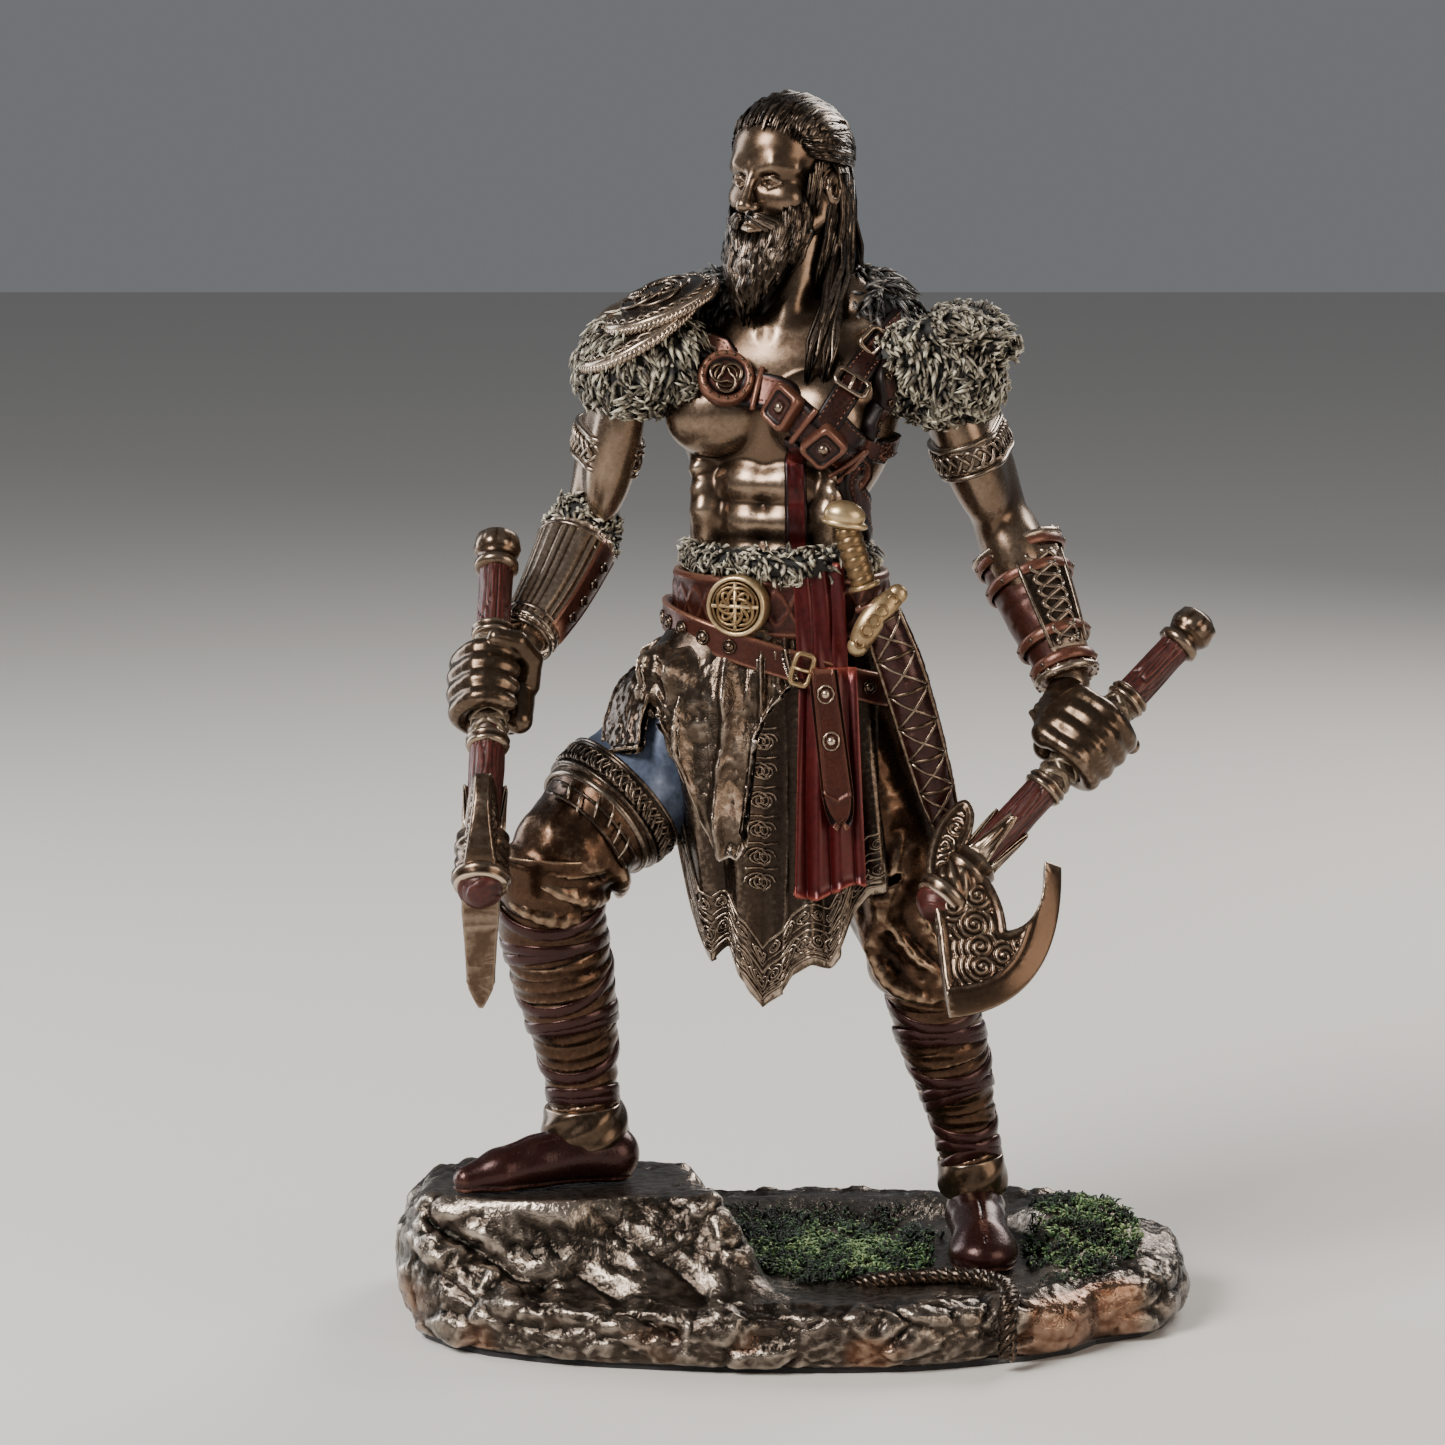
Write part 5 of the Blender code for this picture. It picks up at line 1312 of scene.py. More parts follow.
def make_straps(surface):
    leather, metal, red = [], [], []
    edge = lambda s, run: (0.35 * hump(np.abs(s), 0.86, 0.09)
                           + 0.06 * noise(np.stack([run + 0 * s, 9 * s + 0 * run, 0 * s * run], -1), 3))
    # The broad baldric
    knots = [(-22, -12, 225), (-14.6, -18, 218.6), (-4, -21.5, 210.8), (6, -22, 202.5), (14, -19, 194.5),
             (20, -12, 187), (23, -3, 181), (22, 6, 177)]
    part, line, out, side, grid = ribbon(surface, knots, 8.6, 1.5, 150, 15, 10, 0.4, edge)
    leather.append(part)
    stitched(leather, grid, 3)
    # Square plates riveted along it, each with a raised frame and a stud
    profile = ((0.0, 1.9), (0.55, 1.9), (0.70, 1.9), (0.74, 2.5), (0.88, 2.5), (0.95, 2.3), (1.0, 1.7),
               (1.0, -0.8))
    points, faces = turned(profile, 64, (4.9, 4.1), 6)
    for x in (-1.2, 8.2):
        k = int(np.argmin(np.abs(line[:100, 0] - x)))
        turn = np.stack([side[k], unit(np.gradient(line, axis=0)[k]), out[k]], 1)
        leather.append((line[k] + points @ turn.T, faces))
        metal.append(stud(line[k] + out[k] * 2.0, out[k], 1.35, 0.8))
    # Two keeper bands, and the laced end
    for x in (-8.0, 3.5, 13.6, 15.2):
        k = int(np.argmin(np.abs(line[:110, 0] - x)))
        a = np.linspace(-1.1, 1.1, 14)
        path = (line[k] + side[k] * (5.2 * np.sin(a * 1.4))[:, None]
                + out[k] * (0.9 * np.cos(a) - 0.3)[:, None])
        leather.append(tube(path, 0.75, 8, 0.8, out[k]))
    # Round boss with its three-cornered knot
    k = int(np.argmin(np.abs(line[:80, 0] + 14.6)))
    centre, normal = line[k] + out[k] * 0.9, unit(out[k] + vec(0.1, -0.6, 0.0))
    turn = facing(normal)
    profile = ((0.02, 1.0), (3.6, 0.9), (4.4, 0.7), (4.9, 1.5), (5.6, 1.9), (6.3, 1.5), (6.7, 0.6),
               (6.8, -1.4))
    points, faces = turned(profile, 90)
    leather.append((centre + points @ turn.T, faces))
    knot = torus_knot(2, 3, 2.5, 0.55, 0.32, 200) @ rot_z(30).T
    metal.append(closed_tube(centre + (knot + (0, 0, 1.35)) @ turn.T, 0.46, 8, normal))
    metal.append(ring_round(centre + normal * 1.3, normal, (2.6, 2.6), 0.34))
    for i in range(16):
        b = 2 * math.pi * i / 16
        metal.append(stud(centre + turn @ vec(5.6 * math.cos(b), 5.6 * math.sin(b), 1.9), normal, 0.42, 0.8))
    # Strap from the left shoulder, its buckle and long rounded tongue
    knots = [(27, -9, 228), (22, -13.5, 223), (17.5, -17, 217), (12.5, -19.5, 210), (8, -21, 203)]
    part, line, out, side, grid = ribbon(surface, knots, 6.6, 1.5, 90, 13, 8, 0.9, edge)
    leather.append(part)
    stitched(leather, grid, 2)
    for place, wide, long in ((0.34, 8.8, 6.4), (0.66, 8.2, 4.2)):
        k = int(place * 90)
        down = unit(np.gradient(line, axis=0)[k])
        metal.append(square_ring(line[k] + out[k] * 0.8, side[k], down, out[k], wide, long, 0.62))
        pin = [line[k] + out[k] * high + down * long * share for high,
               share in ((0.9, -0.5), (1.5, 0), (1.1, 0.5))]
        metal.append(tube(pin, 0.45, 7))
    knots = [(20.5, -15, 222), (22.5, -17, 216), (24.0, -17.0, 209), (23.0, -17.5, 203), (20.5, -18, 199)]
    part, line, out, side, grid = ribbon(surface, knots, 4.6, 1.4, 70, 13, 8, 2.2, edge, tip=3.0)
    leather.append(part)
    for place in (0.3, 0.5, 0.7, 0.85):
        k = int(place * 70)
        metal.append(ring_round(line[k] + out[k] * 0.1, out[k], (0.75, 0.75), 0.25))
    knots = [(10, -20, 206), (14.5, -19, 201), (20, -15, 197), (24, -9, 196), (25.5, -1, 198)]
    part, line, out, side, grid = ribbon(surface, knots, 5.4, 1.3, 70, 13, 8, 0.2, edge)
    leather.append(part)
    stitched(leather, grid, 2)
    # Crimson strip down to the fur at the waist
    knots = [(1.6, -19, 200), (1.7, -18.5, 192), (1.8, -17.5, 184), (1.9, -16.5, 176), (2.0, -15.5, 168)]
    part, line, out, side, grid = ribbon(surface, knots, 5.2, 1.2, 70, 13, 8, 0.2, edge)
    red.append(part)
    dress(leather, "chest_straps", LEATHER, extra=-0.04)
    dress(metal, "strap_fittings", BRONZE, (2, 8), (4.5, 2.0), -0.03)
    dress(red, "crimson_strip", RED)


# Waist: fur trim, belts and buckle

LOW_BELT_CENTRE = vec(-0.5, 2.0, 147.6)
LOW_BELT_RADII = (28.4, 23.8)
LOW_BELT_SLOPE = -0.31


def make_waist():
    trim = Bundle()
    ring = ring_round((-2.0, 2.0, 170.5), (0, 0, 1), (22.4, 18.0), 3.4, HIP_TURN, 90)
    trim.form(*ring, 0.06)
    spots, normals = scatter(ring[0], ring[1][0], 1.25)
    outward = unit(np.stack([spots[:, 0] + 2, spots[:, 1] - 2, 0 * spots[:, 0]], 1))
    flow = unit(outward * 0.35 + np.stack([0 * spots[:, 0], 0 * spots[:, 0],
                                           np.where(noise(spots * 0.22, 9) > -0.25, -1.0, 0.8)], 1))
    fur(trim, spots, normals, flow, 4.4, 0.72, 0.7, 0.8)
    # The fur cuff at the right elbow
    knots = [(-46.6, 11.4, 181.5, 6.9), (-49.0, 8.4, 176.0, 8.2), (-51.4, 3.6, 171.0, 7.4)]
    points, faces = sleeve(knots, 24, 40)
    trim.form(points, faces, 0.06)
    spots, normals = scatter(points, faces[0], 1.2)
    flow = np.tile(unit(vec(-3, -6, -5)), (len(spots), 1))
    fur(trim, spots, normals, flow, 4.6, 0.72, 0.75, 1.0)
    trim.make("fur_trims", FUR, "antique_bronze")

    def emboss(run, v):
        border = 0.3 * hump(np.abs(v), 0.84, 0.07)
        cell = np.abs(np.sin(run * np.pi / 5.5))
        swing = 0.5 * np.sin(run * 2 * np.pi / 11.0)
        crossing = np.maximum(*(0.32 * np.exp(-((v - s * swing) / 0.13) ** 2) for s in (1, -1)))
        return border + crossing * (np.abs(v) < 0.72) + 0.05 * cell

    leather, metal, ivory = [], [], []
    leather.append(hoop((-1.5, 2.0, 160.5), (25.2, 20.6), 14.2, 0.9, HIP_TURN, None, emboss, 420, 26, 2.2))
    slope = lambda x, y: LOW_BELT_SLOPE * x
    rim = lambda run, v: 0.3 * hump(np.abs(v), 0.84, 0.09) + 0 * run
    wide, deep = LOW_BELT_RADII
    leather.append(hoop(LOW_BELT_CENTRE, LOW_BELT_RADII, 7.6, 1.0, 0.0, slope, rim, 360, 16))
    for i in range(26):
        a = math.radians(-168 + 13.0 * i)
        square = squarish(a, 2.5)
        out = unit(vec(math.cos(a) / wide, math.sin(a) / deep, 0))
        p = LOW_BELT_CENTRE + vec(wide * square * math.cos(a), deep * square * math.sin(a), 0)
        p = p + (0, 0, slope(*p[:2])) + out * 1.2
        if abs(i - 6) > 1:
            metal.append(stud(p, out, 1.25, 0.55))
            metal.append(ring_round(p + out * 0.1, out, (1.6, 1.6), 0.26, 0, 24))
    # Round buckle: rim, cross and endless knot
    centre, normal = vec(-11.8, -20.3, 161.4), unit(vec(-0.33, -0.94, 0.0))
    turn = facing(normal)
    profile = ((0.02, 1.5), (5.4, 1.3), (5.9, 1.5), (6.3, 2.3), (6.9, 2.4), (7.3, 1.8), (7.4, -2.0))
    points, faces = turned(profile, 96)
    ivory.append((centre + points @ turn.T, faces))
    for p, q, size, swing in ((3, 4, 3.3, 0.5), (1, 4, 2.7, 0.55)):
        knot = torus_knot(p, q, size, swing, 0.35, 360) @ rot_z(45).T
        ivory.append(closed_tube(centre + (knot + (0, 0, 2.1)) @ turn.T, 0.46, 8, normal))
    for b in (0, 90):
        line = (np.stack([np.linspace(-5.8, 5.8, 9), 0 * np.linspace(0, 1, 9), np.full(9, 2.3)], 1)
                @ rot_z(b).T)
        ivory.append(tube(centre + line @ turn.T, 0.5, 8, 0.9, normal))
    ivory.append(ring_round(centre + normal * 2.2, normal, (5.6, 5.6), 0.3))
    # The low belt's square buckle
    p, out, along = vec(3.2, -23.9, 146.7), unit(vec(0.0, -1, 0.05)), unit(vec(1, 0, LOW_BELT_SLOPE))
    side = np.cross(out, along)
    ivory.append(square_ring(p + out * 0.9, along, side, out, 4.4, 7.4, 0.62))
    ivory.append(tube([p + out * 1.2 - along * 2.4, p + out * 1.8, p + out * 1.2 + along * 2.4], 0.4, 7))
    dress(leather, "belts", LEATHER)
    dress(metal, "belt_studs", BRONZE, (2, 8), (4.0, 1.5), -0.08)
    dress(ivory, "buckles", IVORY, (3, 10), (4.5, 1.6), -0.05)


# Limbs: wraps, bands and bracers laid round a line with its own girth

class Limb:
    """A line with a girth, as (x, y, z, radius) knots, that bands and sleeves are laid round."""

    def __init__(self, knots, steps=160, up=(0, -1, 0)):
        line = spline(knots, steps)
        self.path, self.girth = line[:, :3], line[:, 3]
        self.tangent, self.side, self.top = frames(self.path, up)
        self.run = distances(self.path)
        self.length = self.run[-1]

    def pick(self, rows, run):
        return np.stack([np.interp(run, self.run, rows[:, k]) for k in range(rows.shape[1])], -1)

    def at(self, run, angle, lift=0.0):
        """A point at a distance along, degrees round from the front, and height over the girth."""
        run, angle, lift = np.broadcast_arrays(np.asarray(run, float), np.radians(angle),
                                               np.asarray(lift, float))
        radius = np.interp(run, self.run, self.girth) + lift
        out = self.out(run, np.degrees(angle))
        return self.pick(self.path, run) + out * radius[..., None]

    def out(self, run, angle):
        run, angle = np.broadcast_arrays(np.asarray(run, float), np.radians(angle))
        return (self.pick(self.side, run) * np.sin(angle)[..., None]
                + self.pick(self.top, run) * np.cos(angle)[..., None])

    def shell(self, low, high, relief, steps=90, sides=120, start=0.0, end=360.0):
        """A sleeve over part of the limb; relief(run, angle) is its height over the girth."""
        run = np.linspace(low, high, steps)[:, None]
        closed = end - start >= 360
        a = np.linspace(start, end, sides, endpoint=not closed)[None]
        lift = relief(run, a) + 0 * run * a
        p = self.at(run + 0 * a, a + 0 * run, lift)
        q = self.at(run + 0 * a, a + 0 * run, np.minimum(lift - 0.9, -0.6))
        loops = np.concatenate([p, q[::-1]], 0)
        rows, cols = loops.shape[:2]
        faces = [grid_faces(rows, cols, True, closed)]
        if not closed:
            k = np.arange(steps - 1)
            for col, flip in ((0, False), (cols - 1, True)):
                f = np.stack([k, k + 1, rows - 2 - k, rows - 1 - k], 1) * cols + col
                faces.append(f[:, ::-1] if flip else f)
        return loops.reshape(-1, 3), faces

    def band(self, run, radius, tilt=0.0, phase=0.0, lift=0.0, flat=0.55, start=0.0, end=360.0, sides=8):
        """A cord or strap round the limb, tilted by a length at an angle."""
        a = np.linspace(start, end, 90)
        r = run + tilt * np.cos(np.radians(a - phase))
        path = self.at(r, a, lift)
        up = self.out(r, a)
        if end - start >= 360:
            return closed_tube(path[:-1], radius, sides, up[:-1], flat)
        return tube(path, radius, sides, flat, up)

    def braid(self, run, width, strands, turns, thick, weave, lift, count):
        """Interlaced strands running round the limb."""
        parts = []
        a = np.linspace(0, 360, count, endpoint=False)
        for k in range(strands):
            p = np.radians(a) * turns + 2 * np.pi * k / strands
            r = run + width / 2 * np.sin(p)
            high = lift + weave * (np.sin(2 * p) if strands > 2 else np.cos(p))
            parts.append(closed_tube(self.at(r, a, high), thick, 7, self.out(r, a)))
        return parts


def wrapped(low, high, count, seed, thick=1.3):
    """Bandages one over another, each with its own tilt, creased along their length."""
    rng = np.random.default_rng(seed)
    places = np.linspace(low, high, count)
    tilt = rng.uniform(-2.6, 2.6, count)
    phase = rng.uniform(0, 360, count)
    half = (high - low) / count * rng.uniform(0.62, 0.95, count)
    order = rng.permutation(count)
    heights = rng.uniform(0, 1, count)

    def relief(run, angle):
        a = np.radians(angle)
        best = np.full(np.broadcast(run, angle).shape, 0.1)
        for k in order:
            line = places[k] + tilt[k] * np.cos(a - math.radians(phase[k])) + 0.5 * np.sin(2 * a + k)
            v = (run - line) / half[k]
            inside = np.abs(v) < 1
            face = (thick * (0.55 + 0.35 * heights[k]) * (1 - 0.55 * np.abs(v) ** 5)
                    + 0.16 * np.sin(v * 6.5 + 3 * np.sin(a + k)) + 0.35 * v * tilt[k] / 2.6)
            best = np.where(inside, np.maximum(face, best * 0.55), best)
        return best + 0.10 * fbm(np.stack([run * 0.5 + 0 * a, 2.5 * np.cos(a) + 0 * run,
                                           2.5 * np.sin(a) + 0 * run], -1), 3, seed)

    return relief


# Trousers, leg wraps and shoes

RIGHT_CALF = [(-56.2, -22, 103, 12.4), (-56.5, -22, 96, 12.0), (-55.8, -19.5, 84, 11.8),
              (-52.8, -15.5, 68, 10.9), (-50.4, -12, 53, 8.9), (-49.2, -10, 41, 7.6),
              (-48.8, -9.5, 30, 8.2)]
LEFT_CALF = [(33.8, -2.0, 72, 10.8), (35, -1, 66, 10.2), (36.5, 0.5, 58, 10.0), (40, 3, 46, 9.0),
             (43.2, 5.5, 33, 7.2), (45.4, 7, 21, 6.6), (46.0, 7.6, 14, 6.6)]


def fold(p, knots):
    """A soft ridge through (x, y, z, radius) knots."""
    return d_chain(p, [tuple(k) for k in spline(knots, 3 * len(knots))], 1.0)


def trouser_field(p):
    """Cloth over the raised right thigh and knee, with slack folds that follow the pull."""
    d = d_chain(p, [(-12, 5, 138, 15.8), (-26, -3.5, 126, 16.0), (-42, -12, 112, 15.4)], 2)
    d = join(d, d_chain(p, [(-40, -11.5, 114, 14.2), (-52.5, -20, 102.5, 13.2), (-56, -22, 97, 11.9)]), 3)
    for knots in ([(-66, -25, 104, 0.8), (-60, -32, 98.5, 1.6), (-50, -32, 93, 1.5), (-43, -24, 92, 0.8)],
                  [(-68, -22, 96, 0.8), (-62, -31, 90.5, 1.6), (-52, -31, 87.5, 1.4), (-45, -23, 88, 0.8)],
                  [(-45, -26, 103, 0.7), (-39, -24, 97, 1.4), (-40, -17, 92, 1.1)],
                  [(-34, -22, 116, 0.6), (-33, -19, 108, 1.3), (-38, -13, 99, 1.1)]):
        d = join(d, fold(p, knots), 3.6)
    for knots in ([(-68, -25, 100, 0.5), (-60, -34, 95, 0.8), (-49, -33, 90.5, 0.6)],
                  [(-62, -35, 102, 0.4), (-52, -34, 98.6, 0.7), (-44, -28, 98, 0.4)]):
        d = carve(d, fold(p, knots), 1.8)
    return d - (0.5 * noise(p * np.array([0.16, 0.16, 0.07], np.float32), 61)
                + 0.16 * noise(p * 0.5, 62)).astype(np.float32)


def left_trouser_field(p):
    d = d_chain(p, [(12, -1, 138, 16.2), (19, -2.5, 112, 15.4), (28, -3.5, 88, 13.7), (33, -2.5, 75, 12.8)],
                2)
    d = join(d, d_ball(p, (33.5, -2.5, 70.5), (13.6, 12.8, 6.6)), 2.5)
    for knots in ([(20, -13, 100, 0.6), (22, -16.5, 88, 1.3), (30, -16.8, 76, 1.5), (38, -13.5, 69, 1.0)],
                  [(17, -10, 92, 0.6), (19.5, -13, 80, 1.5), (24, -14.4, 70, 1.7), (33, -14.6, 65.5, 1.4),
                   (42, -9, 66, 1.0)], [(32, -16, 92, 0.5), (33, -16.8, 84, 1.1), (39, -14, 76, 1.2),
                                        (45, -6, 71, 1.0)], [(27, -16.4, 104, 0.5), (25, -17.4, 94, 1.2),
                                                             (20.5, -14.6, 80, 1.0)],
                  [(40, 6, 90, 0.5), (42, 6, 80, 1.3), (42, 4, 70, 1.4)],
                  [(20, 8, 84, 0.7), (22, 9, 74, 1.5), (30, 9.5, 67, 1.3)]):
        d = join(d, fold(p, knots), 3.4)
    for knots in ([(24, -18.0, 82, 0.5), (28, -18.2, 75, 1.1), (35, -17.0, 71, 0.7)],
                  [(20.5, -15.2, 90, 0.5), (26, -18.0, 96, 0.7)]):
        d = carve(d, fold(p, knots), 2.0)
    return d - (0.5 * noise(p * np.array([0.16, 0.16, 0.07], np.float32), 71)
                + 0.16 * noise(p * 0.5, 72)).astype(np.float32)


def shoe_field(p, knots, low, extra=None):
    d = d_chain(p, knots, 1.2)
    if extra is not None:
        d = join(d, d_ball(p, *extra), 2)
    d = np.maximum(d, low + 0.15 - p[:, 2])
    # The sole stands a little proud of the upper
    welt = np.maximum(d - 0.45, np.maximum(p[:, 2] - low - 1.5, low + 0.15 - p[:, 2]))
    return np.minimum(d, welt)


def make_legs():
    points, quads = skin(trouser_field, (-74, -42, 76), (6, 26, 158), 0.55)
    cloth = weather(make("right_trouser", points, quads, COPPER), (4, 20), (6.0, 2.4), 0.0)
    # Above the woven band the cloth is slate blue
    band, axis = vec(-42, -12.5, 113), unit(vec(-44, -29, -36))
    blue = ((points - band) @ axis < -3.4) & (points[:, 2] > 84)
    cloth.data.materials.append(BLUE)
    centre = blue[quads].mean(1) > 0.5
    cloth.data.polygons.foreach_set("material_index", centre.astype(np.int32))
    points, quads = skin(left_trouser_field, (-8, -24, 58), (52, 20, 158), 0.55)
    weather(make("left_trouser", points, quads, COPPER), (4, 20), (6.0, 2.4), 0.0)
    metal, straps = [], []
    # The woven band above the right knee
    thigh = Limb([(-12, 5, 138, 16.4), (-26, -3.5, 126, 16.6), (-42, -12, 112, 16.0),
                  (-52, -20, 103, 14.4)], 120, (0, -1, 0.4))
    place = thigh.length * 0.66 + 3.2
    rimmed = lambda run, a: 0.35 + 0.35 * hump(np.abs(run - place), 4.0, 0.5) + 0 * a
    metal.append(thigh.shell(place - 4.6, place + 4.6, rimmed, 30, 160))
    metal += thigh.braid(place, 4.6, 3, 17, 0.46, 0.3, 0.85, 560)
    metal += thigh.braid(place, 4.6, 2, 17, 0.40, 0.3, 0.8, 560)
    for d in (-3.9, 3.9):
        metal.append(thigh.band(place + d, 0.5, lift=0.7, flat=1.0))
    metal.append(thigh.shell(place + 5.2, place + 7.4, lambda run, a: 0.25 + 0 * run * a, 8, 120))
    # Lacing of the knee piece
    for i in range(6):
        run = thigh.length * 0.90 + 1.2 * math.sin(i * 1.7)
        angle = -34 + 15 * i
        path = thigh.at(np.array([run - 2.6, run, run + 2.6]), np.array([angle, angle + 4, angle + 9]),
                        np.array([0.2, 0.9, 0.2]))
        metal.append(tube(path, 0.32, 7, 0.9, thigh.out(run, angle)))
    for d in (-1.6, 1.9):
        metal.append(thigh.band(thigh.length * 0.90 + d, 0.45, 1.2, 20, 0.2, 0.9, -52, 66))
    dress(metal, "knee_band", DARK_BRONZE, (2, 8), (3.6, 1.6), -0.03)
    # Bandaged calves, dark straps wound crosswise over them
    wraps = []
    for knots, seed, count in ((RIGHT_CALF, 3, 13), (LEFT_CALF, 8, 12)):
        calf = Limb(knots, 150)
        wraps.append(calf.shell(0.5, calf.length - 1.0, wrapped(2, calf.length - 3, count, seed), 260, 150))
        rng = np.random.default_rng(seed + 20)
        for i in range(6):
            run = calf.length * (0.16 + 0.135 * i)
            tilt = (-1) ** i * rng.uniform(2.4, 4.2)
            for d in ((0.0, 1.5) if i % 2 else (0.0,)):
                straps.append(calf.band(run + d, 1.5, tilt, rng.uniform(-40, 40), 1.05, 0.26, 0, 360, 12))
    dress(wraps, "leg_wraps", COPPER, (3, 12), (9.0, 3.2), -0.03)
    dress(straps, "leg_straps", SHOE, (3, 10), (5.0, 1.0), -0.08)
    # Turned cuffs at the ankles
    cuffs = []
    for knots, least, bulge, length, folds, lean in (
            ([(-49.3, -10, 42, 7.8), (-48.8, -9.6, 35, 8.6), (-48.4, -9.4, 29, 9.4)], 0.9, 0.9, 9.4, 5, 1.0),
            ([(44.8, 6.6, 25, 7.0), (45.8, 7.2, 17, 7.3), (46.4, 7.8, 11, 7.4)], 0.7, 0.6, 9.0, 4, 0.8)):
        def puffed(run, a):
            arch = np.sin(np.clip((run - 3) / length, 0, 1) * np.pi) ** 0.6
            return least + bulge * arch + 0.22 * np.sin(np.radians(a) * folds + run * lean) + 0 * a

        cuffs.append(Limb(knots, 40).shell(3.0, 3.0 + length, puffed, 60, 120))
    dress(cuffs, "ankle_cuffs", BRONZE, (3, 12), (6.0, 2.4), -0.04)
    low = 20.5
    right = [(-42.5, -11, low + 6.4, 7), (-50, -13, low + 7.5, 7), (-60, -17, low + 6, 6.2),
             (-69, -20.8, low + 4.4, 5.4), (-76.5, -23.8, low + 3, 3.4)]
    left = [(46.3, 10.5, 6.4, 7), (46.6, 3.5, 8.5, 7.2), (47, -5, 7.2, 6.8), (47.4, -14, 5.2, 6.8)]
    seam = lambda p, knots: carve(shoe_field(p, right, low), d_chain(p, knots), 0.3)
    points, quads = skin(lambda p: seam(p, [(-52, -14, 34.6, 0.3), (-62, -18, 32.6, 0.3),
                                            (-72, -22, 28.4, 0.3)]), (-82, -32, 20), (-34, 0, 37), 0.45)
    weather(make("right_shoe", points, quads, SHOE), (4, 16), (7.0, 2.6), -0.04)
    points, quads = skin(lambda p: carve(shoe_field(p, left, 0.0, ((47.4, -15.5, 3.8), (8.4, 9.4, 5.8))),
                                         d_chain(p, [(46.6, -1.0, 15.6, 0.3), (47.2, -10, 13.0, 0.35),
                                                     (47.4, -17, 10.6, 0.3), (47.6, -22, 7.6, 0.25)]), 0.3),
                         (36, -28, -0.5), (58, 20, 18), 0.45)
    weather(make("left_shoe", points, quads, SHOE), (4, 16), (7.0, 2.6), -0.04)


# Skirt

FRONT_HEM = ((-36, 124), (-31, 121), (-26.5, 104), (-23.5, 89), (-21, 80), (-18, 76), (-14, 78), (-10, 72),
             (-6, 64), (1, 74), (10, 76), (15, 85), (19, 92), (28, 97), (36, 100))
BACK_HEM = ((-36, 124), (-20, 108), (-5, 100), (15, 98), (36, 100))
OVERSKIRT_HEM = ((-40, 124), (-31, 122), (-27.5, 120.5), (-24, 119), (-21.5, 113), (-19, 107.5),
                 (-16.8, 104), (-14, 101.5), (-11.6, 100.5), (-10.6, 103), (-9.8, 114), (-8.0, 130),
                 (-4, 138), (1, 144))
SKIRT_TOP = 156
THIGH_SWELL = ((0.0, 0.10), (0.2, 0.32), (0.55, 0.33), (0.75, 0.05), (1.0, -0.20))


def along(line, x):
    return np.interp(x, [a for a, _ in line], [b for _, b in line])


def skirt(angle, share, lift=0.0):
    """A point of the skirt: the angle in radians round the hips, share 0 at the belt to 1 at the hem."""
    a, t = np.broadcast_arrays(np.asarray(angle, float), np.asarray(share, float))
    square = squarish(a, 2.5)
    flare = 0.35 * t + 0.65 * t * t
    pleat = 1.5 * np.sin(13 * a + 0.6) + 0.9 * np.sin(23 * a + 2.0)
    sharp = 1.1 * (1 - 2 * np.abs(np.sin(6.5 * a + 1.1 + 0.4 * np.sin(3 * t + 2 * a))) ** 0.6)
    pleat = (pleat + sharp) * t + 0.5 * np.sin(17 * a + 3 * t) * t
    # The raised thigh pushes the cloth out below the belt; the hem falls back under it
    from_thigh = (np.degrees(a) - 220 + 180) % 360 - 180
    swollen = 1 + np.exp(-(from_thigh / 30) ** 2) * along(THIGH_SWELL, t)
    wide = (26.5 + 4.5 * flare) * square * swollen + pleat + lift
    deep = (21.5 + 6.5 * flare) * square * swollen + pleat + lift
    x = wide * np.cos(a) - 0.5
    hem = np.where(np.sin(a) < 0, along(FRONT_HEM, x), along(BACK_HEM, x)) + 1.2 * np.sin(17 * a)
    return np.stack([x, deep * np.sin(a) + 2.0, SKIRT_TOP + (hem - SKIRT_TOP) * t], -1)


def skirt_share(angle, above):
    """How far down the skirt a line runs that stays a height above the hem."""
    p = skirt(angle, np.ones_like(angle))
    return 1 - above / (SKIRT_TOP - p[..., 2])


def cloth_sheet(surface_of, thick, steps, rows):
    """A closed thin sheet from a grid function of (u, v) in 0..1 that returns points."""
    u, v = np.meshgrid(np.linspace(0, 1, steps), np.linspace(0, 1, rows), indexing="ij")
    p = surface_of(u, v)
    du = np.gradient(p, axis=0)
    dv = np.gradient(p, axis=1)
    n = unit(np.cross(du, dv))
    q = p - n * thick
    count = steps * rows
    quads = grid_faces(steps, rows, False, False)
    i, j = np.arange(steps) * rows, np.arange(rows)
    rim = rim_faces((i, count - rows + j, (i + rows - 1)[::-1], j[::-1]), count)
    return (np.vstack([p.reshape(-1, 3), q.reshape(-1, 3)]),
            [np.vstack([quads, quads[:, ::-1] + count] + rim)])


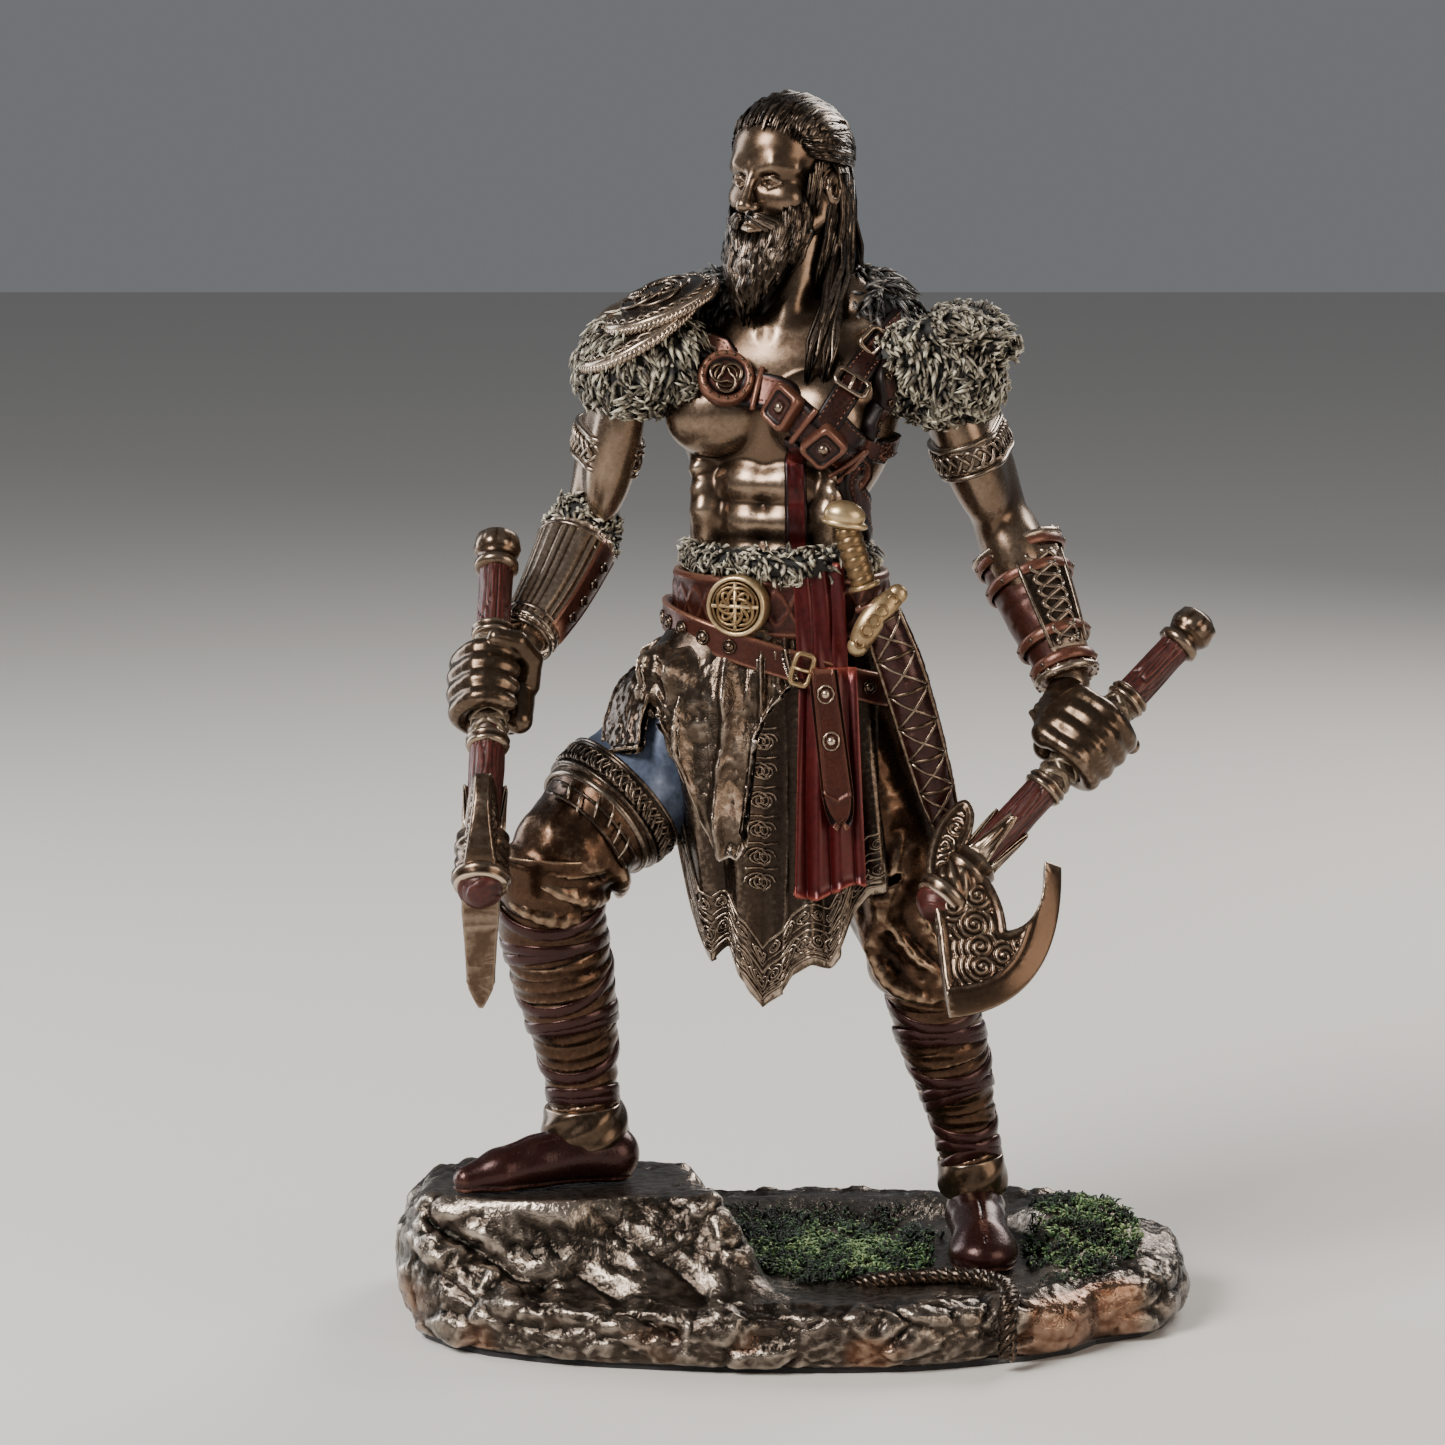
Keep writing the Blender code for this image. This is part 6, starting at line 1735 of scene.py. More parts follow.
def make_skirt():
    def under(u, v):
        a = 2 * np.pi * u
        creases = 0.35 * fbm(np.stack([9 * np.cos(a), 9 * np.sin(a), 2.2 * v], -1), 4, 21)
        beside = hump(np.degrees(a), 32, 24)
        creases = creases + 1.8 * beside * (np.abs(np.cos(7.5 * a + 0.5 + 0.3 * v)) ** 0.7 - 0.4)
        return skirt(-a, v * 0.999, creases * np.minimum(1, 4 * v))

    dark = [cloth_sheet(under, 1.6, 520, 90)]
    # Scrolls between raised borders round the hem and down the middle panel
    for above, lift, size in ((2.2, 0.2, 0.42), (8.6, 0.2, 0.42), (10.2, 0.2, 0.30), (14.5, 0.2, 0.42),
                              (3.4, 0.2, 0.3)):
        a = np.radians(np.linspace(-176, -14, 260))
        line = skirt(a, skirt_share(a, above + 0 * a), lift)
        dark.append(tube(line, size, 7, 1.0, (0, -1, 0)))
    for i, degree in enumerate(np.arange(-168, -20, 6.6)):
        a0 = math.radians(degree)
        for above, size in ((5.9, 1.9), (12.2, 1.35)):
            t = np.linspace(0, 1, 46)
            turns = 2 * np.pi * (2.1 * t + 0.25 * (i % 4)) * (-1) ** i
            r = size * (1 - 0.78 * t)
            a = a0 + r * np.cos(turns) / 27.0
            h = above + r * np.sin(turns)
            dark.append(tube(skirt(a, skirt_share(a, h), 0.35), 0.30 * (1.1 - 0.3 * t), 6, 1.0, (0, -1, 0)))
        link = np.linspace(0, 1, 16)
        a = a0 + math.radians(6.6) * link
        dark.append(tube(skirt(a, skirt_share(a, 5.9 + 2.3 * np.sin(np.pi * link) * (-1) ** i), 0.25), 0.28,
                         6, 1.0, (0, -1, 0)))
    for i, height in enumerate((129, 122, 115, 108, 101.5, 95.5)):
        t = np.linspace(0, 1, 50)
        for mirror in (-1, 1):
            turns = 2 * np.pi * 1.8 * t
            r = 2.3 * (1 - 0.75 * t)
            a = math.radians(-100.5 - 0.2 * i) + mirror * (r * np.cos(turns) + 0.6) / 26.0
            z = height + r * np.sin(turns)
            hem = skirt(a, np.ones_like(a))[..., 2]
            dark.append(tube(skirt(a, (SKIRT_TOP - z) / (SKIRT_TOP - hem), 0.4), 0.32, 6, 1.0, (0, -1, 0)))
        a = np.radians(-100.5) + np.linspace(-3.2, 3.2, 12) / 26.0
        hem = skirt(a, np.ones_like(a))[..., 2]
        dark.append(tube(skirt(a, (SKIRT_TOP - (height + 3.3) + 0 * a) / (SKIRT_TOP - hem), 0.3), 0.34, 6,
                         1.0, (0, -1, 0)))
    dress(dark, "skirt", DARK_BRONZE, (3, 18), (2.2, 1.9), 0.03)
    # The crumpled overskirt, open at the front, its edge running up to the belt
    def over(u, v):
        a = np.radians(-86 - 190 * u)
        share = np.full(a.shape, 0.5)
        front = (np.sin(a) < 0) & (a > np.radians(-180))
        for _ in range(6):
            here = skirt(a, share)
            full = SKIRT_TOP - (SKIRT_TOP - here[..., 2]) / share
            hem = np.where(front, along(OVERSKIRT_HEM, here[..., 0]),
                           122 + 4 * np.sin(9 * a) - 10 * smooth_step(-200, -260, np.degrees(a)))
            share = np.clip(0.5 * share + 0.5 * (SKIRT_TOP - hem) / np.maximum(SKIRT_TOP - full, 20), 0.05,
                            1.1)
        t = share * v
        length, drop = 27.0 * a, SKIRT_TOP - (SKIRT_TOP - hem) * v
        crumple = 0 * length - 0.9
        for k in range(21):
            at = (-131 + 4.5 * k + 1.1 * math.sin(5 * k)
                  + 2.6 * noise(np.stack([drop / 17 + 9 * k, 0 * drop, 0 * drop], -1), 30))
            wide = 1.0 + 0.35 * math.sin(3 * k)
            tall = (2.6 + 0.9 * math.sin(2.3 * k) + 2.0
                    * noise(np.stack([drop / 12 + 5 * k, 0 * drop, 0 * drop], -1), 35))
            crumple = np.maximum(crumple, tall / (1 + ((length - at) / wide) ** 2) ** 1.2 - 0.9)
        crumple = crumple + 1.0 * (0.3 - np.abs(noise(np.stack([length / 4.2, drop / 8, 0 * drop + 9], -1),
                                                      33)))
        crumple = crumple + 0.35 * (0.3 - np.abs(noise(np.stack([length / 1.6, drop / 3, 0 * drop + 9], -1),
                                                       36)))
        tuck = smooth_step(0.04, 0.34, v)
        edge = hump(1, v, 0.05)
        return skirt(a, t, -0.6 + (2.3 + crumple) * tuck + 0.9 * edge)

    crumpled = [cloth_sheet(over, 1.5, 640, 140)]
    dress(crumpled, "overskirt", CRUMPLED, (4, 18), (4.0, 1.4), 0.06)
    # The pebbled flap on the right hip
    line = spline([(-31.5, -9.0, 146), (-36.0, -13.0, 141.5), (-39.0, -18.0, 133), (-39.5, -21.5, 126)], 60)

    def hip(u, v):
        k = v * 59
        base = np.stack([np.interp(k, np.arange(60), line[:, c]) for c in range(3)], -1)
        half = 7.0 - 0.8 * v
        side = unit(vec(-0.75, 0.62, -0.22))
        wrap = -0.09 * (half * (u - 0.5) * 2) ** 2 * 0.30
        pebbles = (0.26 * noise(np.stack([u * 14, v * 17, 0 * u], -1), 41)
                   + 0.12 * noise(np.stack([u * 30, v * 36, 0 * u], -1), 42))
        roll = 0.6 * hump(np.abs(u - 0.5), 0.46, 0.05) + 0.9 * hump(v, 0.97, 0.035)
        out = unit(vec(-0.42, -0.72, 0.55))
        return (base + side * ((u - 0.5) * 2 * half)[..., None]
                + out * (wrap + pebbles + roll + 1.3)[..., None])

    dress([cloth_sheet(hip, 2.2, 90, 90)], "hip_flap", DARK_BRONZE, (3, 12), (7.0, 1.6), 0.02)
    # Crimson cloth: the part tucked under the belt, then the sash in long folds
    def tucked(u, v):
        x = 13.6 - 12.0 * u
        fold = (0.8 * np.abs(np.sin(np.pi * (u * 2.6 + 0.2 + 0.1 * np.sin(4 * v)))) ** 0.7
                + 0.25 * np.sin(u * 19 + v * 3))
        y = -20.4 - fold - 0.012 * (13.6 - x) - 1.6 * v + 0.010 * (x - 4) ** 2
        return np.stack([x + 1.2 * (v - 0.5), y, 171.5 - 27 * v], -1)

    def sash(u, v):
        w = 1 - u
        z = 147 - 52.5 * v - 1.8 * np.sin(w * np.pi * 1.6 + 0.4) * v
        x = 9.3 + (w - 0.5) * (13.6 + 3.2 * v) + 0.7 * v
        fold = (1.9 * np.abs(np.cos(np.pi * (w * 2.9 + 0.1 * np.sin(2.6 * v + 0.5)))) ** 0.8
                + 0.3 * np.sin(w * 21 + v * 2))
        y = -22.2 - 6.4 * v - 1.4 * np.sin(v * np.pi) - fold * (0.45 + 0.55 * v) + 4.9 * (w - 0.5) ** 2
        lip = 0.9 * hump(1, v, 0.025)
        return np.stack([x, y - lip, z], -1)

    dress([cloth_sheet(sash, 2.0, 170, 120), cloth_sheet(tucked, 1.2, 120, 60)], "sash", RED, (4, 14),
          (4.2, 1.7), -0.02)
    tail, studs = [], []

    def tongue(u, v):
        w = 1 - u
        z = 147 - 36 * v
        tip = np.sqrt(np.clip(1 - np.clip((v - 0.78) / 0.22, 0, 1) ** 1.6, 0.0, 1))
        half = (2.7 + 0.6 * v) * np.maximum(tip, 0.04)
        x = 8.0 + 4.4 * v + (w - 0.5) * 2 * half
        edge = 0.35 * hump(np.abs(w - 0.5), 0.43, 0.04)
        groove = 0.45 * np.exp(-((v - 0.80 - 0.10 * (0.5 - np.abs(w - 0.5))) / 0.012) ** 2)
        y = -25.6 - 5.6 * v - 1.0 * np.sin(v * np.pi) - edge - groove
        return np.stack([x, y, z], -1)

    tail.append(cloth_sheet(tongue, 1.7, 60, 130))
    for v in (0.16, 0.46):
        p = tongue(np.array([[0.5]]), np.array([[v]]))[0, 0]
        studs.append(stud(p + (0, -0.1, 0), (0, -1, 0.1), 1.15, 0.6))
        studs.append(ring_round(p + (0, -0.2, 0), (0, -1, 0.1), (1.9, 2.1), 0.28, 0, 28))
    dress(tail, "belt_tail", LEATHER, (3, 12), (7.0, 1.4), 0.0)
    dress(studs, "tail_studs", BRONZE, (2, 8), (7.0, 3.0), 0.10)


def make_dagger():
    ivory, dark, metal = [], [], []
    ivory.append(blob((13, -24.2, 183.2), (5.0, 3.8, 3.5), rot_y(10), 12, 28))
    ivory.append(blob((13.1, -24.0, 181.2), (5.6, 4.2, 1.5), rot_y(10), 10, 28))
    grip = Limb([(13.4, -23.8, 180.5, 2.5), (15.0, -24.1, 175, 2.9), (17.8, -24.3, 166.5, 2.6)], 60)
    ribs = lambda run, a: 0.42 * np.abs(np.sin(np.radians(a) / 2 + run * np.pi / 2.4)) ** 0.6
    ivory.append(grip.shell(0, grip.length, ribs, 90, 48))
    ivory.append(ring_round(grip.path[-1], grip.tangent[-1], (3.2, 3.2), 0.7))
    # Broad curved guard with five carved rings
    line = spline([(16.2, -25.6, 152.6), (18.4, -26.2, 156.8), (21.2, -25.6, 160.6), (25.4, -23.8, 164.6)],
                  40)
    swell = 2.3 + 1.0 * np.sin(np.linspace(0, np.pi, 40)) ** 0.8
    ivory.append(tube(line - (0, 1.2, 0), swell, 20, 0.7, (0, -1, 0)))
    for end in (line[0], line[-1]):
        ivory.append(blob(end - vec(0, 1.2, 0), (2.5, 1.9, 2.5), None, 12, 20))
    for k in (3, 12, 20, 28, 36):
        size = 0.42 * swell[k]
        ivory.append(ring_round(line[k] - vec(0, 1.1 + 0.7 * swell[k], 0), vec(0.1, -1, 0.1), (size, size),
                                0.34))
    # Scabbard: a long flattened body with crossed lacing and a dark mouth
    knots = [(19.5, -23.6, 163, 4.4), (22.5, -23.6, 157, 5.0), (27.6, -22.6, 143, 5.4),
             (34.0, -17.8, 121, 4.7), (37.6, -14.4, 108, 3.2), (38.4, -13.4, 104, 1.2)]
    body = Limb(knots, 120)

    def hide(run, a):
        grain = noise(np.stack([run * 0.8 + 0 * a, a / 24.0 + 0 * run, 0 * run * a], -1), 51)
        return 0.14 * grain + 0.3 * hump(np.abs((a % 360) - 90), 0, 9.0)

    dark.append(body.shell(0, body.length - 0.3, hide, 150, 64))
    count = 6
    for i in range(count):
        r0 = body.length * (0.08 + 0.82 * i / count)
        r1 = r0 + body.length * 0.82 / count
        for a0, a1 in ((-58, 62), (62, -58)):
            t = np.linspace(0, 1, 12)
            metal.append(tube(body.at(r0 + (r1 - r0) * t, a0 + (a1 - a0) * t, 0.10 + 0 * t), 0.40, 6, 0.75,
                              body.out(r0 + (r1 - r0) * t, a0 + (a1 - a0) * t)))
        metal.append(body.band(r0, 0.45, 0, 0, 0.1, 0.7))
    for angle in (-62, 66):
        t = np.linspace(body.length * 0.03, body.length * 0.95, 60)
        metal.append(tube(body.at(t, angle + 0 * t, 0.05), 0.55, 7, 1.0, body.out(t, angle + 0 * t)))
    metal.append(blob((38.4, -13.6, 105.2), (2.5, 2.5, 2.2), None, 10, 18))
    dress(ivory, "dagger", IVORY, (3, 12), (5.0, 1.8), -0.02)
    dress(dark, "scabbard", SHOE, (3, 12), (7.0, 2.6), -0.05)
    dress(metal, "scabbard_lacing", BRONZE, (2, 8), (4.0, 1.5), -0.05)


# Arm bands and bracers

def cuff(surface, centre, axis):
    """A braided band that follows the skin round a limb: three strands between two edge cords."""
    basis = facing(axis, (0.13, 0.2, 1))
    angles = np.linspace(0, 2 * np.pi, 180, endpoint=False)
    flat = np.stack([np.cos(angles), np.sin(angles), 0 * angles], 1) @ basis.T
    girth = {}
    for d in (-4.0, 0.0, 4.0):
        middle = np.asarray(centre) + basis[:, 2] * d
        hits = [surface.tree.ray_cast(middle.tolist(), out.tolist())[3] or 8.0 for out in flat]
        hits = np.minimum(hits, 12.5)
        for _ in range(12):
            hits = 0.25 * np.roll(hits, 1) + 0.5 * hits + 0.25 * np.roll(hits, -1)
        girth[d] = hits

    def at(d, lift):
        d = np.broadcast_to(d, angles.shape)
        r = girth[0.0] * (1 - np.abs(d) / 4) + np.where(d < 0, girth[-4.0], girth[4.0]) * np.abs(d) / 4
        return np.asarray(centre) + basis[:, 2] * d[:, None] + flat * (r + lift)[:, None]

    rows = np.stack([at(d, lift) for d, lift in ((-4.2, -0.6), (-4.2, 0.7), (-2, 0.8), (0, 0.8), (2, 0.8),
                                                 (4.2, 0.7), (4.2, -0.6))])
    parts = [(rows.reshape(-1, 3), [grid_faces(len(rows), 180, flip=True)])]
    for d in (-3.7, 3.7):
        parts.append(closed_tube(at(d, 1.0), 0.6, 8, flat))
    for k in range(3):
        phase = 9 * angles + 2 * np.pi * k / 3
        parts.append(closed_tube(at(2.2 * np.sin(phase), 1.1 + 0.34 * np.sin(2 * phase)), 0.48, 7, flat))
    return parts


def make_arm_gear(surface):
    metal, leather, dark = [], [], []
    for knots, share in (([(-40.5, 6.5, 208, 7.4), (-43.4, 8.6, 197, 7.6), (-46.2, 11.0, 185, 7.2)], 0.48),
                         ([(40.0, 4.6, 206, 8.2), (42.6, 5.6, 195.5, 8.6), (48.0, 8.6, 184, 8.2)], 0.44)):
        arm = Limb(knots, 60)
        place = arm.length * share
        metal += cuff(surface, arm.at(place, 0, -9.0 + 0 * place),
                      unit(arm.at(place + 1, 0, -9.0) - arm.at(place - 1, 0, -9.0)))
    # Right forearm: ridged splints under straps
    arm = Limb([(-49.0, 8.5, 176, 8.2), (-51.5, 3.0, 171, 8.0), (-56.5, -7.0, 161.5, 6.9),
                (-62.8, -18.0, 152.2, 5.4)], 100)
    long = arm.length

    def splints(run, a):
        share = run / long
        ridge = np.abs(np.cos(np.radians(a) * 7)) ** 0.7
        groove = hump(a % 51.43, 25.7, 3.2)
        return (0.95 + 0.55 * ridge - 0.5 * groove + 0.35 * hump(share, 0.12, 0.03)
                + 0.35 * hump(share, 0.9, 0.03))

    dark.append(arm.shell(5.0, long - 2.5, splints, 120, 220))
    # A laced leather strip lies beside the splints, on the forearm's right in the picture
    strip = 58
    edged = lambda run, a: 1.75 + 0.3 * hump(np.abs(a - strip), 24, 3.0) + 0 * run
    leather.append(arm.shell(6.0, long - 5.0, edged, 60, 40, strip - 28, strip + 28))
    for place in (0.30, 0.44, 0.58, 0.72):
        metal.append(ring_round(arm.at(long * place, strip, 2.0), arm.out(long * place, strip), (1.5, 1.2),
                                0.3, 0, 24))
    for place, size in ((0.16, 0.7), (0.84, 0.65), (0.90, 0.8), (0.96, 0.65)):
        metal.append(arm.band(long * place, size, 0.5 * math.sin(9 * place), 30, 1.3, 0.7, sides=10))
    # Left forearm
    arm = Limb([(53.0, 12.5, 176.5, 9.2), (55.8, 10.6, 170.5, 9.2), (60.5, 4.6, 158.5, 8.4),
                (65.2, -1.6, 147, 6.4), (67.4, -4.9, 140.8, 5.6)], 120)
    long = arm.length

    def bracer(run, a):
        share = run / long
        edge = 0.7 * hump(share, 0.17, 0.025) + 0.6 * hump(share, 0.93, 0.025)
        return 0.85 + edge + 0.14 * noise(np.stack([run * 0.7 + 0 * a, a / 14.0 + 0 * run, 0 * a * run],
                                                   -1), 52)

    leather.append(arm.shell(long * 0.14, long * 0.96, bracer, 110, 150))
    # The knotwork plate along its outer front
    plate_angle = 28
    framed = lambda run, a: 1.5 + 0.35 * hump(np.abs(a - plate_angle), 32, 3.0) + 0 * run
    metal.append(arm.shell(long * 0.24, long * 0.86, framed, 60, 50, plate_angle - 36, plate_angle + 36))
    t = np.linspace(0, 1, 260)
    run = long * (0.27 + 0.56 * t)
    for k in range(3):
        p = 2 * np.pi * (2.5 * t + k / 3)
        angle = plate_angle + 20 * np.sin(p)
        metal.append(tube(arm.at(run, angle, 1.75 + 0.3 * np.sin(3 * p)), 0.62, 7, 0.8, arm.out(run, angle)))
    for angle in (plate_angle - 34, plate_angle + 34):
        metal.append(tube(arm.at(run, angle + 0 * run, 1.9), 0.6, 8, 1.0, arm.out(run, angle + 0 * run)))
    for place in (0.20, 0.36, 0.74, 0.90):
        leather.append(arm.band(long * place, 1.4, 0.5, 200, 1.7, 0.45, sides=10))
        for angle in range(plate_angle + 60, plate_angle + 320, 40):
            metal.append(stud(arm.at(long * place, angle, 2.3), arm.out(long * place, angle), 0.6, 0.7))
    for place in (0.15, 0.955):
        metal.append(arm.band(long * place, 1.0, 0, 0, 1.5, 1.0))
        a = np.linspace(0, 360, 300, endpoint=False)
        metal.append(closed_tube(arm.at(long * place + 0.9 * np.sin(np.radians(a) * 16), a, 1.9 + 0 * a),
                                 0.4, 6, arm.out(long * place + 0 * a, a)))
    dress(metal, "arm_fittings", DARK_BRONZE, (2, 9), (4.5, 1.8), 0.0)
    dress(leather, "bracer_leather", LEATHER, (3, 12), (6.0, 1.8), -0.06)
    dress(dark, "splints", BRONZE, (3, 12), (9.0, 3.0), 0.14)


# Axes

def lathe(profile, steps, sides, relief=None):
    """A turned body along X from (x, radius) knots."""
    xs, rs = np.array([k[0] for k in profile], float), np.array([k[1] for k in profile], float)
    x = np.unique(np.concatenate([np.linspace(xs[0], xs[-1], steps), xs]))
    r = np.interp(x, xs, rs)
    a = np.linspace(0, 2 * np.pi, sides, endpoint=False)
    rr = np.repeat(r[:, None], sides, 1)
    if relief is not None:
        rr = rr + relief(x[:, None], a[None]) * np.minimum(1, rr)
    p = np.stack([x[:, None] + 0 * rr, rr * np.cos(a), rr * np.sin(a)], -1).reshape(-1, 3)
    ends = np.stack([np.arange(sides)[::-1], (len(x) - 1) * sides + np.arange(sides)])
    return p, [grid_faces(len(x), sides, flip=True), ends]


HALF_THICKNESS = ((-14, 1.2), (-9, 2.6), (-4, 3.9), (4, 4.1), (10, 3.4), (17, 2.9), (21, 2.6), (29, 2.4))


def bow(first, middle, last, steps):
    """Points on the smooth bend through three, without its last."""
    a, b, c = vec(*first), vec(*middle), vec(*last)
    t = np.arange(steps)[:, None] / steps
    return a * (1 - t) * (1 - 2 * t) + b * 4 * t * (1 - t) + c * t * (2 * t - 1)


def off_outline(x, y, outline):
    """Signed distance from a closed outline, negative inside it."""
    best, inside = np.full(x.shape, 99.0), np.zeros(x.shape, bool)
    for a, b in zip(outline, np.roll(outline, -1, 0)):
        u = b - a
        share = np.clip(((x - a[0]) * u[0] + (y - a[1]) * u[1]) / (u @ u), 0, 1)
        best = np.minimum(best, np.hypot(x - a[0] - share * u[0], y - a[1] - share * u[1]))
        if u[1]:
            inside ^= ((a[1] > y) != (b[1] > y)) & (x < a[0] + (y - a[1]) * u[0] / u[1])
    return np.where(inside, -best, best)


EDGE = np.vstack([bow((-24.0, 15.8), (0.5, 28.6), (22.0, 20.6), 24), [(22.0, 20.6)]])
HEAD_OUTLINE = np.vstack([EDGE, [(15.2, 12.6)], bow((8.6, 5.6), (5.0, 1.0), (0.0, -5.5), 6),
                          bow((0.0, -5.5), (-5.6, -9.8), (-13.0, -12.8), 6),
                          bow((-13.0, -12.8), (-20.8, -12.2), (-19.5, -7.4), 10),
                          bow((-19.5, -7.4), (-14.8, -4.6), (-9.5, -3.4), 5),
                          bow((-9.5, 4.5), (-7.0, 11.2), (-2.6, 17.0), 10),
                          bow((-2.6, 17.0), (-11.0, 18.8), (-21.6, 12.4), 14), [(-21.6, 12.4)],])
SCROLLS = ((1.5, 10.5, 1), (4.6, 15.0, -1), (8.0, 18.5, 1), (-2.4, 21.2, -1), (2.5, 20.5, 1),
           (-9.0, -8.0, 1), (-14.2, -8.6, -1), (-3.4, -4.0, 1), (1.6, 3.6, -1), (-4.4, 6.4, 1))


def axe_head_field(q):
    """The engraved head: X runs along the shaft from its place, Y is the reach, Z the thickness."""
    x, y = q[:, 0].astype(float), q[:, 1].astype(float)
    plan = off_outline(x, y, HEAD_OUTLINE)
    edge = np.full(x.shape, 99.0)
    for a, b in zip(EDGE, EDGE[1:]):
        u = b - a
        share = np.clip(((x - a[0]) * u[0] + (y - a[1]) * u[1]) / (u @ u), 0, 1)
        edge = np.minimum(edge, np.hypot(x - a[0] - share * u[0], y - a[1] - share * u[1]))
    half = np.interp(y, [k[0] for k in HALF_THICKNESS], [k[1] for k in HALF_THICKNESS])
    bevel = 5.6 - 0.4 * np.sin(x * 0.2)
    half = np.minimum(half, 0.45 + half * np.clip(edge / bevel, 0, 1) ** 0.8)
    half = half + 0.40 * hump(edge - bevel, 0.5, 0.5) * (plan < -0.4)
    rim = (edge > bevel + 1.2)
    half = half + 0.35 * hump(plan, -0.9, 0.45) * rim - 0.2 * hump(plan, -2.0, 0.4) * rim
    near, curl = np.full(x.shape, 99.0), np.zeros(x.shape)
    for cx, cy, way in SCROLLS:
        r = np.hypot(x - cx, y - cy)
        turn = np.cos(way * np.arctan2(y - cy, x - cx) + 4.0 * r)
        curl = np.where(r < near, turn, curl)
        near = np.minimum(near, r)
    half = half + 0.30 * np.clip(curl * 1.6, -1, 1) * smooth_step(-2.2, -3.0, plan) * rim
    return np.maximum(plan, np.abs(q[:, 2]) - half).astype(np.float32)


def make_axes():
    r, end = SHAFT, AXE_LENGTH
    wrap = GRIP_SHARE * end
    head_points, head_quads = skin(axe_head_field, (-26, -15, -6), (24, 31, 6), 0.34)
    for name, axe in (("right_axe", RIGHT_AXE), ("left_axe", LEFT_AXE)):
        def grain(x, a):
            ring = np.stack([x * 0.10 + 0 * a, 3.4 * np.cos(a) + 0 * x, 3.4 * np.sin(a) + 0 * x], -1)
            return 0.30 * (0.3 - np.abs(noise(ring * 1.5, 81))) + 0.12 * noise(ring * (2.0, 3.5, 3.5), 82) \
                - 0.35 * np.exp(-((np.abs(noise(ring * 0.8, 83))) / 0.05) ** 2)

        wood = [lathe([(4, r * 0.94), (wrap - 16, 0.98 * r), (wrap, r * 0.9), (wrap + 16, 0.99 * r),
                       (end - 12, 1.03 * r), (end - 10.5, 1.1 * r)], 300, 96, grain)]
        # The carved dome at the head
        def carving(x, a):
            reach = np.clip((end + 7.15 - x) / 5.0, 0, 1)
            return (0.34 * np.clip(2 * np.cos(3 * a + 5.5 * reach), -1, 1) * (x > end + 2.2)
                    * np.minimum(1, 2 * reach))

        wood.append(lathe([(end + 1.4, 1.2 * r), (end + 2.6, 1.22 * r), (end + 3.6, 1.17 * r),
                           (end + 4.6, 1.05 * r), (end + 5.6, .85 * r), (end + 6.4, .58 * r),
                           (end + 6.9, .3 * r), (end + 7.15, .12)], 90, 96, carving))
        p, f = merge(wood)
        weather(make(name + "_wood", axe.place(p), f, RED_WOOD), (2, 10), (7.0, 2.0), -0.10)
        metal = []
        knob = lambda x, a: 0.16 * np.abs(np.sin(5 * a)) * (x < 1.5) * (x > -3.6)
        metal.append(lathe([(-5, 0.1), (-4.6, .7 * r), (-3, 1.22 * r), (0, 1.34 * r), (2.2, 1.16 * r),
                            (3.0, 1.0 * r), (4.2, 1.28 * r), (5.6, 1.28 * r), (6.4, 1.0 * r),
                            (6.6, 0.9 * r)], 70, 80, knob))
        for x0 in (wrap - 15.2, wrap + 15.2):
            metal.append(lathe([(x0 - 1.8, .9 * r), (x0 - 1.5, 1.16 * r), (x0 - 0.7, 1.26 * r),
                                (x0, 1.08 * r), (x0 + 0.7, 1.26 * r), (x0 + 1.5, 1.16 * r),
                                (x0 + 1.8, .9 * r)], 24, 64))
        # Leather bound crosswise over the grip
        def creases(x, a):
            ring = np.stack([x * 0.8 + 0 * a, 3 * np.cos(a) + 0 * x, 3 * np.sin(a) + 0 * x], -1)
            return 0.05 * noise(ring, 84)

        binding = [lathe([(wrap - 14, r * 0.9), (wrap - 13.6, r * 1.0), (wrap + 13.6, r * 1.0),
                          (wrap + 14, r * 0.9)], 60, 64, creases)]
        t = np.linspace(0, 1, 260)
        for sign in (-1, 1):
            for k in range(3):
                x = wrap - 13.4 + 26.8 * t
                a = sign * 2 * np.pi * 2.4 * t + 2 * np.pi * k / 3
                over = r * 1.02 + 0.22 * np.cos(a * 3 + sign * np.pi / 2)
                line = np.stack([x, over * np.cos(a), over * np.sin(a)], 1)
                binding.append(tube(line, 0.95, 8, 0.42, np.stack([0 * a, np.cos(a), np.sin(a)], 1)))
        p, f = merge(binding)
        weather(make(name + "_binding", axe.place(p), f, BINDING), (2, 8), (8.0, 2.0), -0.04)
        # Collar, boss and pointed langets
        band = lambda x, a: 0.16 * np.sin(9 * a + 2 * x) * (x > end - 6.4) * (x < end - 1.8)
        metal.append(lathe([(end - 13, 1.04 * r), (end - 11, 1.5 * r), (end - 9, 1.46 * r),
                            (end - 8.4, 1.58 * r), (end - 7.4, 1.58 * r), (end - 6.8, 1.48 * r),
                            (end - 1.4, 1.54 * r), (end - 0.9, 1.66 * r), (end + 0.5, 1.66 * r),
                            (end + 1.2, 1.5 * r), (end + 2, 1.5 * r), (end + 2.2, 1.05 * r)], 60, 96, band))
        for angle in (0.0, math.pi / 2, math.pi, -math.pi / 2):
            metal.append(langet(angle, r, end))
        metal.append((head_points + (end, 0, 0), [head_quads]))
        p, f = merge(metal)
        piece = weather(make(name + "_metal", axe.place(p), f, AXE_BRONZE), (3, 10), (7.0, 2.2),
                        0.02)
        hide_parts(name)


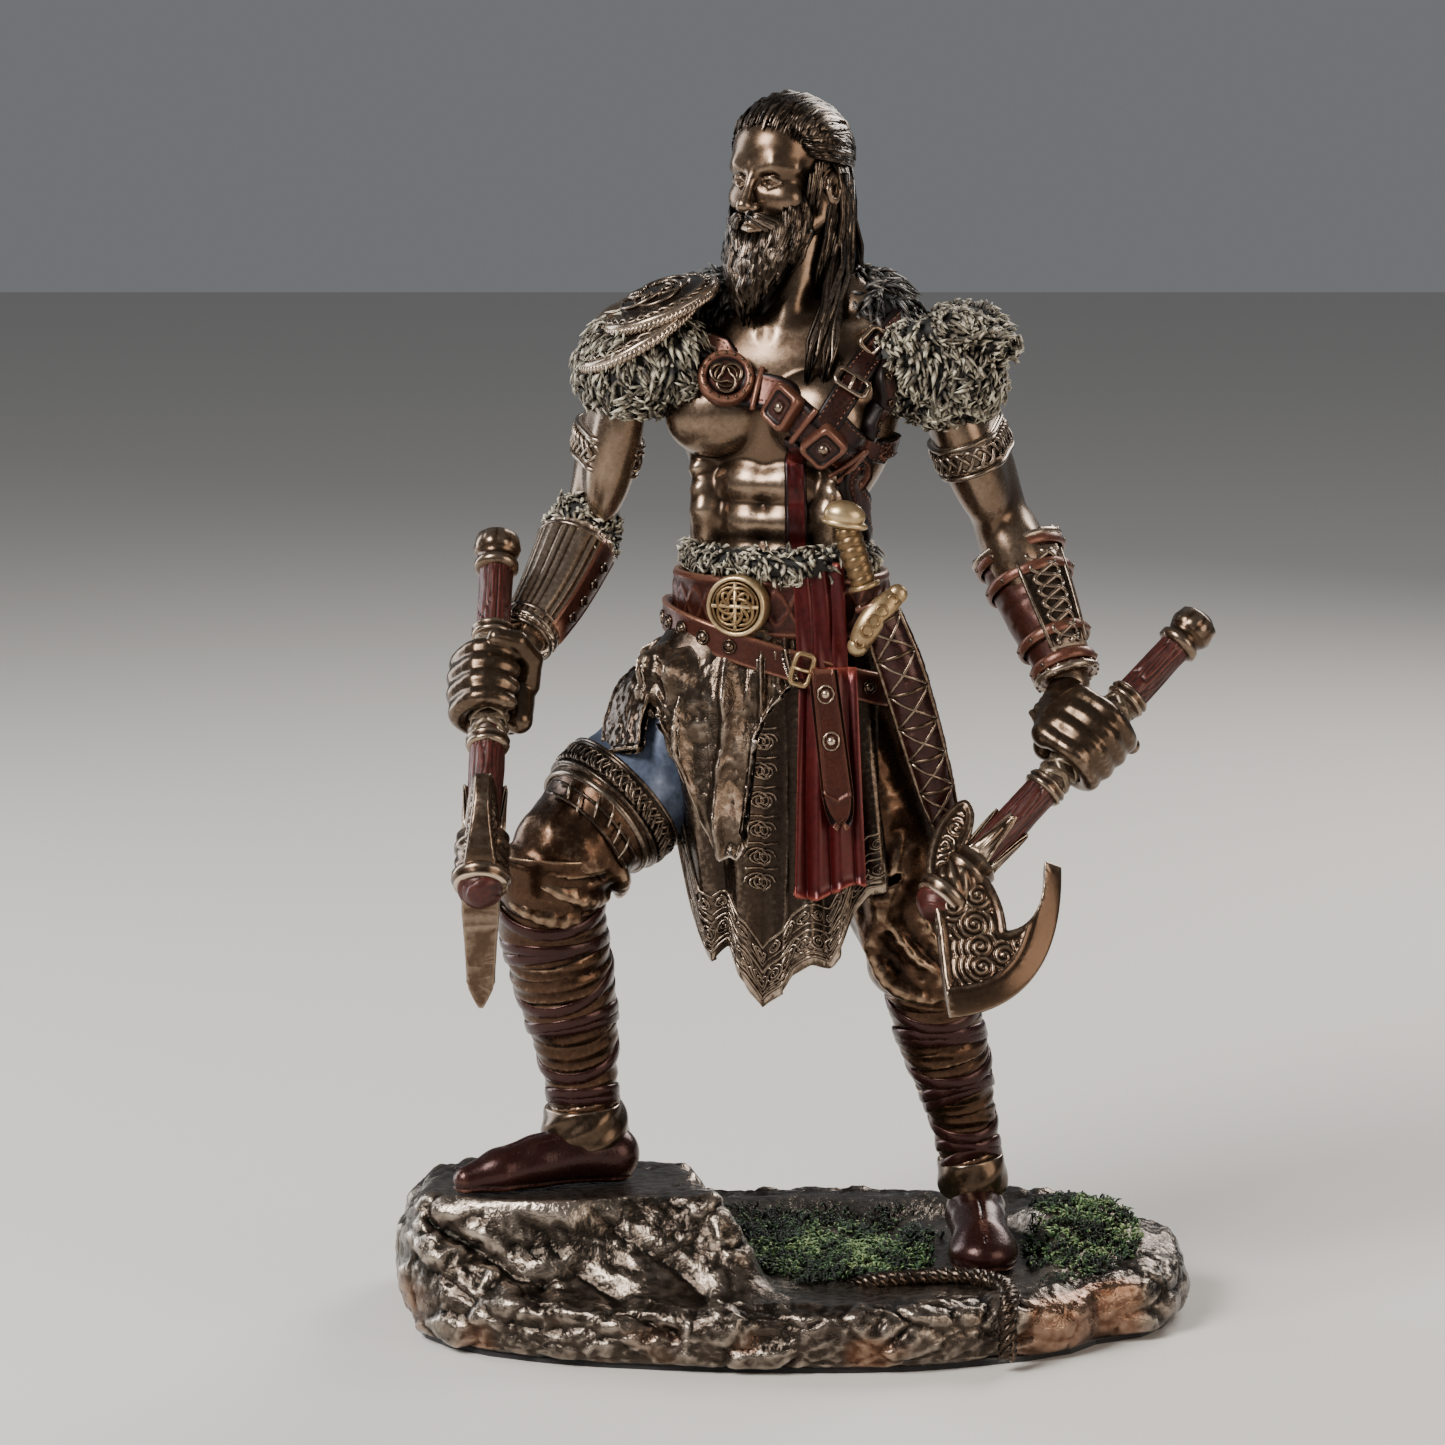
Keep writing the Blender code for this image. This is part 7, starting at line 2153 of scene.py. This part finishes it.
def langet(angle, r, end):
    """A pointed tongue of metal laid along the shaft below the head."""
    def surface(u, v):
        half = 0.66 * (1 - v) ** 0.75 + 0.02
        a = angle + (1 - 2 * u) * half
        rim = 0.32 * hump(np.abs(2 * u - 1), 0.86, 0.10) + 0.25 * hump(2 * u, 1, 0.12) * (v < 0.7)
        out = r * 1.13 + 0.25 + rim
        return np.stack([end - 11.5 - 13 * v, out * np.cos(a), out * np.sin(a)], -1)

    return cloth_sheet(surface, 0.9, 30, 40)


# The rocky base, its moss and the rope

BASE_LENGTH, BASE_DEPTH = 190.0, 113.0
BASE_BOTTOM = 1.5 - FOOT
GROUND = 14.5 - FOOT         # the flat ground under the left foot
STEP_UP = 20.5               # how much higher the right foot stands
RIM = 0.965                  # where the rock's side turns into its top, as a share of the outline
# Creases over the boulder's face and cracks down the front, as (x, z) from the front, and their depth
CREASES = (
    (((-86, 15), (-78, 11.5), (-72, 8), (-65, 3.5), (-58, 2.3)), 2.0),
    (((-58, 2.5), (-50, 4.6), (-44, 1.4), (-35, -1.7), (-27, -4.9)), 1.7),
    (((-47, 18.5), (-39, 12), (-27, 6), (-20, 0.6)), 1.3),
    (((-90, 6), (-80, 2), (-70, -4), (-60, -6), (-48, -4.5), (-38, -9)), 1.1),
    (((-2, -14), (3, -8), (1, -2)), 0.5),
)


def base_outline(angle):
    """The rock's edge seen from above, as in the solids."""
    uneven = 1.0 + 0.025 * np.sin(3 * angle + 0.4) + 0.018 * np.sin(5 * angle + 2.1)
    for notch, deep, half in ((-38.0, 0.05, 6.0), (-59.0, 0.035, 4.0)):
        uneven = uneven - deep * hump((np.degrees(angle) - notch + 180) % 360, 180, half)
    oval = np.stack([BASE_LENGTH / 2 * np.cos(angle), BASE_DEPTH / 2 * np.sin(angle)], -1)
    return oval * (uneven * squarish(angle, 2.6))[..., None]


def swell(x, y, scale, layer):
    """The soft noise that the solids' ground is drawn with."""
    rows = np.stack([scale * x, scale * y, layer + 0 * x], -1).reshape(-1, 3)
    return np.array([soft_noise.noise(row) for row in rows.tolist()]).reshape(x.shape)


def ground(x, y):
    """Height of the ground, how much of it is the boulder, and how much rests under a sole."""
    rock = smooth_step(-10, -26, x + 0.25 * y) * smooth_step(-47, -27, y + 0.06 * x)
    rock = rock * (0.32 + 0.68 * smooth_step(26, 8, y))
    rock = rock * smooth_step(52, 40, y) * (0.4 + 0.6 * smooth_step(-97, -84, x))
    top = 1.2 * swell(x, y, 0.060, 0.0) + rock * (STEP_UP + 2.2 * swell(x, y, 0.045, 3.0))
    top = top + 9.0 * np.exp(-(((x - 72) / 20) ** 2) - (((y - 12) / 24) ** 2))
    top = top + 2.5 * smooth_step(30, 45, y) * smooth_step(85, 60, np.abs(x - 10))
    flat = 0 * x
    for (cx, cy), (half_x, half_y), level in (((47.0, -3.0), (15.0, 26.0), 0.0),
                                              ((-58.0, -16.5), (26.0, 15.0), STEP_UP)):
        rests = smooth_step(1.25, 1.0, np.hypot((x - cx) / half_x, (y - cy) / half_y))
        top = top * (1 - rests) + level * rests
        flat = np.maximum(flat, rests)
    return GROUND + top, rock, flat


def off_line(x, z, line):
    """Distance from a line of (x, z) knots, and which side of it a point lies on."""
    best, side = np.full(x.shape, 99.0), np.zeros(x.shape)
    for (ax, az), (bx, bz) in zip(line, line[1:]):
        ux, uz = bx - ax, bz - az
        share = np.clip(((x - ax) * ux + (z - az) * uz) / (ux * ux + uz * uz), 0, 1)
        dx, dz = x - ax - share * ux, z - az - share * uz
        d = np.hypot(dx, dz)
        side = np.where(d < best, np.sign(ux * dz - uz * dx), side)
        best = np.minimum(best, d)
    return best, side


def make_base():
    sides, rings, rows = 620, 116, 32
    profile = vec((0.978, 0.0), (1.0, 0.07), (1.012, 0.25), (1.015, 0.5), (1.006, 0.76), (0.990, 0.92),
                  (RIM, 1.0))
    knots = np.linspace(0, 1, len(profile))
    t = np.linspace(0, 1, rows)
    a = np.linspace(0, 2 * np.pi, sides, endpoint=False)
    outline = base_outline(a)
    rim = ground(*(outline * RIM).T)[0]
    wall = outline[None] * np.interp(t, knots, profile[:, 0])[:, None, None]
    wall_z = BASE_BOTTOM + (rim - BASE_BOTTOM)[None] * np.interp(t, knots, profile[:, 1])[:, None]
    share = RIM * (1 - np.linspace(0, 1, rings + 1)[1:]) ** 0.8
    share[-1] = 0.004
    top = outline[None] * share[:, None, None]
    top_z, rock, flat = ground(top[..., 0], top[..., 1])
    p = np.concatenate([np.concatenate([wall, wall_z[..., None]], -1),
                        np.concatenate([top, top_z[..., None]], -1)])
    n = unit(np.cross(np.roll(p, -1, 1) - np.roll(p, 1, 1), np.gradient(p, axis=0)))
    n[-6:] = (0, 0, 1)
    # Rough on the sides, the boulder and the front lip; nearly flat where the ground is trodden
    x, y, z = p[..., 0], p[..., 1], p[..., 2]
    shares = np.concatenate([np.ones(rows), share])[:, None] + 0.035 * noise(p * 0.12, 90)
    rough = smooth_step(0.80, 0.92, shares)
    boulder = np.concatenate([np.ones((rows, sides)) * (rock[0] > 0.1), rock])
    rests = np.concatenate([np.zeros((rows, sides)), flat])
    rough = np.maximum(rough, smooth_step(0.06, 0.5, boulder) * (1 - 0.75 * smooth_step(0.97, 1.0, boulder)))
    rough = rough * (1 - 0.93 * rests)
    slant = p @ rot_y(24).T
    crumple = 1.5 * fbm(p / 14.0, 2, 91, True) + 0.9 * fbm(p / 5.0, 4, 94, True)
    crumple = crumple + 0.8 * (0.5 - np.abs(noise(slant * (0.05, 0.12, 0.36), 97)))
    near, second, value = worley(p / (13.0, 13.0, 9.0) + 0.12 * noise(p / 5.0, 96)[..., None], 95)
    crumple = (crumple * 0.75 + 2.6 * (value - 0.5) * smooth_step(0.0, 0.30, second - near)
               - 0.5 * hump(second, near, 0.07))
    lift = rough * (crumple - 0.6) + 0.10 * noise(p / 0.9, 101) * (0.35 + rough)
    lift = lift + 0.35 * (1 - rough) * noise(p / 7.0, 102) * (1 - rests)
    front = smooth_step(-8, -20, y)
    for line, deep in CREASES:
        off, side = off_line(x, z, line)
        lift = (lift - front * (1 - rests) * deep
                * (0.55 * np.exp(-(off / 0.9) ** 2) + 0.35 * np.exp(-(off / 3.0) ** 2)))
        lift = lift + front * (1 - rests) * 0.45 * deep * hump(off, 3.4, 1.8) * (side > 0)
    # The lip stands a little over the trodden ground in front
    lift = lift + 0.9 * front * hump(shares, 0.90, 0.035) * (1 - rests) * (boulder < 0.3)
    lift = lift * np.minimum(1, (z - BASE_BOTTOM) / 1.5 + 0.15)
    # The block at the right end is cut flat and rubbed to copper
    block = smooth_step(55, 58, x) * smooth_step(86, 82, x) * smooth_step(-24, -30, y)
    wall_side = smooth_step(0.94, 0.97, np.concatenate([np.ones(rows), share]))[:, None] + 0 * x
    lift = lift * (1 - 0.6 * block * wall_side)
    p = p + n * lift[..., None]
    p[..., 2] = np.maximum(p[..., 2], BASE_BOTTOM)
    count = (rows + rings) * sides
    quads = grid_faces(rows + rings, sides, flip=True)
    low = np.arange(sides)[::-1][None]
    high = (count - sides + np.arange(sides))[None]
    base = make("rock", p.reshape(-1, 3), [quads, np.concatenate([low, high])], ROCK)
    weather(base, (3, 14), (2.6, 1.0), 0.05 + 0.05 * (1 - rough).ravel())
    copper = np.maximum(block * wall_side, front * smooth_step(0.1, 0.5, noise(p / 9.0, 103))
                        * smooth_step(-2, -7, z) * (x < 60))
    copper = np.maximum(copper, 0.8 * smooth_step(-84, -90, x) * smooth_step(2, -4, z))
    paint(base, "tint", copper.ravel())
    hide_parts("rock_base")


def make_moss():
    grass = Bundle()
    for centre, half, count, length in (((12.0, -4.0), (29.0, 26.0), 3000, 3.0),
                                        ((6.0, 26.0), (30.0, 12.0), 600, 2.4),
                                        ((76.0, -4.0), (18.0, 29.0), 1400, 2.8)):
        spot = RNG.uniform(-1, 1, (count * 3, 2))
        off = np.hypot(*spot.T)
        spot = spot * half + centre
        x, y = spot.T
        clump = (noise(np.stack([x * 0.16, y * 0.16, 0 * x], 1), 110)
                 + 0.6 * noise(np.stack([x * 0.4, y * 0.4, 0 * x], 1), 111))
        shoe = np.hypot((x - 47) / 11.5, (y + 4) / 23) < 1
        edge = np.linalg.norm(spot / (93.0, 54.0), axis=1)
        keep = (off + 0.45 * clump < 0.92) & ~shoe & (edge < 0.93)
        x, y, clump = x[keep][:count], y[keep][:count], clump[keep][:count]
        z, _, _ = ground(x, y)
        heap = 0.9 + 1.1 * np.clip(0.5 - clump, 0, 1.2)
        way = 2 * np.pi * noise(np.stack([x * 0.11, y * 0.11, 0 * x], 1), 112) + RNG.normal(0, 0.9, len(x))
        for k in range(len(x)):
            long = length * RNG.uniform(0.6, 1.25)
            t = np.linspace(0, 1, 5)
            forward = vec(math.cos(way[k]), math.sin(way[k]), 0)
            curl = vec(-forward[1], forward[0], 0) * RNG.uniform(-1, 1)
            rise = RNG.uniform(0.15, 0.6)
            path = (vec(x[k], y[k], z[k] - 0.3) + long
                    * (forward * t[:, None] * 0.8 + curl * (t ** 2)[:, None] * 0.5
                       + vec(0, 0, 1) * (rise * np.sin(t * 2.4))[:, None]))
            path[:, 2] += heap[k] * t ** 0.5 * 0.45
            grass.strand(path, 0.42 * RNG.uniform(0.7, 1.3) * np.clip(1.1 - t ** 1.5, 0.15, 1), (0, 0, 1),
                         0.7, 4, RNG.uniform(-0.2, 0.2) + 0.4 * clump[k], root=0.02)
    grass.make("moss", MOSS, "bronze_rock")


def make_rope():
    """Three twisted strands round the toe of the left shoe and over the front edge."""
    path = spline([(13.5, -29.5, 0.2), (21.5, -32.0, 0.9), (30.0, -30.5, 1.2), (37.0, -29.5, 1.2),
                   (45.0, -30.5, 1.3), (50.5, -37.0, 1.4), (52.0, -45.5, 1.2), (51.6, -52.0, 0.0),
                   (51.2, -55.0, -5.0), (51.0, -55.6, -11.5)], 220)
    _, side, top = frames(path, (0, 0, 1))
    run = distances(path)
    fade = np.clip(run / 6.0, 0.25, 1)
    rope = []
    for k in range(3):
        turn = 2 * np.pi * (run / 7.5 + k / 3.0)
        line = path + (side * np.cos(turn)[:, None] + top * np.sin(turn)[:, None]) * (1.15 * fade)[:, None]
        rope.append(tube(line, 1.15 * fade, 9, 1.0, top))
        for m in range(4):
            fine = turn + 2 * np.pi * (run / 3.1 + m / 4.0)
            hair = (line + (side * np.cos(fine)[:, None] + top * np.sin(fine)[:, None])
                    * (1.0 * fade)[:, None])
            rope.append(tube(hair, 0.30 * fade, 5, 1.0, top))
    dress(rope, "rope", DARK_BRONZE, (2, 8), (5.0, 1.2), -0.18)


# Camera, floor and light

SENSOR = 36.0                # mm
PHOTO_SIDE = 1445.0          # pixels
FOCAL_LENGTH = 4836.0        # pixels
CAMERA_PLACE = (-0.0155, -1.15, 0.32)
CAMERA_DOWN = 0.1508         # radians below level
FLOOR_HALF = 4.0


def make_stage():
    data = bpy.data.cameras.new("camera")
    data.sensor_width = SENSOR
    data.lens = SENSOR * FOCAL_LENGTH / PHOTO_SIDE
    camera = bpy.data.objects.new("camera", data)
    camera.location = CAMERA_PLACE
    camera.rotation_euler = (math.pi / 2 - CAMERA_DOWN, 0, 0)
    bpy.context.scene.collection.objects.link(camera)
    bpy.context.scene.camera = camera

    floor = bpy.data.meshes.new("floor")
    s = FLOOR_HALF
    floor.from_pydata([(-s, -s, 0), (s, -s, 0), (s, s, 0), (-s, s, 0)], [], [(0, 1, 2, 3)])
    floor_object = bpy.data.objects.new("floor", floor)
    bpy.context.scene.collection.objects.link(floor_object)
    n = Nodes("pale_floor")
    n.shader.inputs["Base Color"].default_value = (0.62, 0.60, 0.57, 1)
    n.shader.inputs["Roughness"].default_value = 0.7
    floor.materials.append(n.material)

    world = bpy.data.worlds.new("studio")
    world.use_nodes = True
    world.node_tree.nodes["Background"].inputs[0].default_value = (0.55, 0.57, 0.6, 1)
    world.node_tree.nodes["Background"].inputs[1].default_value = 0.30
    bpy.context.scene.world = world
    for name, place, aim, size, power, colour in (
        ("key", (-0.75, -0.75, 0.95), (0, 0, 0.17), (0.5, 0.6), 30.0, (1.0, 0.97, 0.93)),
        ("fill", (0.95, -0.7, 0.45), (0, 0, 0.15), (0.7, 0.7), 6.5, (1.0, 0.86, 0.72)),
        ("rim", (0.6, 0.75, 0.75), (0, 0, 0.18), (0.6, 0.5), 11.0, (1.0, 0.95, 0.9)),
        ("side", (-0.9, 0.45, 0.4), (0, 0, 0.15), (0.4, 0.8), 8.0, (0.9, 0.95, 1.0)),
    ):
        light = bpy.data.lights.new(name, "AREA")
        light.shape = "RECTANGLE"
        light.size, light.size_y = size
        light.energy = power
        light.color = colour
        lamp = bpy.data.objects.new(name, light)
        turn = facing(vec(*place) - vec(*aim))
        lamp.matrix_world = Matrix([[*turn[i], place[i]] for i in range(3)] + [[0, 0, 0, 1]])
        bpy.context.scene.collection.objects.link(lamp)


# Triangle budget

PIECE_LIMIT = 185000
WHOLE_LIMIT = 960000


def triangles(mesh):
    """How many triangles a mesh makes."""
    totals = np.zeros(len(mesh.polygons), np.int32)
    mesh.polygons.foreach_get("loop_total", totals)
    return int((totals - 2).sum())


def thin(pieces):
    """Collapses short, flat edges so that every piece and the whole keep to their limits."""
    counts = {obj: triangles(obj.data) for obj in pieces}
    ratio = WHOLE_LIMIT / sum(counts.values())
    for obj, count in counts.items():
        share = min(PIECE_LIMIT / count, ratio)
        if share >= 1:
            continue
        modifier = obj.modifiers.new("thin", "DECIMATE")
        modifier.ratio = share
        old = obj.data
        graph = bpy.context.evaluated_depsgraph_get()
        obj.data = bpy.data.meshes.new_from_object(obj.evaluated_get(graph))
        obj.modifiers.remove(modifier)
        name = old.name
        bpy.data.meshes.remove(old)
        obj.data.name = name


make_stage()
BODY = make_body()
make_head()
make_fur()
SKIN = Surface(BODY.data)
make_plates()
make_straps(SKIN)
make_waist()
make_legs()
make_skirt()
make_dagger()
make_arm_gear(SKIN)
make_axes()
make_base()
make_moss()
make_rope()
bpy.data.objects["felt_underside"].material_slots[0].material = FELT.material
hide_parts("warrior")

FIGURE = [obj for obj in bpy.context.scene.objects
          if obj.type == "MESH" and "wear_and_painted_light" in obj.data.attributes]
thin(FIGURE)
